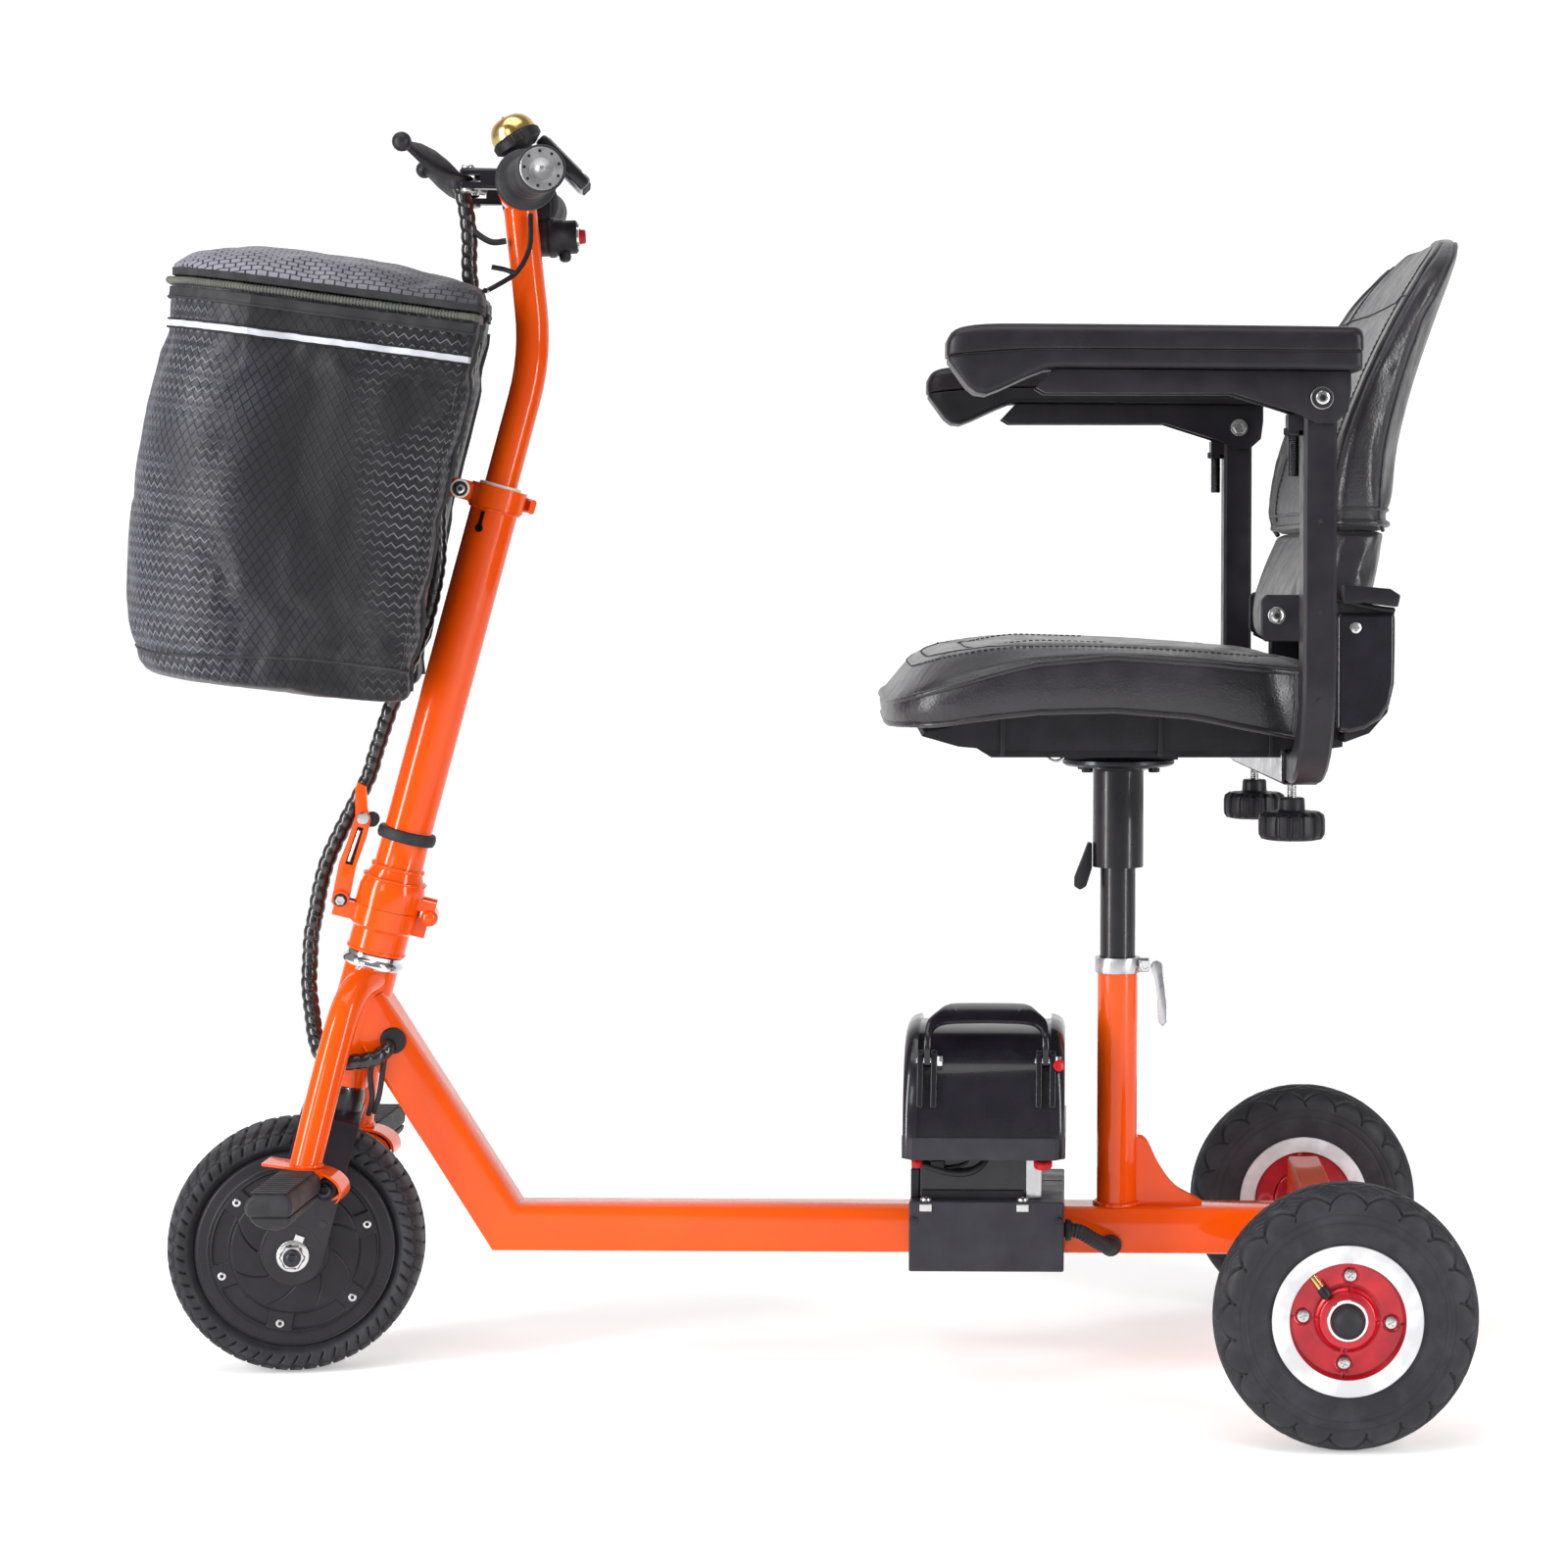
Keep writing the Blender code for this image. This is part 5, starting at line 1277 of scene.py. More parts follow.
def add_backrest():
    """Padded back cushion with piping and stitches, and the lower back."""
    heights = [690 + 5.4 * k for k in range(41)] + [914, 918, 921.5, 924.5, 926.8]
    rows = [back_ring(z, BACK_HALF(z), BACK_FRONT(z), BACK_REAR(z), BACK_WING(z)) for z in heights]
    cover = Cover("back_cushion_cover", rows)
    last = len(heights) - 1
    hem = 2
    cover.settle(lambda row: 1.0 if row < 2 else (0.6 if row in (hem, last) else 0.0), 2.2, 2.0, 0.0, 8.0)
    cover.sink_row(hem, 2.0)
    count = cover.count
    front_left, front_right = round(count * 0.565), round(count * 0.935)
    rear_left, rear_right = round(count * 0.435), round(count * 0.065)
    lines = {}
    for tag, k in (("front_left", front_left), ("front_right", front_right), ("rear_left", rear_left),
            ("rear_right", rear_right)):
        lines[tag] = cover.column_points(k, 0, last - 3)
    panel = {tag: cover.column_points(round(count * at), hem, last - 3) for tag,
        at in (("left", 0.66), ("right", 0.84))}
    around = [cover.row_points(row) for row in (hem - 1, hem + 1)]
    cross = [cover.point(last - 11, k) for k in range(round(count * 0.60), round(count * 0.90))]
    cover.done(VINYL, "backrest", ["back_cushion"])
    for side in ("left", "right"):
        over = lines[f"front_{side}"]
        piping(f"back_piping_{side}", over, 2.2, VINYL, "backrest", lift=0.6)
        piping(f"back_piping_rear_{side}", lines[f"rear_{side}"], 1.6, VINYL, "backrest", lift=0.4)
        add_piece(f"back_panel_seam_{side}", tube(panel[side], 0.8, 6), THREAD, "backrest", sharp=60)
        beside = [p + SEAT_TURN.to_3x3() @ Vector((-0.0004, 0.004 if side == "left" else -0.004,
            0)) for p in panel[side]]
        stitches(f"back_stitches_{side}", beside, "backrest")
    stitches("back_stitches_cross", [p + SEAT_TURN.to_3x3() @ Vector((-0.0005, 0, 0)) for p in cross],
        "backrest")
    for tag, ring, size in (("lower", around[0], 2.6), ("upper", around[1], 1.2)):
        piping(f"back_hem_{tag}", ring, size, VINYL, "backrest", True, 0.6)
    heights = [602, 604, 607, 611] + [616 + 5.3 * k for k in range(15)]
    rows = [back_ring(z, SHELL_HALF(z), SHELL_FRONT(z), SHELL_REAR(z),
        6 * smooth_step(610, 690, z)) for z in heights]
    shell = Cover("back_lower_cover", rows)
    shell.settle(lambda row: 1.0 if row < 2 or row > 17 else 0.0, 1.6, 0.8, 0.005, 3.0)
    shell.done(VINYL, "backrest", ["back_shell"])


def bag_plan(front, back, half, steps, dent=30.0):
    """D-shaped plan of the bag: round front corners and a hollow behind for the stem, evenly stepped."""
    wide, tight = min(84, half * 0.75), min(14, half * 0.3)
    inset = min(1.0, half / 130)
    knots = [(back - dent, 0), (back - dent, 28 * inset), (back - 3, 43 * inset), (back, 52 * inset)]
    knots += arc(back - tight, half - tight, tight, 0, 90, 3)
    knots += arc(front + wide, half - wide, wide, 90, 180, 8)
    whole = knots + [(x, -y) for x, y in reversed(knots[1:])]
    even = spline([Vector((x, y, 0)) * MM for x, y in whole + [whole[0]]], 1.0)
    total = len(even) - 1
    picked = [even[round(total * k / steps)] for k in range(steps)]
    return [(p.x / MM, p.y / MM) for p in picked]


BAG_ROWS = [(-74, 60, 96, -306), (-101, 96, 126, -301), (-113, 100, 133, -288), (-121, 101, 137, -262)]
BAG_ROWS += [(-126, 101, 139, -220), (-128, 106, 140, -140), (-122, 115, 139, -60), (-122, 120, 138, -16)]
BAG_ROWS += [(-121, 122, 137, 8)]
BAG_SHAPE = [curve_through([(row[3], row[i]) for row in BAG_ROWS]) for i in range(3)]
BAG_STEPS = 200
BAG_MIDDLE = bag_plan(-128, 113, 140, BAG_STEPS)
BAG_ROUND = 0.008 * round(sum(math.dist(p, q) for p, q in zip(BAG_MIDDLE,
    BAG_MIDDLE[1:] + BAG_MIDDLE[:1])) / 8)


def bag_uv(point, column):
    """Distance round the bag and height, in metres."""
    return column / BAG_STEPS * BAG_ROUND, (BAG.inverted() @ point).z


def flat_uv(point, column):
    local = BAG.inverted() @ point
    return local.x, local.y + local.z


def bag_folds(x, y, z):
    """Soft folds that run down the bag, deepest towards its front, and puckers above the bottom seam."""
    depth = noise.noise(Vector((x * 0.02, y * 0.02, z * 0.006)) + Vector((3, 0, 0))) * 8
    depth += noise.noise(Vector((x * 0.05, y * 0.05, z * 0.018))) * 2.0
    pucker = smooth_step(-232, -270, z) * smooth_step(-296, -280, z)
    swing = 5 * noise.noise(Vector((x, y, 0)) * 0.02)
    depth += 2.0 * pucker * math.sin(x * 0.32 + y * 0.4 + swing) * (0.4 + noise.noise(Vector((x, y,
        50)) * 0.03))
    return depth - 3.5


def add_bag():
    """Bag body with its zip, reflective strip and bindings, and the lid."""
    heights = [-306, -304, -301.5, -298, -293, -287, -281, -276]
    heights += [-271 + 5.05 * k for k in range(53)] + [-4.5, 0, 4, 8]
    rows = []
    for share in (0.15, 0.3, 0.45, 0.6, 0.75, 0.88):
        plan = bag_plan(-74, 60, 96, BAG_STEPS)
        rows.append([place(BAG, x * share, y * share, -306.5) for x, y in plan])
    first = len(rows)
    for z in heights:
        front, back, half = (shape(z) for shape in BAG_SHAPE)
        ring = []
        for x, y in bag_plan(front, back, half, BAG_STEPS):
            reach = math.hypot(x, y)
            fold = bag_folds(x, y, z) * smooth_step(-306, -285, z) * smooth_step(6, -30, z)
            fold *= smooth_step(back - 6, back - 40, x)
            sag = 11 * smooth_step(30, -115, x) * smooth_step(-180, -265,
                z) * (1 - 0.7 * smooth_step(-281, -301, z))
            ring.append(place(BAG, x * (1 + fold / reach), y * (1 + fold / reach), z - sag))
        rows.append(ring)
    cover = Cover("bag_body_cloth_shell", rows, (True, False), bag_uv)
    bottom_seam = first + 7
    rim = len(rows) - 1
    stripe = min(range(first, rim), key=lambda row: abs(heights[row - first] + 27))

    def held(row):
        if row >= rim - 2:
            return 1.0
        return 0.7 if row in (bottom_seam, stripe, stripe + 1) or row < first else 0.0

    cover.settle(held, 4.5, 1.0, 0.018, 0.2)
    cover.sink_row(bottom_seam, 1.6)
    strips = {tag: cover.row_points(row) for tag, row in (("seam", bottom_seam), ("low", stripe - 1),
        ("strip", stripe), ("high", stripe + 1), ("rim", rim - 1), ("rim_low", rim - 3))}
    count = cover.count
    columns = []
    for sign in (-1, 1):
        local = [(BAG.inverted() @ p) for p in strips["strip"]]
        side = [k for k in range(count) if local[k].y * sign > 0.10]
        columns.append((sign, max(side, key=lambda k: local[k].x)))
    edges = {sign: cover.column_points(k, bottom_seam - 3, rim - 2) for sign, k in columns}
    cover.done(CLOTH, "stem_head", ["bag_body"], thickness=1.6)

    def outward(points):
        middle = sum(points, Vector()) / len(points)
        return [(p - middle - (p - middle).project(BAG.to_3x3() @ Vector((0, 0,
            1)))).normalized() for p in points]

    def arc_part(points, lift):
        out = outward(points)
        pairs = [(p + n * lift * MM, n) for p, n in zip(points, out) if (BAG.inverted() @ p).x < 0.118]
        start = next(i for i in range(len(pairs)) if (pairs[i][0] - pairs[i - 1][0]).length > 0.02)
        pairs = pairs[start:] + pairs[:start]
        return [p for p, _ in pairs], [n for _, n in pairs]

    points, normals = arc_part(strips["strip"], 1.2)
    add_piece("bag_reflective_strip", strip(points, normals, 5.2, 0.7), REFLECTIVE, "stem_head")
    for tag, shift in (("upper", 3.3), ("lower", -3.3)):
        line = [p + BAG.to_3x3() @ Vector((0, 0, shift * MM)) for p in points]
        add_piece(f"bag_strip_edge_{tag}", tube(line, 0.8, 6), THREAD, "stem_head", sharp=60)
    points, normals = arc_part(strips["rim_low"], 1.0)
    add_piece("bag_zip_tape", strip(points, normals, 9, 1.0), TAPE, "stem_head")
    ridge = [p + BAG.to_3x3() @ Vector((0, 0, -0.004)) + n * 0.0008 for p, n in zip(points, normals)]
    add_piece("bag_zip_tape_hem", tube(ridge, 1.1, 6), TAPE, "stem_head", sharp=60)
    points, normals = arc_part(strips["rim"], 2.6)
    zipped = [p + BAG.to_3x3() @ Vector((0, 0, 0.0005)) for p in points]
    coil = tube(spline(zipped[::3] + [zipped[-1]], 0.4), 2.6, 8, lambda d, a: 1 + 0.18 * math.sin(d * 2.5))
    add_piece("bag_zip_coil", coil, TEETH, "stem_head", sharp=60)
    slider_at = axis_frame(points[8] + normals[8] * 0.0018, normals[8])
    slider = join(brick((-3.4, -5, -0.8), (3.4, 5, 2.2), slider_at), brick((-2, -1.6, 2), (2, 14, 3.4),
        slider_at))
    add_piece("bag_zip_slider", slider, DARK_METAL, "stem_head", bevel=0.6)
    piping("bag_bottom_seam", strips["seam"], 1.4, TAPE, "stem_head", True, 0.2)
    for sign, line in edges.items():
        add_piece(f"bag_rear_binding_{'left' if sign < 0 else 'right'}", tube(line[::2], 2.6, 10), TAPE,
            "stem_head", sharp=60)
    add_lid()


LID_ROWS = [(-119, 120, 135, 8.6), (-121, 122, 137, 10.5), (-121.5, 122.5, 137.2, 15),
    (-119, 122.5, 135, 20)]
LID_ROWS += [(-109, 121, 127, 26.5), (-86, 116, 104, 34), (-52, 92, 66, 38)]
LID_SHAPE = [curve_through([(row[3], row[i]) for row in LID_ROWS]) for i in range(3)]


def add_lid():
    """Domed lid, a little slack, that crumples towards its front."""
    rows = []
    for z in [8.6, 10, 12, 14, 16, 18, 20, 22.2, 24.5, 26.6, 28.8, 31, 33, 34.8, 36, 37.1, 38]:
        front, back, half = (shape(z) for shape in LID_SHAPE)
        ring = []
        for x, y in bag_plan(front, back, half, BAG_STEPS):
            crease = noise.noise(Vector((x * 0.035, y * 0.035, z * 0.08))) * 3.6 * smooth_step(15, 27, z)
            drop = 7 * smooth_step(-10, 122, x) * smooth_step(18, 38, z)
            ring.append(place(BAG, x, y, z + crease - drop))
        rows.append(ring)
    for share in (0.86, 0.72, 0.58, 0.44, 0.3, 0.15):
        ring = []
        for x, y in bag_plan(-52, 92, 66, BAG_STEPS):
            crease = noise.noise(Vector((x * share * 0.04, y * share * 0.04, 3.4))) * 3.4
            drop = 7 * smooth_step(-10, 122, x * share)
            ring.append(place(BAG, x * share, y * share, 39 + 1.5 * (1 - share) + crease - drop))
        rows.append(ring)
    cover = Cover("bag_lid_cloth_shell", rows, (False, True), flat_uv)
    cover.settle(lambda row: 1.0 if row < 4 else 0.0, 3.5, 0.8, 0.02, 0.2)
    lower, upper = cover.row_points(1), cover.row_points(3)
    cover.done(LID_CLOTH, "lid", ["bag_lid"], thickness=1.4)
    for tag, ring, size in (("tape_edge", lower, 1.3), ("tape_ridge", upper, 1.0)):
        piping(f"bag_lid_{tag}", ring, size, TAPE, "lid", True, 0.3)
    points = cover_band(lower, upper)
    add_piece("bag_lid_zip_tape", points, TAPE, "lid")


def cover_band(lower, upper):
    """Band of tape between two rows, just outside them."""
    middle = sum(lower, Vector()) / len(lower)
    rings = []
    for low, high in zip(lower, upper):
        out = (low - middle).normalized() * 0.0009
        rings.append([low + out * 0.2, low + out * 1.4, high + out * 1.4, high + out * 0.2])
    return skin(rings, closed=True)


add_seat_cushion()
add_backrest()
add_bag()


# ---------------------------------------------------------------- armrests and seat hardware


def arm_frame(side):
    """Frame of one armrest."""
    return Matrix.Translation(SEAT_TURN @ (Vector((398.5, side * ARM_Y,
        ARM_PIVOT_Z)) * MM)) @ SEAT_TURN.to_3x3().to_4x4()


def rounded_ring(where, x, half, low, high, upper, lower):
    """Section across an armrest: a box with its own corner radius above and below."""
    upper, lower = min(upper, (high - low) * 0.55), min(lower, (high - low) * 0.4)
    points = arc(half - upper, high - upper, upper, 0, 90, 6) + arc(upper - half, high - upper, upper, 90,
        180, 6)
    points += arc(lower - half, low + lower, lower, 180, 270, 4) + arc(half - lower, low + lower, lower,
        270, 360, 4)
    return [place(where, x, y, z) for y, z in points]


def add_arm(side):
    """Armrest: soft pad, moulded shell, pivot screw and adjuster."""
    tag = "left" if side < 0 else "right"
    body, where = f"arm_{tag}", arm_frame(side)
    roof = curve_through([(-279.5, 40), (-276, 46), (-268, 50), (-250, 52.4), (-220, 53), (22, 53),
        (28, 51.6), (30, 49)])
    seam = curve_through([(-279.5, 28.4), (-264, 30.4), (-215, 33.8), (30, 34.8)])
    keel = curve_through([(-278, 25), (-270, 14), (-262, 3.8), (-256, 0.8), (-249, 0.6), (-222, 12.6),
        (-206, 19.6), (-198, 20.6), (28, 20.6)])
    half = curve_through([(-279.5, 19), (-278, 23), (-273, 26.4), (-264, 28), (24, 28), (28.4, 26.6),
        (30, 24)])
    stations = [-279.5, -279, -278, -276, -273, -269, -264, -258, -250, -240, -222, -215, -206,
        -198] + list(range(-180, 21, 20)) + [24, 27, 29, 30]
    skin_top = [rounded_ring(where, x, half(x), seam(x), roof(x), 8.5, 1.6) for x in stations]
    skin_low = [rounded_ring(where, x, half(x) - 0.8, min(keel(x), seam(x) - 1.5), seam(x) - 0.7, 1.2,
        4.5) for x in stations[2:-1]]
    pad = add_piece(f"arm_pad_{tag}_top", skin(skin_top), PAD, body, [f"arm_pad_{tag}"], 60)
    add_piece(f"arm_pad_{tag}_shell", skin(skin_low), PLASTIC, body, sharp=50)
    groove_line = [place(where, x, y, z) for x, y, z in ((27, side * 27.3, 34.3),
        (-214, side * 27.3, 33.3), (-264, side * 27.3, 29.9), (-277, side * 26, 27.6))]
    add_piece(f"arm_pad_{tag}_seam", tube(groove_line, 0.6, 6), THREAD, body, sharp=60)
    outer = axis_frame(place(where, 0, side * 17.1, 0), where.to_3x3() @ Vector((0, side, 0)))
    inner = axis_frame(place(where, 0, -side * 17.1, 0), where.to_3x3() @ Vector((0, -side, 0)))
    add_piece(f"arm_washer_{tag}", washer(outer, 8.6, 1.3), ZINC, body)
    add_piece(f"arm_washer_seal_{tag}", lathe([(0, 1.3), (7.8, 1.3), (7.8, 1.9), (0, 1.9)], outer, 40),
        RUBBER, body)
    add_screw(f"arm_bolt_{tag}", outer @ Matrix.Translation((0, 0, 0.0018)), 5.4, 2.8, body)
    add_piece(f"arm_inner_washer_{tag}", washer(inner, 7.6, 1.2), ZINC, body)
    add_piece(f"arm_nut_{tag}", hex_nut(inner @ Matrix.Translation((0, 0, 0.0012)), 6.2, 4.6, 0.55), ZINC,
        body)
    post = f"arm_support_{tag}"
    stub = axis_frame(place(where, -19, 0, -14), (0, 0, -1))
    threads = tube([place(stub, 0, 0, z * 0.5) for z in range(4, 88)], 4.2, 16,
        lambda d, a: 1 + 0.09 * math.sin(d * 4.2 + a))
    add_piece(f"arm_adjuster_{tag}", threads, DARK_METAL, post, sharp=60)
    add_piece(f"arm_adjuster_nut_{tag}", hex_nut(stub @ Matrix.Translation((0, 0, 0.008)), 7.4, 5.5, 0.6),
        DARK_METAL, post)
    for z in (-92, -160, -226):
        spot = axis_frame(place(where, 0, side * 12.6, z), where.to_3x3() @ Vector((0, side, 0)))
        add_piece(f"arm_post_plug_{tag}_{-z}", lathe([(0, -0.2), (1.6, -0.2), (1.6, 0.25), (0, 0.4)],
            spot, 20), RUBBER, post)


def knob_flutes(a, r, z):
    """Flutes round a lock knob."""
    wave = (fraction(a * 16 / (2 * math.pi)) - 0.5) * 2 * math.pi * r / 16
    return groove(wave, 2.4, 2.2) * smooth_step(20, 23, r) * smooth_step(445, 449, z) * smooth_step(470,
        466, z)


def add_knob(side):
    """Fluted lock knob under an armrest."""
    tag = "left" if side < 0 else "right"
    where = SEAT_TURN @ Matrix.Translation(Vector((398.5, side * 115, 0)) * MM)
    outline = [(0, 446), (19, 446), (24, 447), (26, 450), (26.4, 453), (26.4, 462), (25.6, 466),
        (22, 468.4), (11.5, 468.6)]
    outline += [(10.6, 470), (10.2, 478), (9.4, 479.4), (0, 479.4)]
    solid = turned(outline, where, knob_flutes, 240, 1.2)
    add_piece(f"arm_knob_{tag}_fluted", tidy(solid), PLASTIC, f"knob_{tag}", [f"arm_knob_{tag}"], 60)
    screw = tube([place(where, 0, 0, 479 + 0.5 * k) for k in range(27)], 3.6, 16,
        lambda d, a: 1 + 0.08 * math.sin(d * 4.5 + a))
    add_piece(f"arm_knob_screw_{tag}", screw, ZINC, f"knob_{tag}", sharp=60)


def add_seat_hardware():
    """Hinge plates, cup, ribs and screws below the seat."""
    face = brick((112.2, -164, 494.8), (112.9, 164, 519.5), SEAT)
    add_piece("receiver_face", face, ALLOY, "seat", bevel=0.3)
    for side, tag in ((-1, "left"), (1, "right")):
        low, high = sorted((side * 190.6, side * 195.2))
        front = 92 if side < 0 else 132
        plate = prism([(front + 3, 604), (148, 604), (152, 620), (152, 640), (front + 4, 640),
            (front, 636), (front, 608)], low, high, SEAT)
        add_piece(f"back_hinge_plate_{tag}", plate, PLASTIC, "seat", bevel=1.8, segments=3, sharp=50)
        out = SEAT.to_3x3() @ Vector((0, side, 0))
        pivot = axis_frame(place(SEAT, front + 12, side * 195.2, 624), out)
        add_piece(f"back_hinge_washer_{tag}", washer(pivot, 6.6, 0.8), ZINC, "seat")
        add_screw(f"back_hinge_bolt_{tag}", pivot @ Matrix.Translation((0, 0, 0.0008)), 5.0, 2.4, "seat")
        rim = axis_frame(place(SEAT, 164, side * 200.3, 615), out)
        add_screw(f"cup_screw_{tag}", rim, 4.6, 2.0, "seat", "cross")
        swell = [(150, 536), (160, 534), (172, 537), (184, 545), (191, 556), (194.6, 572), (195, 600),
            (195, 626), (150, 626)]
        low, high = sorted((side * 193, side * 200.5))
        add_piece(f"cup_side_{tag}", prism(swell, low, high, SEAT), GLOSS, "seat", bevel=6, segments=8,
            sharp=60)
        lip = [place(SEAT, x, side * 197.5, z) for x, z in ((150, 637), (170, 632), (184, 629.5),
            (194, 628.4))]
        add_piece(f"cup_lip_{tag}", tube(lip, 2.3, 10), PLASTIC, "seat", sharp=60)
    lip = [place(SEAT, 194, y, 628.4) for y in range(-192, 193, 8)]
    add_piece("cup_lip_rear", tube(lip, 2.3, 10), PLASTIC, "seat", sharp=60)
    loop = [place(SEAT, x, -8, z) for x, z in ((198, 630), (206, 615), (207, 590), (202, 562), (190, 538),
        (176, 527), (160, 521))]
    path = spline(loop, 4)
    normals = [(SEAT.to_3x3() @ Vector((0.9, 0, -0.35))) for _ in path]
    add_piece("cup_strap", strip(path, normals, 22, 2.0), TAPE, "seat", bevel=0.4)
    strap = [SEAT_TURN @ (Vector((BACK_REAR(z) + 3.5, 0, z)) * MM) for z in range(735, 892, 6)]
    add_piece("back_strap", strip(strap, [SEAT_TURN.to_3x3() @ Vector((1, 0, -0.3))] * len(strap), 25,
        2.2), TAPE, "backrest", bevel=0.5)
    clip_at = axis_frame(strap[-3] + SEAT_TURN.to_3x3() @ Vector((0.002, 0, 0)),
        SEAT_TURN.to_3x3() @ Vector((1, 0, -0.35)))
    add_piece("back_strap_clip", brick((-14, -9, -1), (14, 9, 4), clip_at), PLASTIC, "backrest", bevel=2)
    for y in (-90, 90):
        for x in (-104, 18, 104):
            rib = brick((x - 1.6, y - 78, 515), (x + 1.6, y + 78, 545), SEAT)
            add_piece(f"pan_rib_{'left' if y < 0 else 'right'}_{x + 200}", rib, PLASTIC, "seat", bevel=0.5)
    for k, (x, y) in enumerate(((-38, -24), (38, -24), (-38, 24), (38, 24))):
        spot = axis_frame(place(SEAT, x * 0.72, y * 0.9, 497.2), (0, 0, -1))
        add_piece(f"swivel_bolt_{k}", hex_nut(spot, 4.6, 3.6, 0.4), DARK_METAL, "seat_pillar")
    plate = lathe([(20.9, 498), (43, 498), (46, 500), (46, 503.4), (43, 504.2), (20.9, 504.2)], SEAT, 64)
    add_piece("swivel_plate", plate, DARK_METAL, "seat_pillar", bevel=0.4)
    wire = [place(SEAT, x, y, z) for x, y, z in ((-62, -30, 512), (-60, -32, 506), (-54, -33, 503.5),
        (-48, -32, 506), (-46, -30, 512))]
    add_piece("pan_wire_loop", tube(spline(wire, 1), 1.2, 8), ZINC, "seat", sharp=60)


# ---------------------------------------------------------------- battery, dock and controller

POWER = Matrix.Rotation(-math.pi / 2, 4, "Z")


def add_battery():
    """Battery case trim: ears, pins, handle and port cap."""
    half = [(85, 190), (84.6, 206), (82.5, 226), (78, 244), (70, 261), (58, 276), (42, 286.5),
        (20, 291.4), (0, 292)]
    shape = rounded(half + [(-x, z) for x, z in reversed(half[:-1])], 3)
    sections = [(98.8, 9.5), (99.4, 7), (101, 4), (103.5, 1.8), (107, 0.4), (110, 0), (110.4, 3.6),
        (112, 4.2), (163.5, 4.2)]
    sections += [(327 - x, inset) for x, inset in reversed(sections[:-1])]
    rings = []
    for x, inset in sections:
        rings.append([Vector((x, -y * (1 - 0.5 * inset / 85),
            206 + (z - 206) * (1 - inset / 86) if z > 206 else z)) * MM for y, z in shape])
    add_piece("battery_shell", skin(rings), GLOSS, "battery", ["battery_case"], sharp=40)
    band = [[Vector((x, y, z)) * MM for x, y in ((98, -78), (106, -86.4), (221, -86.4), (229, -78),
        (229, 78), (221, 86.4), (106, 86.4), (98, 78))]
            for z in (188, 206)]
    add_piece("battery_base_band", skin(band), SHEET, "battery", bevel=1.0, segments=3)
    for x in (110, 205):
        for shift, tag in ((0, "outer"), (11, "inner")):
            outline = [(58, 268), (66, 273), (71, 271), (74.5, 262), (84, 230), (80, 228), (60, 256)]
            ear = prism(outline, x + shift, x + shift + 5, POWER)
            add_piece(f"battery_ear_{x}_{tag}", ear, GLOSS, "battery", bevel=0.9, segments=3)
        pin = axis_frame(Vector((x - 0.8, -70, 265)) * MM, (1, 0, 0))
        add_piece(f"battery_pin_{x}", lathe([(0, 0), (2.4, 0), (2.4, 19.5), (0, 19.5)], pin, 20), CHROME,
            "battery")
        head = axis_frame(Vector((x + 16.2, -70, 265)) * MM, (1, 0, 0))
        add_piece(f"battery_pin_head_{x}", hex_nut(head, 4.4, 4.2, 0.3), CHROME, "battery")
    plug = axis_frame(Vector((223.5, -74, 262)) * MM, (0.3, -1, 0.35))
    add_piece("battery_port_cap", lathe([(0, -1), (4.6, -1), (4.6, 1.4), (3.6, 2), (0, 2)], plug, 32),
        RED_PLASTIC, "battery")
    curve_y = curve_through([(0, -72.5), (12, -72.5), (24, -64.5), (36, -54), (50, -41), (64, -28)])
    curve_z = curve_through([(0, 262), (12, 276), (24, 289), (36, 296.5), (50, 301.5), (64, 303.5)])
    outer = [(115.8, 0), (115.8, 10), (116, 18), (118, 30), (126, 44), (133, 58), (140, 63), (165.5, 64)]
    inner = [(120.4, 0), (120.4, 10), (121.2, 18), (124, 24), (130, 28), (140, 29.6), (150, 30),
        (165.5, 30.4)]
    rings = []
    for line in (outer, inner):
        line += [(331 - x, v) for x, v in reversed(line[:-1])]
    edges = [spline([Vector((x, v, 0)) * MM for x, v in line], 2.0) for line in (outer, inner)]
    count = 90
    for k in range(count + 1):
        ring = []
        for share, lift in ((0, 0), (0.5, 0.0), (1, 0), (1, 3.4), (0.8, 4.2), (0.2, 4.2), (0, 3.4)):
            a = edges[0][round((len(edges[0]) - 1) * k / count)]
            b = edges[1][round((len(edges[1]) - 1) * k / count)]
            p = a.lerp(b, share) / MM
            rise = Vector((0, -0.55, 0.83)) * lift
            ring.append(Vector((p.x, curve_y(p.y) + rise.y, curve_z(p.y) + rise.z)) * MM)
        rings.append(ring)
    add_piece("battery_grip_arch", skin(rings), GLOSS, "battery_grip", ["battery_handle"], sharp=50)


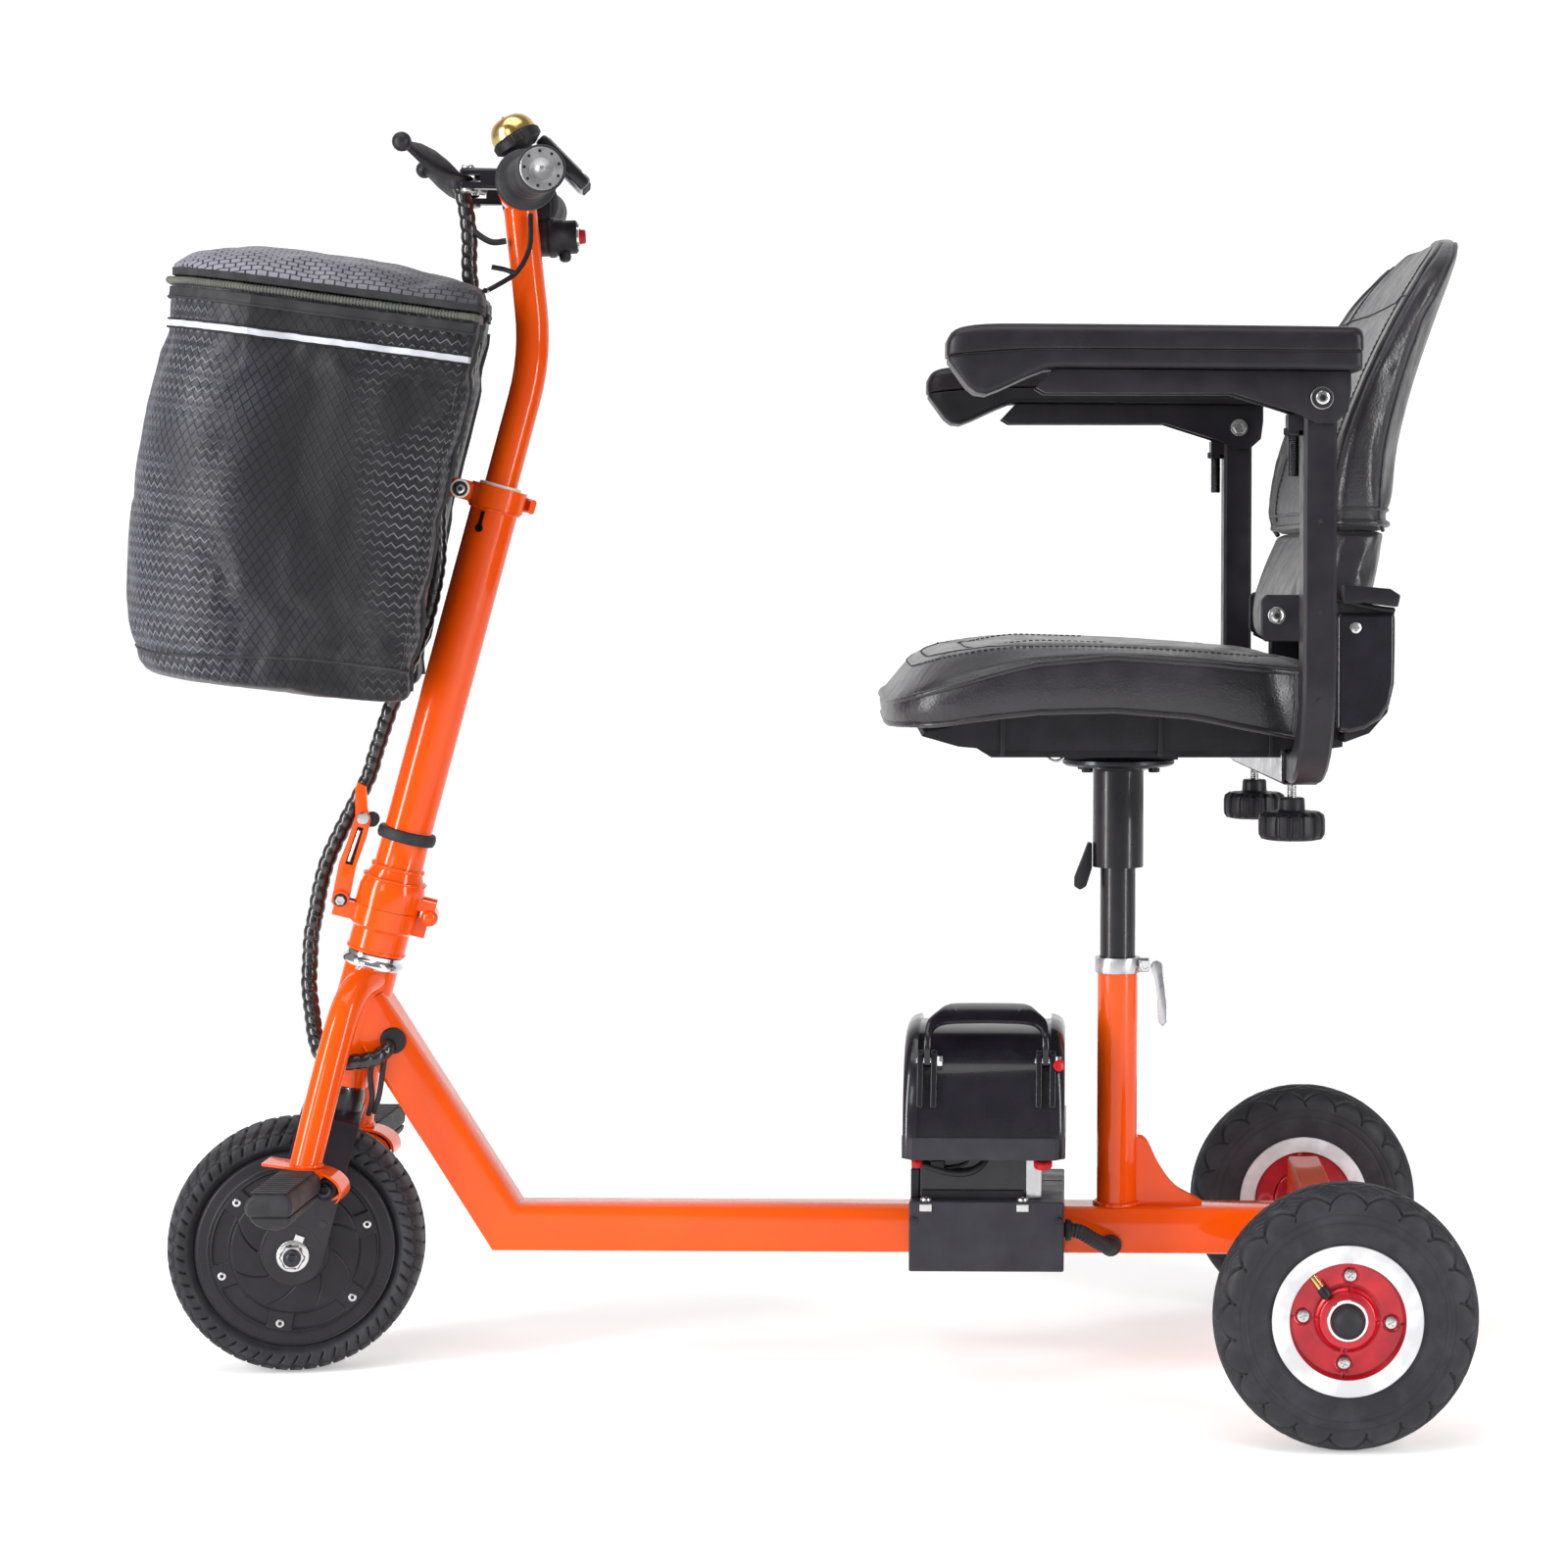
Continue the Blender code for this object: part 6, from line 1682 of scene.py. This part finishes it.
def add_controller():
    """Folded sheet controller box across the deck tube, with the dock and its wiring on top."""
    for name, low, high, paint, soft in (
        ("controller_shell_left", (104, -75, 97), (228, -19.6, 153), SHEET, 1.6),
        ("controller_shell_right", (104, 19.6, 97), (228, 75, 153), SHEET, 1.6),
        ("controller_bridge", (104.4, -30, 138.8), (227.6, 30, 152.6), SHEET, 0.8),
        ("dock_plinth", (112, -60, 152.6), (210, 60, 187.5), GLOSS, 1.8),
        ("dock_front_step", (113, -62.6, 152.6), (196, -59.5, 160), PLASTIC, 0.9),
        ("dock_end_plate", (197.6, -60.7, 153.2), (209.8, -59.4, 187), ALLOY, 0.4),
        ("dock_left_guide", (104.6, -58, 152.6), (111.6, 58, 176), PLASTIC, 1.0),
    ):
        hides = ["controller_box"] if name == "controller_shell_left" else []
        add_piece(name, brick(low, high, Matrix.Identity(4)), paint, "frame", hides, bevel=soft, segments=4)
    front = Vector((0, -1, 0))
    for k, x in enumerate((117.5, 195)):
        top = axis_frame(Vector((x, -68.5, 153)) * MM, (0, 0, 1))
        add_screw(f"ledge_screw_{k}", top, 4.6, 2.4, "frame", "cross")
        lug = brick((x - 5, -76.1, 145.2), (x + 5, -74.6, 151.2), Matrix.Identity(4))
        add_piece(f"box_lug_{k}", lug, ZINC, "frame", bevel=0.7)
    for k, x in enumerate((108.2, 223.8)):
        spot = axis_frame(Vector((x, -75.1, 138.6)) * MM, front)
        add_piece(f"box_screw_seat_{k}", lathe([(0, -0.4), (3.8, -0.4), (3.8, 0.3), (0, 0.4)], spot, 24),
            RUBBER, "frame")
        add_screw(f"box_screw_{k}", spot @ Matrix.Translation((0, 0, 0.0003)), 2.5, 1.0, "frame",
            paint=DARK_METAL)
    for tag, x, size in (("right", 211, 7.5), ("left", 110, 4.6)):
        spot = axis_frame(Vector((x, -68, 183.5)) * MM, (0, -0.4, 1))
        add_piece(f"dock_rocker_{tag}", lathe([(0, -3), (size, -3), (size, 1.5), (size - 1.2, 3),
            (0, 3.2)], spot, 32), RED_PLASTIC, "frame")
    loop = [Vector(p) * MM for p in ((109, -62, 184.5), (116, -66, 180.5), (128, -67, 176.5),
        (142, -67, 174), (153, -66, 175), (161, -64, 179.5), (166, -59, 185.5))]
    add_piece("dock_cable", tube(spline(loop, 1), 2.5, 12), RUBBER, "frame", sharp=60)
    thin = [Vector(p) * MM for p in ((106, -61, 186), (113, -64, 181.8), (123, -64, 178.8),
        (136, -64, 178), (148, -62, 181), (152, -60, 186))]
    add_piece("dock_cable_thin", tube(spline(thin, 1), 1.2, 8), RUBBER, "frame", sharp=60)
    add_piece("dock_connector", brick((121, -67.5, 178), (132, -61, 184.5), Matrix.Identity(4)), PLASTIC,
        "frame", bevel=0.8)
    for k, x in enumerate((230.5, 268)):
        knot = axis_frame(Vector(((x, -50, 126), (266, -22.5, 108))[k]) * MM, ((1, 0, 0), (0, -1, 0))[k])
        add_piece(f"harness_gland_{k}", lathe([(6.2, -1.6), (8.4, -1.6), (9, 0), (8.4, 3.2), (6.2, 3.6)],
            knot, 32), RUBBER, "frame")


# ---------------------------------------------------------------- handlebar


def bar_point(x, y, z):
    """Point in the handlebar frame."""
    return BAR @ (Vector((x, y, z)) * MM)


def grip_frame(side):
    """Frame along one grip."""
    sweep = math.radians(5)
    outer = bar_point(238 * math.sin(sweep), side * 238 * math.cos(sweep), 0)
    return axis_frame(outer, outer - bar_point(0, side * 60, 0))


def grip_ribs(a, r, z):
    """Ribs round a grip."""
    if r < 12 or z > -4 or z < -98:
        return 0.0
    sink = groove(fraction(z / 5.2) * 5.2 - 2.6, 0.7, 0.5) * smooth_step(-98, -90, z) * smooth_step(-18,
        -26, z)
    return sink


def add_grip(side):
    """Ribbed handlebar grip with its dotted end cap."""
    tag = "left" if side < 0 else "right"
    body = "stem_head" if side < 0 else "throttle"
    hides = "grip_left" if side < 0 else "throttle_grip"
    where = grip_frame(side)
    outline = [(11.4, -112), (21, -112), (23.6, -111), (24.2, -108.6), (23.6, -106), (21.5, -104.4),
        (18.6, -100), (17, -84)]
    outline += [(16.6, -60), (17, -30), (18, -12), (18.2, -2), (18.2, 2.6), (17.6, 3.6), (16.8, 3.8),
        (16.6, 2.6), (11.4, 2.2)]
    solid = turned(outline, where, grip_ribs, 128, 1.3)
    add_piece(f"grip_{tag}_ribbed", solid, RUBBER, body, [hides], sharp=60)
    disc = [(0, 1.8), (16.4, 1.8), (16.5, 3.4), (15.9, 4.0), (9.3, 4.1), (8.9, 3.5), (8.5, 3.5),
        (8.1, 4.0), (6, 3.8), (3.2, 3.0)]
    disc += [(2.2, 2.7), (1.5, 3.6), (0, 3.9)]
    add_piece(f"grip_cap_{tag}", lathe(disc, where, 72), ALLOY, body, sharp=30)
    for k in range(9):
        a = 2 * math.pi * k / 9 + 0.3
        spot = where @ Matrix.Translation(Vector((13.2 * math.cos(a), 13.2 * math.sin(a), 3.7)) * MM)
        add_piece(f"grip_cap_dot_{tag}_{k}", lathe([(0, 0), (1.2, 0), (1.2, 0.5), (0, 0.7)], spot, 16),
            DARK_METAL, body)
    inner = where @ Matrix.Translation((0, 0, -0.114))
    add_piece(f"grip_clamp_{tag}", lathe([(11.2, -6), (15.4, -6), (16, -5), (16, 0.4), (11.2, 0.6)],
        inner, 40), PLASTIC, body)


def add_bell():
    """Bell: dome with its slit, and the knurled base."""
    dome = [(17.6, 11.8), (18.8, 12.2), (18.7, 16), (17.6, 20.4), (15, 24.6), (11, 27.6), (6, 29.1),
        (0, 29.4)]
    inner = [(0, 27.8), (6, 27.5), (10.4, 26.2), (14, 23.4), (16.4, 19.6), (17.4, 15.6)]
    where = axis_frame(bar_point(4.4, -52, 30), (-0.52, 0, 0.85))
    add_piece("bell_brass_dome", lathe(dome + inner, where, 72), BRASS, "stem_head", ["bell_dome"],
        sharp=50)
    slit = brick((-6, -1.0, 28.9), (6, 1.0, 29.75), where)
    add_piece("bell_dome_slit", slit, RUBBER, "stem_head", bevel=0.3)

    def teeth(a, r, z):
        return groove((fraction(a * 40 / (2 * math.pi)) - 0.5) * 3.1, 0.9,
            1.1) if r > 17 and 1 < z < 10.5 else 0.0

    ring = [(9, 4.8), (19.2, 5.2), (20.2, 6), (20.4, 10.4), (19.8, 11.2), (9, 11.2)]
    add_piece("bell_knurled_base", turned(ring, where, teeth, 320, 1.2), PLASTIC, "stem_head", sharp=50)


def add_cockpit():
    """Display, switch pod, lever pivots, cable adjusters and cables."""
    tilt = BAR @ Matrix.Rotation(math.radians(45), 4, "Y")
    add_piece("display_glass", brick((-12, -31, 46.8), (26, 31, 47.7), tilt), GLOSS, "stem_head", bevel=0.4)
    for k, y in enumerate((-20, 0, 20)):
        spot = tilt @ Matrix.Translation(Vector((31, y, 46.8)) * MM)
        add_piece(f"display_button_{k}", lathe([(0, 0), (3.4, 0), (3.4, 0.9), (2.8, 1.4), (0, 1.5)], spot,
            28), RUBBER, "stem_head")
    for k in range(6):
        rib = brick((33.8, -30 + 11 * k, 37.5), (37.9, -25 + 11 * k, 45.5), tilt)
        add_piece(f"display_rib_{k}", rib, PLASTIC, "stem_head", bevel=0.5)
    pod = axis_frame(bar_point(31, 31, -35), (1, 0, 0.05))
    add_piece("switch_collar", lathe([(15.4, -6), (16.4, -6), (16.8, -5), (16.8, -2), (16.4, -1),
        (15.4, -1)], pod, 48), PLASTIC, "stem_head")
    add_piece("switch_bezel", lathe([(6.6, 17.4), (11.2, 17.4), (11.6, 18.2), (11, 19.6), (9.6, 20),
        (6.6, 19.4)], pod, 48), CHROME, "stem_head")
    lug = axis_frame(bar_point(38, 27, -51), (0.1, -0.2, -1))
    add_piece("switch_lug", lathe([(0, -3), (4.6, -3), (5, 0), (4.4, 3), (2.6, 4.2), (0, 4.4)], lug, 28),
        RUBBER, "stem_head")
    for side, tag in ((-1, "left"), (1, "right")):
        for level, up, name in ((11.4, 1, "top"), (-5.4, -1, "under")):
            spot = axis_frame(bar_point(-38, side * 90, level), (0, 0, up))
            add_screw(f"lever_pivot_{tag}_{name}", spot, 5.2, 2.6, "stem_head",
                "cross" if up > 0 else "socket")
        for z in (9, -9):
            spot = axis_frame(bar_point(9, side * 88, z), (1, 0, 0.35 if z > 0 else -0.35))
            add_screw(f"clamp_screw_{tag}_{'upper' if z > 0 else 'lower'}",
                spot @ Matrix.Translation((0, 0, 0.003)), 3.2, 2.4, "stem_head")
        throat = axis_frame(bar_point(-30, side * 78.5, 6), (-0.5, -side * 0.8, 0))
        adjuster = tube([place(throat, 0, 0, 0.5 * k) for k in range(32)], 3.6, 16,
            lambda d, a: 1 + 0.10 * math.sin(d * 3.6 + a))
        add_piece(f"cable_adjuster_{tag}", adjuster, ZINC, "stem_head", sharp=60)
        lock = place(throat, 0, 0, 9)
        add_piece(f"adjuster_nut_{tag}", hex_nut(axis_frame(lock, throat.to_3x3() @ Vector((0, 0, 1))),
            5.6, 2.8, 0.6), ZINC, "stem_head")
        run = [place(throat, 0, 0, 15), bar_point(-48, side * 56, 8), bar_point(-55, side * 34, 10),
            bar_point(-53, side * 14 - 4, 12)]
        run += [bar_point(-49.5, side * 4 - 5, 11), bar_point(-48, side * 2.5 - 5, 2)]
        add_piece(f"brake_cable_{tag}", tube(spline(run, 1.5), 2.3, 10), RUBBER, "stem_head", sharp=60)
    top = axis_frame(place(STEER, -97, -5, 874), STEER.to_3x3() @ Vector((-0.25, 0, 1)))
    add_piece("harness_cuff", lathe([(4.5, -6), (7.4, -6), (7.8, -5), (7.6, 2), (6.6, 4), (4.5, 4)], top,
        32), RUBBER, "stem_head")
    run = [place(STEER, -84, -5, 846), place(STEER, -72, -8, 838), place(STEER, -58, -11, 834),
        place(STEER, -47, -10, 838)]
    add_piece("stem_cable", tube(spline(run, 1.5), 2.6, 10), RUBBER, "stem_head", sharp=60)
    stub = [bar_point(-2, -22, -68), bar_point(-10, -24, -65), bar_point(-21, -25, -63)]
    add_piece("hanger_stub", tube(spline(stub, 1.5), 2.2, 10), SATIN, "stem_head", sharp=60)


# ---------------------------------------------------------------- welds, pins and joint hardware


def add_joint_hardware():
    """Latch, clamp, headset, welds, footrests and the seat clamp's nut and pin."""
    latch_pin = axis_frame(place(STEER, -37, -9.1, 352), -FORK_RIGHT)
    add_piece("latch_rivet", lathe([(0, -0.4), (5.2, -0.4), (5.2, 1), (4.4, 1.8), (0, 2)], latch_pin, 40),
        ZINC, "latch")
    pivot = axis_frame(place(STEER, -38, -11.1, 283), -FORK_RIGHT)
    add_piece("latch_pivot_seat", lathe([(0, -0.4), (5.4, -0.4), (5.4, 0.5), (0, 0.7)], pivot, 40),
        RUBBER, "steering")
    add_piece("latch_pivot_nut", hex_nut(pivot @ Matrix.Translation((0, 0, 0.0005)), 4.2, 3.2, 0.5), ZINC,
        "steering")
    knuckle = axis_frame(place(STEER, 35, -13.5, 286), -FORK_RIGHT)
    add_piece("fold_pin_head", lathe([(0, -0.4), (6.4, -0.4), (6.2, 1.6), (4.6, 3.4), (2, 4.2), (0, 4.4)],
        knuckle, 40), ORANGE, "column")
    roller = axis_frame(place(STEER, -30.5, -5.6, 352), FORK_RIGHT)
    add_piece("latch_roller", lathe([(0, 0), (5.4, 0), (6, 0.8), (6, 10.2), (5.4, 11), (0, 11)], roller,
        32), RUBBER, "latch")
    rod = [place(STEER, -39.8, -4.4, 314.5), place(STEER, -38, -4.4, 341)]
    add_piece("latch_rod", tube(spline(rod, 2), 1.5, 14), CHROME, "latch", sharp=60)
    # painted shade: a dark block fills the latch slot behind the rod
    slot_shade_block = prism([(-42.6, 311.4), (-35.4, 311.4), (-34.4, 344.6), (-40.6, 344.6)], -2.5, 2.5, STEER)
    add_piece("latch_slot_core", slot_shade_block, RUBBER, "latch")
    for name, radius, height, size, body in (
        ("weld_head_top", 23.2, 249, 1.4, "steering"), ("weld_joint_top", 20.2, 318.5, 2.0, "column"),
        ("weld_joint_lower", 25.2, 309, 1.3, "column"), ("weld_clamp_band", 20.0, 623.2, 1.6, "column"),
    ):
        add_piece(name, ring_bead(STEER, radius, height, size), ORANGE, body, sharp=80)
    crown = [(18, 235.8), (24.6, 235.8), (25.3, 236.8), (25.3, 239.4), (23.6, 242), (22.6, 243.2),
        (22.6, 246.2), (18, 246.5)]
    add_piece("headset_ring_turned", lathe(crown, STEER, 96), CHROME, "frame", ["headset_ring"])
    nut = [(12, 136.9), (19.4, 136.9), (20.2, 135.8), (20.2, 131.2), (18.6, 129.8), (17, 129.6),
        (17, 123.4), (12, 123)]
    add_piece("fork_lock_nut", lathe(nut, STEER, 72), CHROME, "steering")
    grommet = axis_frame(Vector((-320, -19, 272)) * MM, (0, -1, 0))
    rim = [(0, -0.5), (10.4, -0.5), (10.8, 1.0), (9.6, 2.4), (7.6, 2.6), (0, 2.7)]
    add_piece("harness_grommet", lathe(rim, grommet, 48), RUBBER, "frame")
    bush = lathe([(13.8, 641.6), (16.8, 641.6), (17.4, 642.4), (17.2, 644.2), (13.8, 644.6)], STEER, 48)
    add_piece("stem_bush", bush, CREAM, "column")
    pivot = axis_frame(place(STEER, -31, -11.6, 633), -FORK_RIGHT)
    add_piece("clamp_nylon_washer", washer(pivot, 7.8, 1.2), CREAM, "column")
    add_piece("clamp_ring", lathe([(0, 1.2), (6.2, 1.2), (6.2, 2.2), (0, 2.3)], pivot, 40), RUBBER,
        "column")
    add_screw("clamp_screw", pivot @ Matrix.Translation((0, 0, 0.0023)), 4.1, 1.8, "column")
    # painted shade: a dark disc and strip on the column stand for the shade in its keyhole slot
    eye = axis_frame(place(STEER, -8, -17.9, 606), STEER.to_3x3() @ Vector((-0.41, -0.91, 0)))
    add_piece("column_keyhole", lathe([(0, -1), (3.3, -1), (3.3, 0.25), (0, 0.35)], eye, 28), DARK_METAL,
        "column")
    bars = [eye @ (Vector((0, 0, 0.0001))) + COLUMN_UP * d * MM for d in (2, 8, 14)]
    add_piece("column_slot", strip(bars, [eye.to_3x3() @ Vector((0, 0, 1))] * 3, 3.2, 0.8), DARK_METAL,
        "column")
    for side in (-1, 1):
        collar = [bar_point(0, side * y, 0) for y in (21.5, 23.5, 25.2)]
        add_piece(f"bar_sleeve_weld_{'left' if side < 0 else 'right'}", tube(collar, 15.6, 32), ORANGE,
            "stem_head", sharp=60)
    add_piece("weld_seat_tube", ring_bead(SEAT @ Matrix.Translation((0, 0, 0.139)), 17.4, 0, 2.0), ORANGE,
        "frame", sharp=80)
    for side, tag in ((-1, "left"), (1, "right")):
        foot = Vector((-374, side * 97, 181)) * MM
        leg = spline([place(STEER, 2, side * 14, 228), Vector((-352, side * 52, 300)) * MM, foot], 1.5)
        add_piece(f"footrest_leg_{tag}", tube(leg, 12.5, 40), ORANGE, "frame", [f"footrest_{tag}"], 60)
        add_piece(f"weld_footrest_{tag}", ring_bead(Matrix.Translation(foot), 13.2, 3, 1.7), ORANGE,
            "frame", sharp=80)
        outer = [(-404, 188.4), (-385, 186), (-366, 183), (-352, 179), (-343, 172), (-340.6, 163.5),
            (-344, 157.5)]
        sheet = spline([Vector((x, 0, z)) for x, z in outer], 2000)
        top = [(x, z) for x, _, z in sheet]
        under = [(x + 0.5, z - 2.1) if x < -356 else (x - 2.0, z - 1.0) for x, z in top]
        hood = prism(top + under[::-1], *sorted((side * 83.6, side * 114.5)), Matrix.Identity(4))
        add_piece(f"footrest_hood_{tag}", hood, ORANGE, "frame", sharp=50)
        ear = rounded([(-385, 183), (-366, 179.5), (-352, 174), (-346, 168), (-345.5, 160), (-353, 154.5),
            (-364, 158), (-374, 172)], 2)
        plate = prism(ear, *sorted((side * 84.5, side * 88)), Matrix.Identity(4))
        add_piece(f"footrest_ear_{tag}", plate, ORANGE, "frame", bevel=0.4)
        bolt = axis_frame(Vector((-354, side * 112.2, 167)) * MM, (0, side, 0))
        add_screw(f"peg_bolt_{tag}", bolt, 5.6, 3.0, "frame", paint=DARK_METAL)
    for k, y in enumerate((-19.2, 19.2)):
        line = [Vector((x, y * 1.0, z)) * MM for x, z in ((423.2, 101), (423.2, 112), (423.2, 124),
            (423.2, 136))]
        add_piece(f"weld_beam_{k}", bead(spline(line, 1.0), 1.7), ORANGE, "frame", sharp=80)
    line = [Vector((423.4, y, 138.4)) * MM for y in range(-19, 20, 2)]
    add_piece("weld_beam_top", bead(line, 1.6), ORANGE, "frame", sharp=80)
    for side, tag in ((-1, "left"), (1, "right")):
        line = [place(SEAT, x, side * 4.3, z) for x, z in ((17, 193), (24, 190), (34, 170), (48, 152),
            (69, 140))]
        add_piece(f"weld_gusset_{tag}", bead(spline(line, 1.2), 0.9, 6), ORANGE, "frame", sharp=80)
        line = [place(SEAT, x, side * 4.6, 139) for x in range(17, 70, 2)]
        add_piece(f"weld_gusset_foot_{tag}", bead(line, 1.4), ORANGE, "frame", sharp=80)
    nut = axis_frame(place(SEAT, 22, -7.2, 334.5), (0, -1, 0))
    add_piece("seat_collar_nut", hex_nut(nut, 5.2, 4.2, 0.5), CHROME, "seat_clamp")
    cam = axis_frame(place(SEAT, 32.5, -5.1, 333), (0, -1, 0))
    add_piece("seat_lever_pin", lathe([(0, -0.2), (3, -0.2), (3, 1.2), (2.2, 1.8), (0, 1.9)], cam, 28),
        DARK_METAL, "seat_clamp")


def add_peg(side):
    """Rubber foot peg: ribbed tread, rounded shoulder and a half-moon underside."""
    tag = "left" if side < 0 else "right"
    low, high = sorted((side * 113.5, side * 213))
    outline = [(-392, 166), (-393, 172), (-391, 178), (-386, 182), (-364, 182.4), (-358, 180),
        (-356.4, 174), (-357, 166), (-361, 164.4), (-388, 164.4)]
    where = Matrix.Identity(4)
    add_piece(f"foot_peg_{tag}_body", prism(outline, low, high, where), RUBBER, "frame",
        [f"foot_peg_{tag}"], 60, 3.2, 5)
    moon = [(-390, 165), (-388, 161.5), (-384, 158), (-377, 155.3), (-369, 154.6), (-362, 156.4),
        (-358, 160.4), (-357, 165)]
    add_piece(f"foot_peg_{tag}_moon", prism(moon, *sorted((side * 121, side * 211)), where), RUBBER,
        "frame", [], 60, 2.4, 4)
    ribs = []
    for k in range(12):
        y = side * (117 + 8 * k)
        ribs.append(brick((-389, min(y, y + side * 4), 182), (-361, max(y, y + side * 4), 183.3), where))
    add_piece(f"foot_peg_{tag}_ribs", join(*ribs), RUBBER, "frame", bevel=0.5)
    eye = lathe([(0, 90.6), (8.4, 90.6), (9, 92), (9, 110.6), (8.4, 112), (0, 112)],
        axis_frame(Vector((-354, 0, 167)) * MM, (0, side, 0)), 36)
    add_piece(f"foot_peg_{tag}_eye", eye, PLASTIC, "frame")


for side in (-1, 1):
    add_arm(side)
    add_knob(side)
    add_grip(side)
    add_peg(side)
add_seat_hardware()
add_battery()
add_controller()
add_bell()
add_cockpit()
add_joint_hardware()


# ---------------------------------------------------------------- stage


def add_stage():
    """Pale studio floor that curves up behind the scooter."""
    depth = [(-6.0, 0.0), (3.0, 0.0)]
    depth += [(3.0 + 1.5 * math.sin(math.radians(a)),
        1.5 - 1.5 * math.cos(math.radians(a))) for a in range(6, 91, 6)]
    depth.append((4.5, 8.0))
    bm = bmesh.new()
    rows = [[bm.verts.new((x, y, z)) for x in (-9, 9)] for y, z in depth]
    for near, far in zip(rows, rows[1:]):
        bm.faces.new((near[0], near[1], far[1], far[0]))
    mesh = bpy.data.meshes.new("studio_floor")
    bm.to_mesh(mesh)
    bm.free()
    mesh.shade_smooth()
    pale = Paint("studio_white", (0.93, 0.93, 0.93), 0.9)
    pale.bump(pale.noise(3, 2), 0.01, 0.001)
    pale.shader.inputs["Emission Color"].default_value = (1, 1, 1, 1)
    pale.shader.inputs["Emission Strength"].default_value = 0.35
    mesh.materials.append(pale.material)
    floor = bpy.data.objects.new("studio_floor", mesh)
    bpy.context.scene.collection.objects.link(floor)


def add_light(name, position, target, size, watts, shape="RECTANGLE", height=None):
    """One soft area light aimed at a point."""
    data = bpy.data.lights.new(name, "AREA")
    data.shape = shape
    data.size = size
    data.size_y = height or size
    data.energy = watts
    lamp = bpy.data.objects.new(name, data)
    lamp.location = position
    lamp.rotation_mode = "QUATERNION"
    lamp.rotation_quaternion = (Vector(target) - Vector(position)).to_track_quat("-Z", "Y")
    bpy.context.scene.collection.objects.link(lamp)


def add_studio():
    """Soft studio light all round."""
    world = bpy.data.worlds.new("studio")
    world.use_nodes = True
    sky = world.node_tree.nodes["Background"]
    sky.inputs["Color"].default_value = (1, 1, 1, 1)
    sky.inputs["Strength"].default_value = 0.26
    bpy.context.scene.world = world
    bpy.context.scene.view_settings.view_transform = "Standard"
    bpy.context.scene.view_settings.look = "None"
    middle = (0, 0, 0.5)
    add_light("top_softbox", (-0.4, -0.8, 3.2), middle, 3.0, 48, height=2.0)
    add_light("front_softbox", (-1.8, -3.6, 1.9), middle, 1.0, 18, height=1.2)
    add_light("left_strip", (-2.2, -1.5, 0.9), (0, 0, 0.6), 0.45, 75, height=2.4)
    add_light("right_strip", (2.4, -1.6, 1.0), (0.2, 0, 0.6), 0.4, 50, height=2.4)


def add_camera():
    """Camera square to the scooter's left side, a little off centre."""
    data = bpy.data.cameras.new("view")
    data.lens = 75.3
    data.sensor_width = 36
    data.shift_x = -0.1847
    data.shift_y = -0.1338
    camera = bpy.data.objects.new("view", data)
    camera.location = (0.2335, -2.696, 0.655)
    camera.rotation_euler = (math.radians(90), math.radians(-0.25), 0)
    bpy.context.scene.collection.objects.link(camera)
    bpy.context.scene.camera = camera


add_stage()
add_studio()
add_camera()
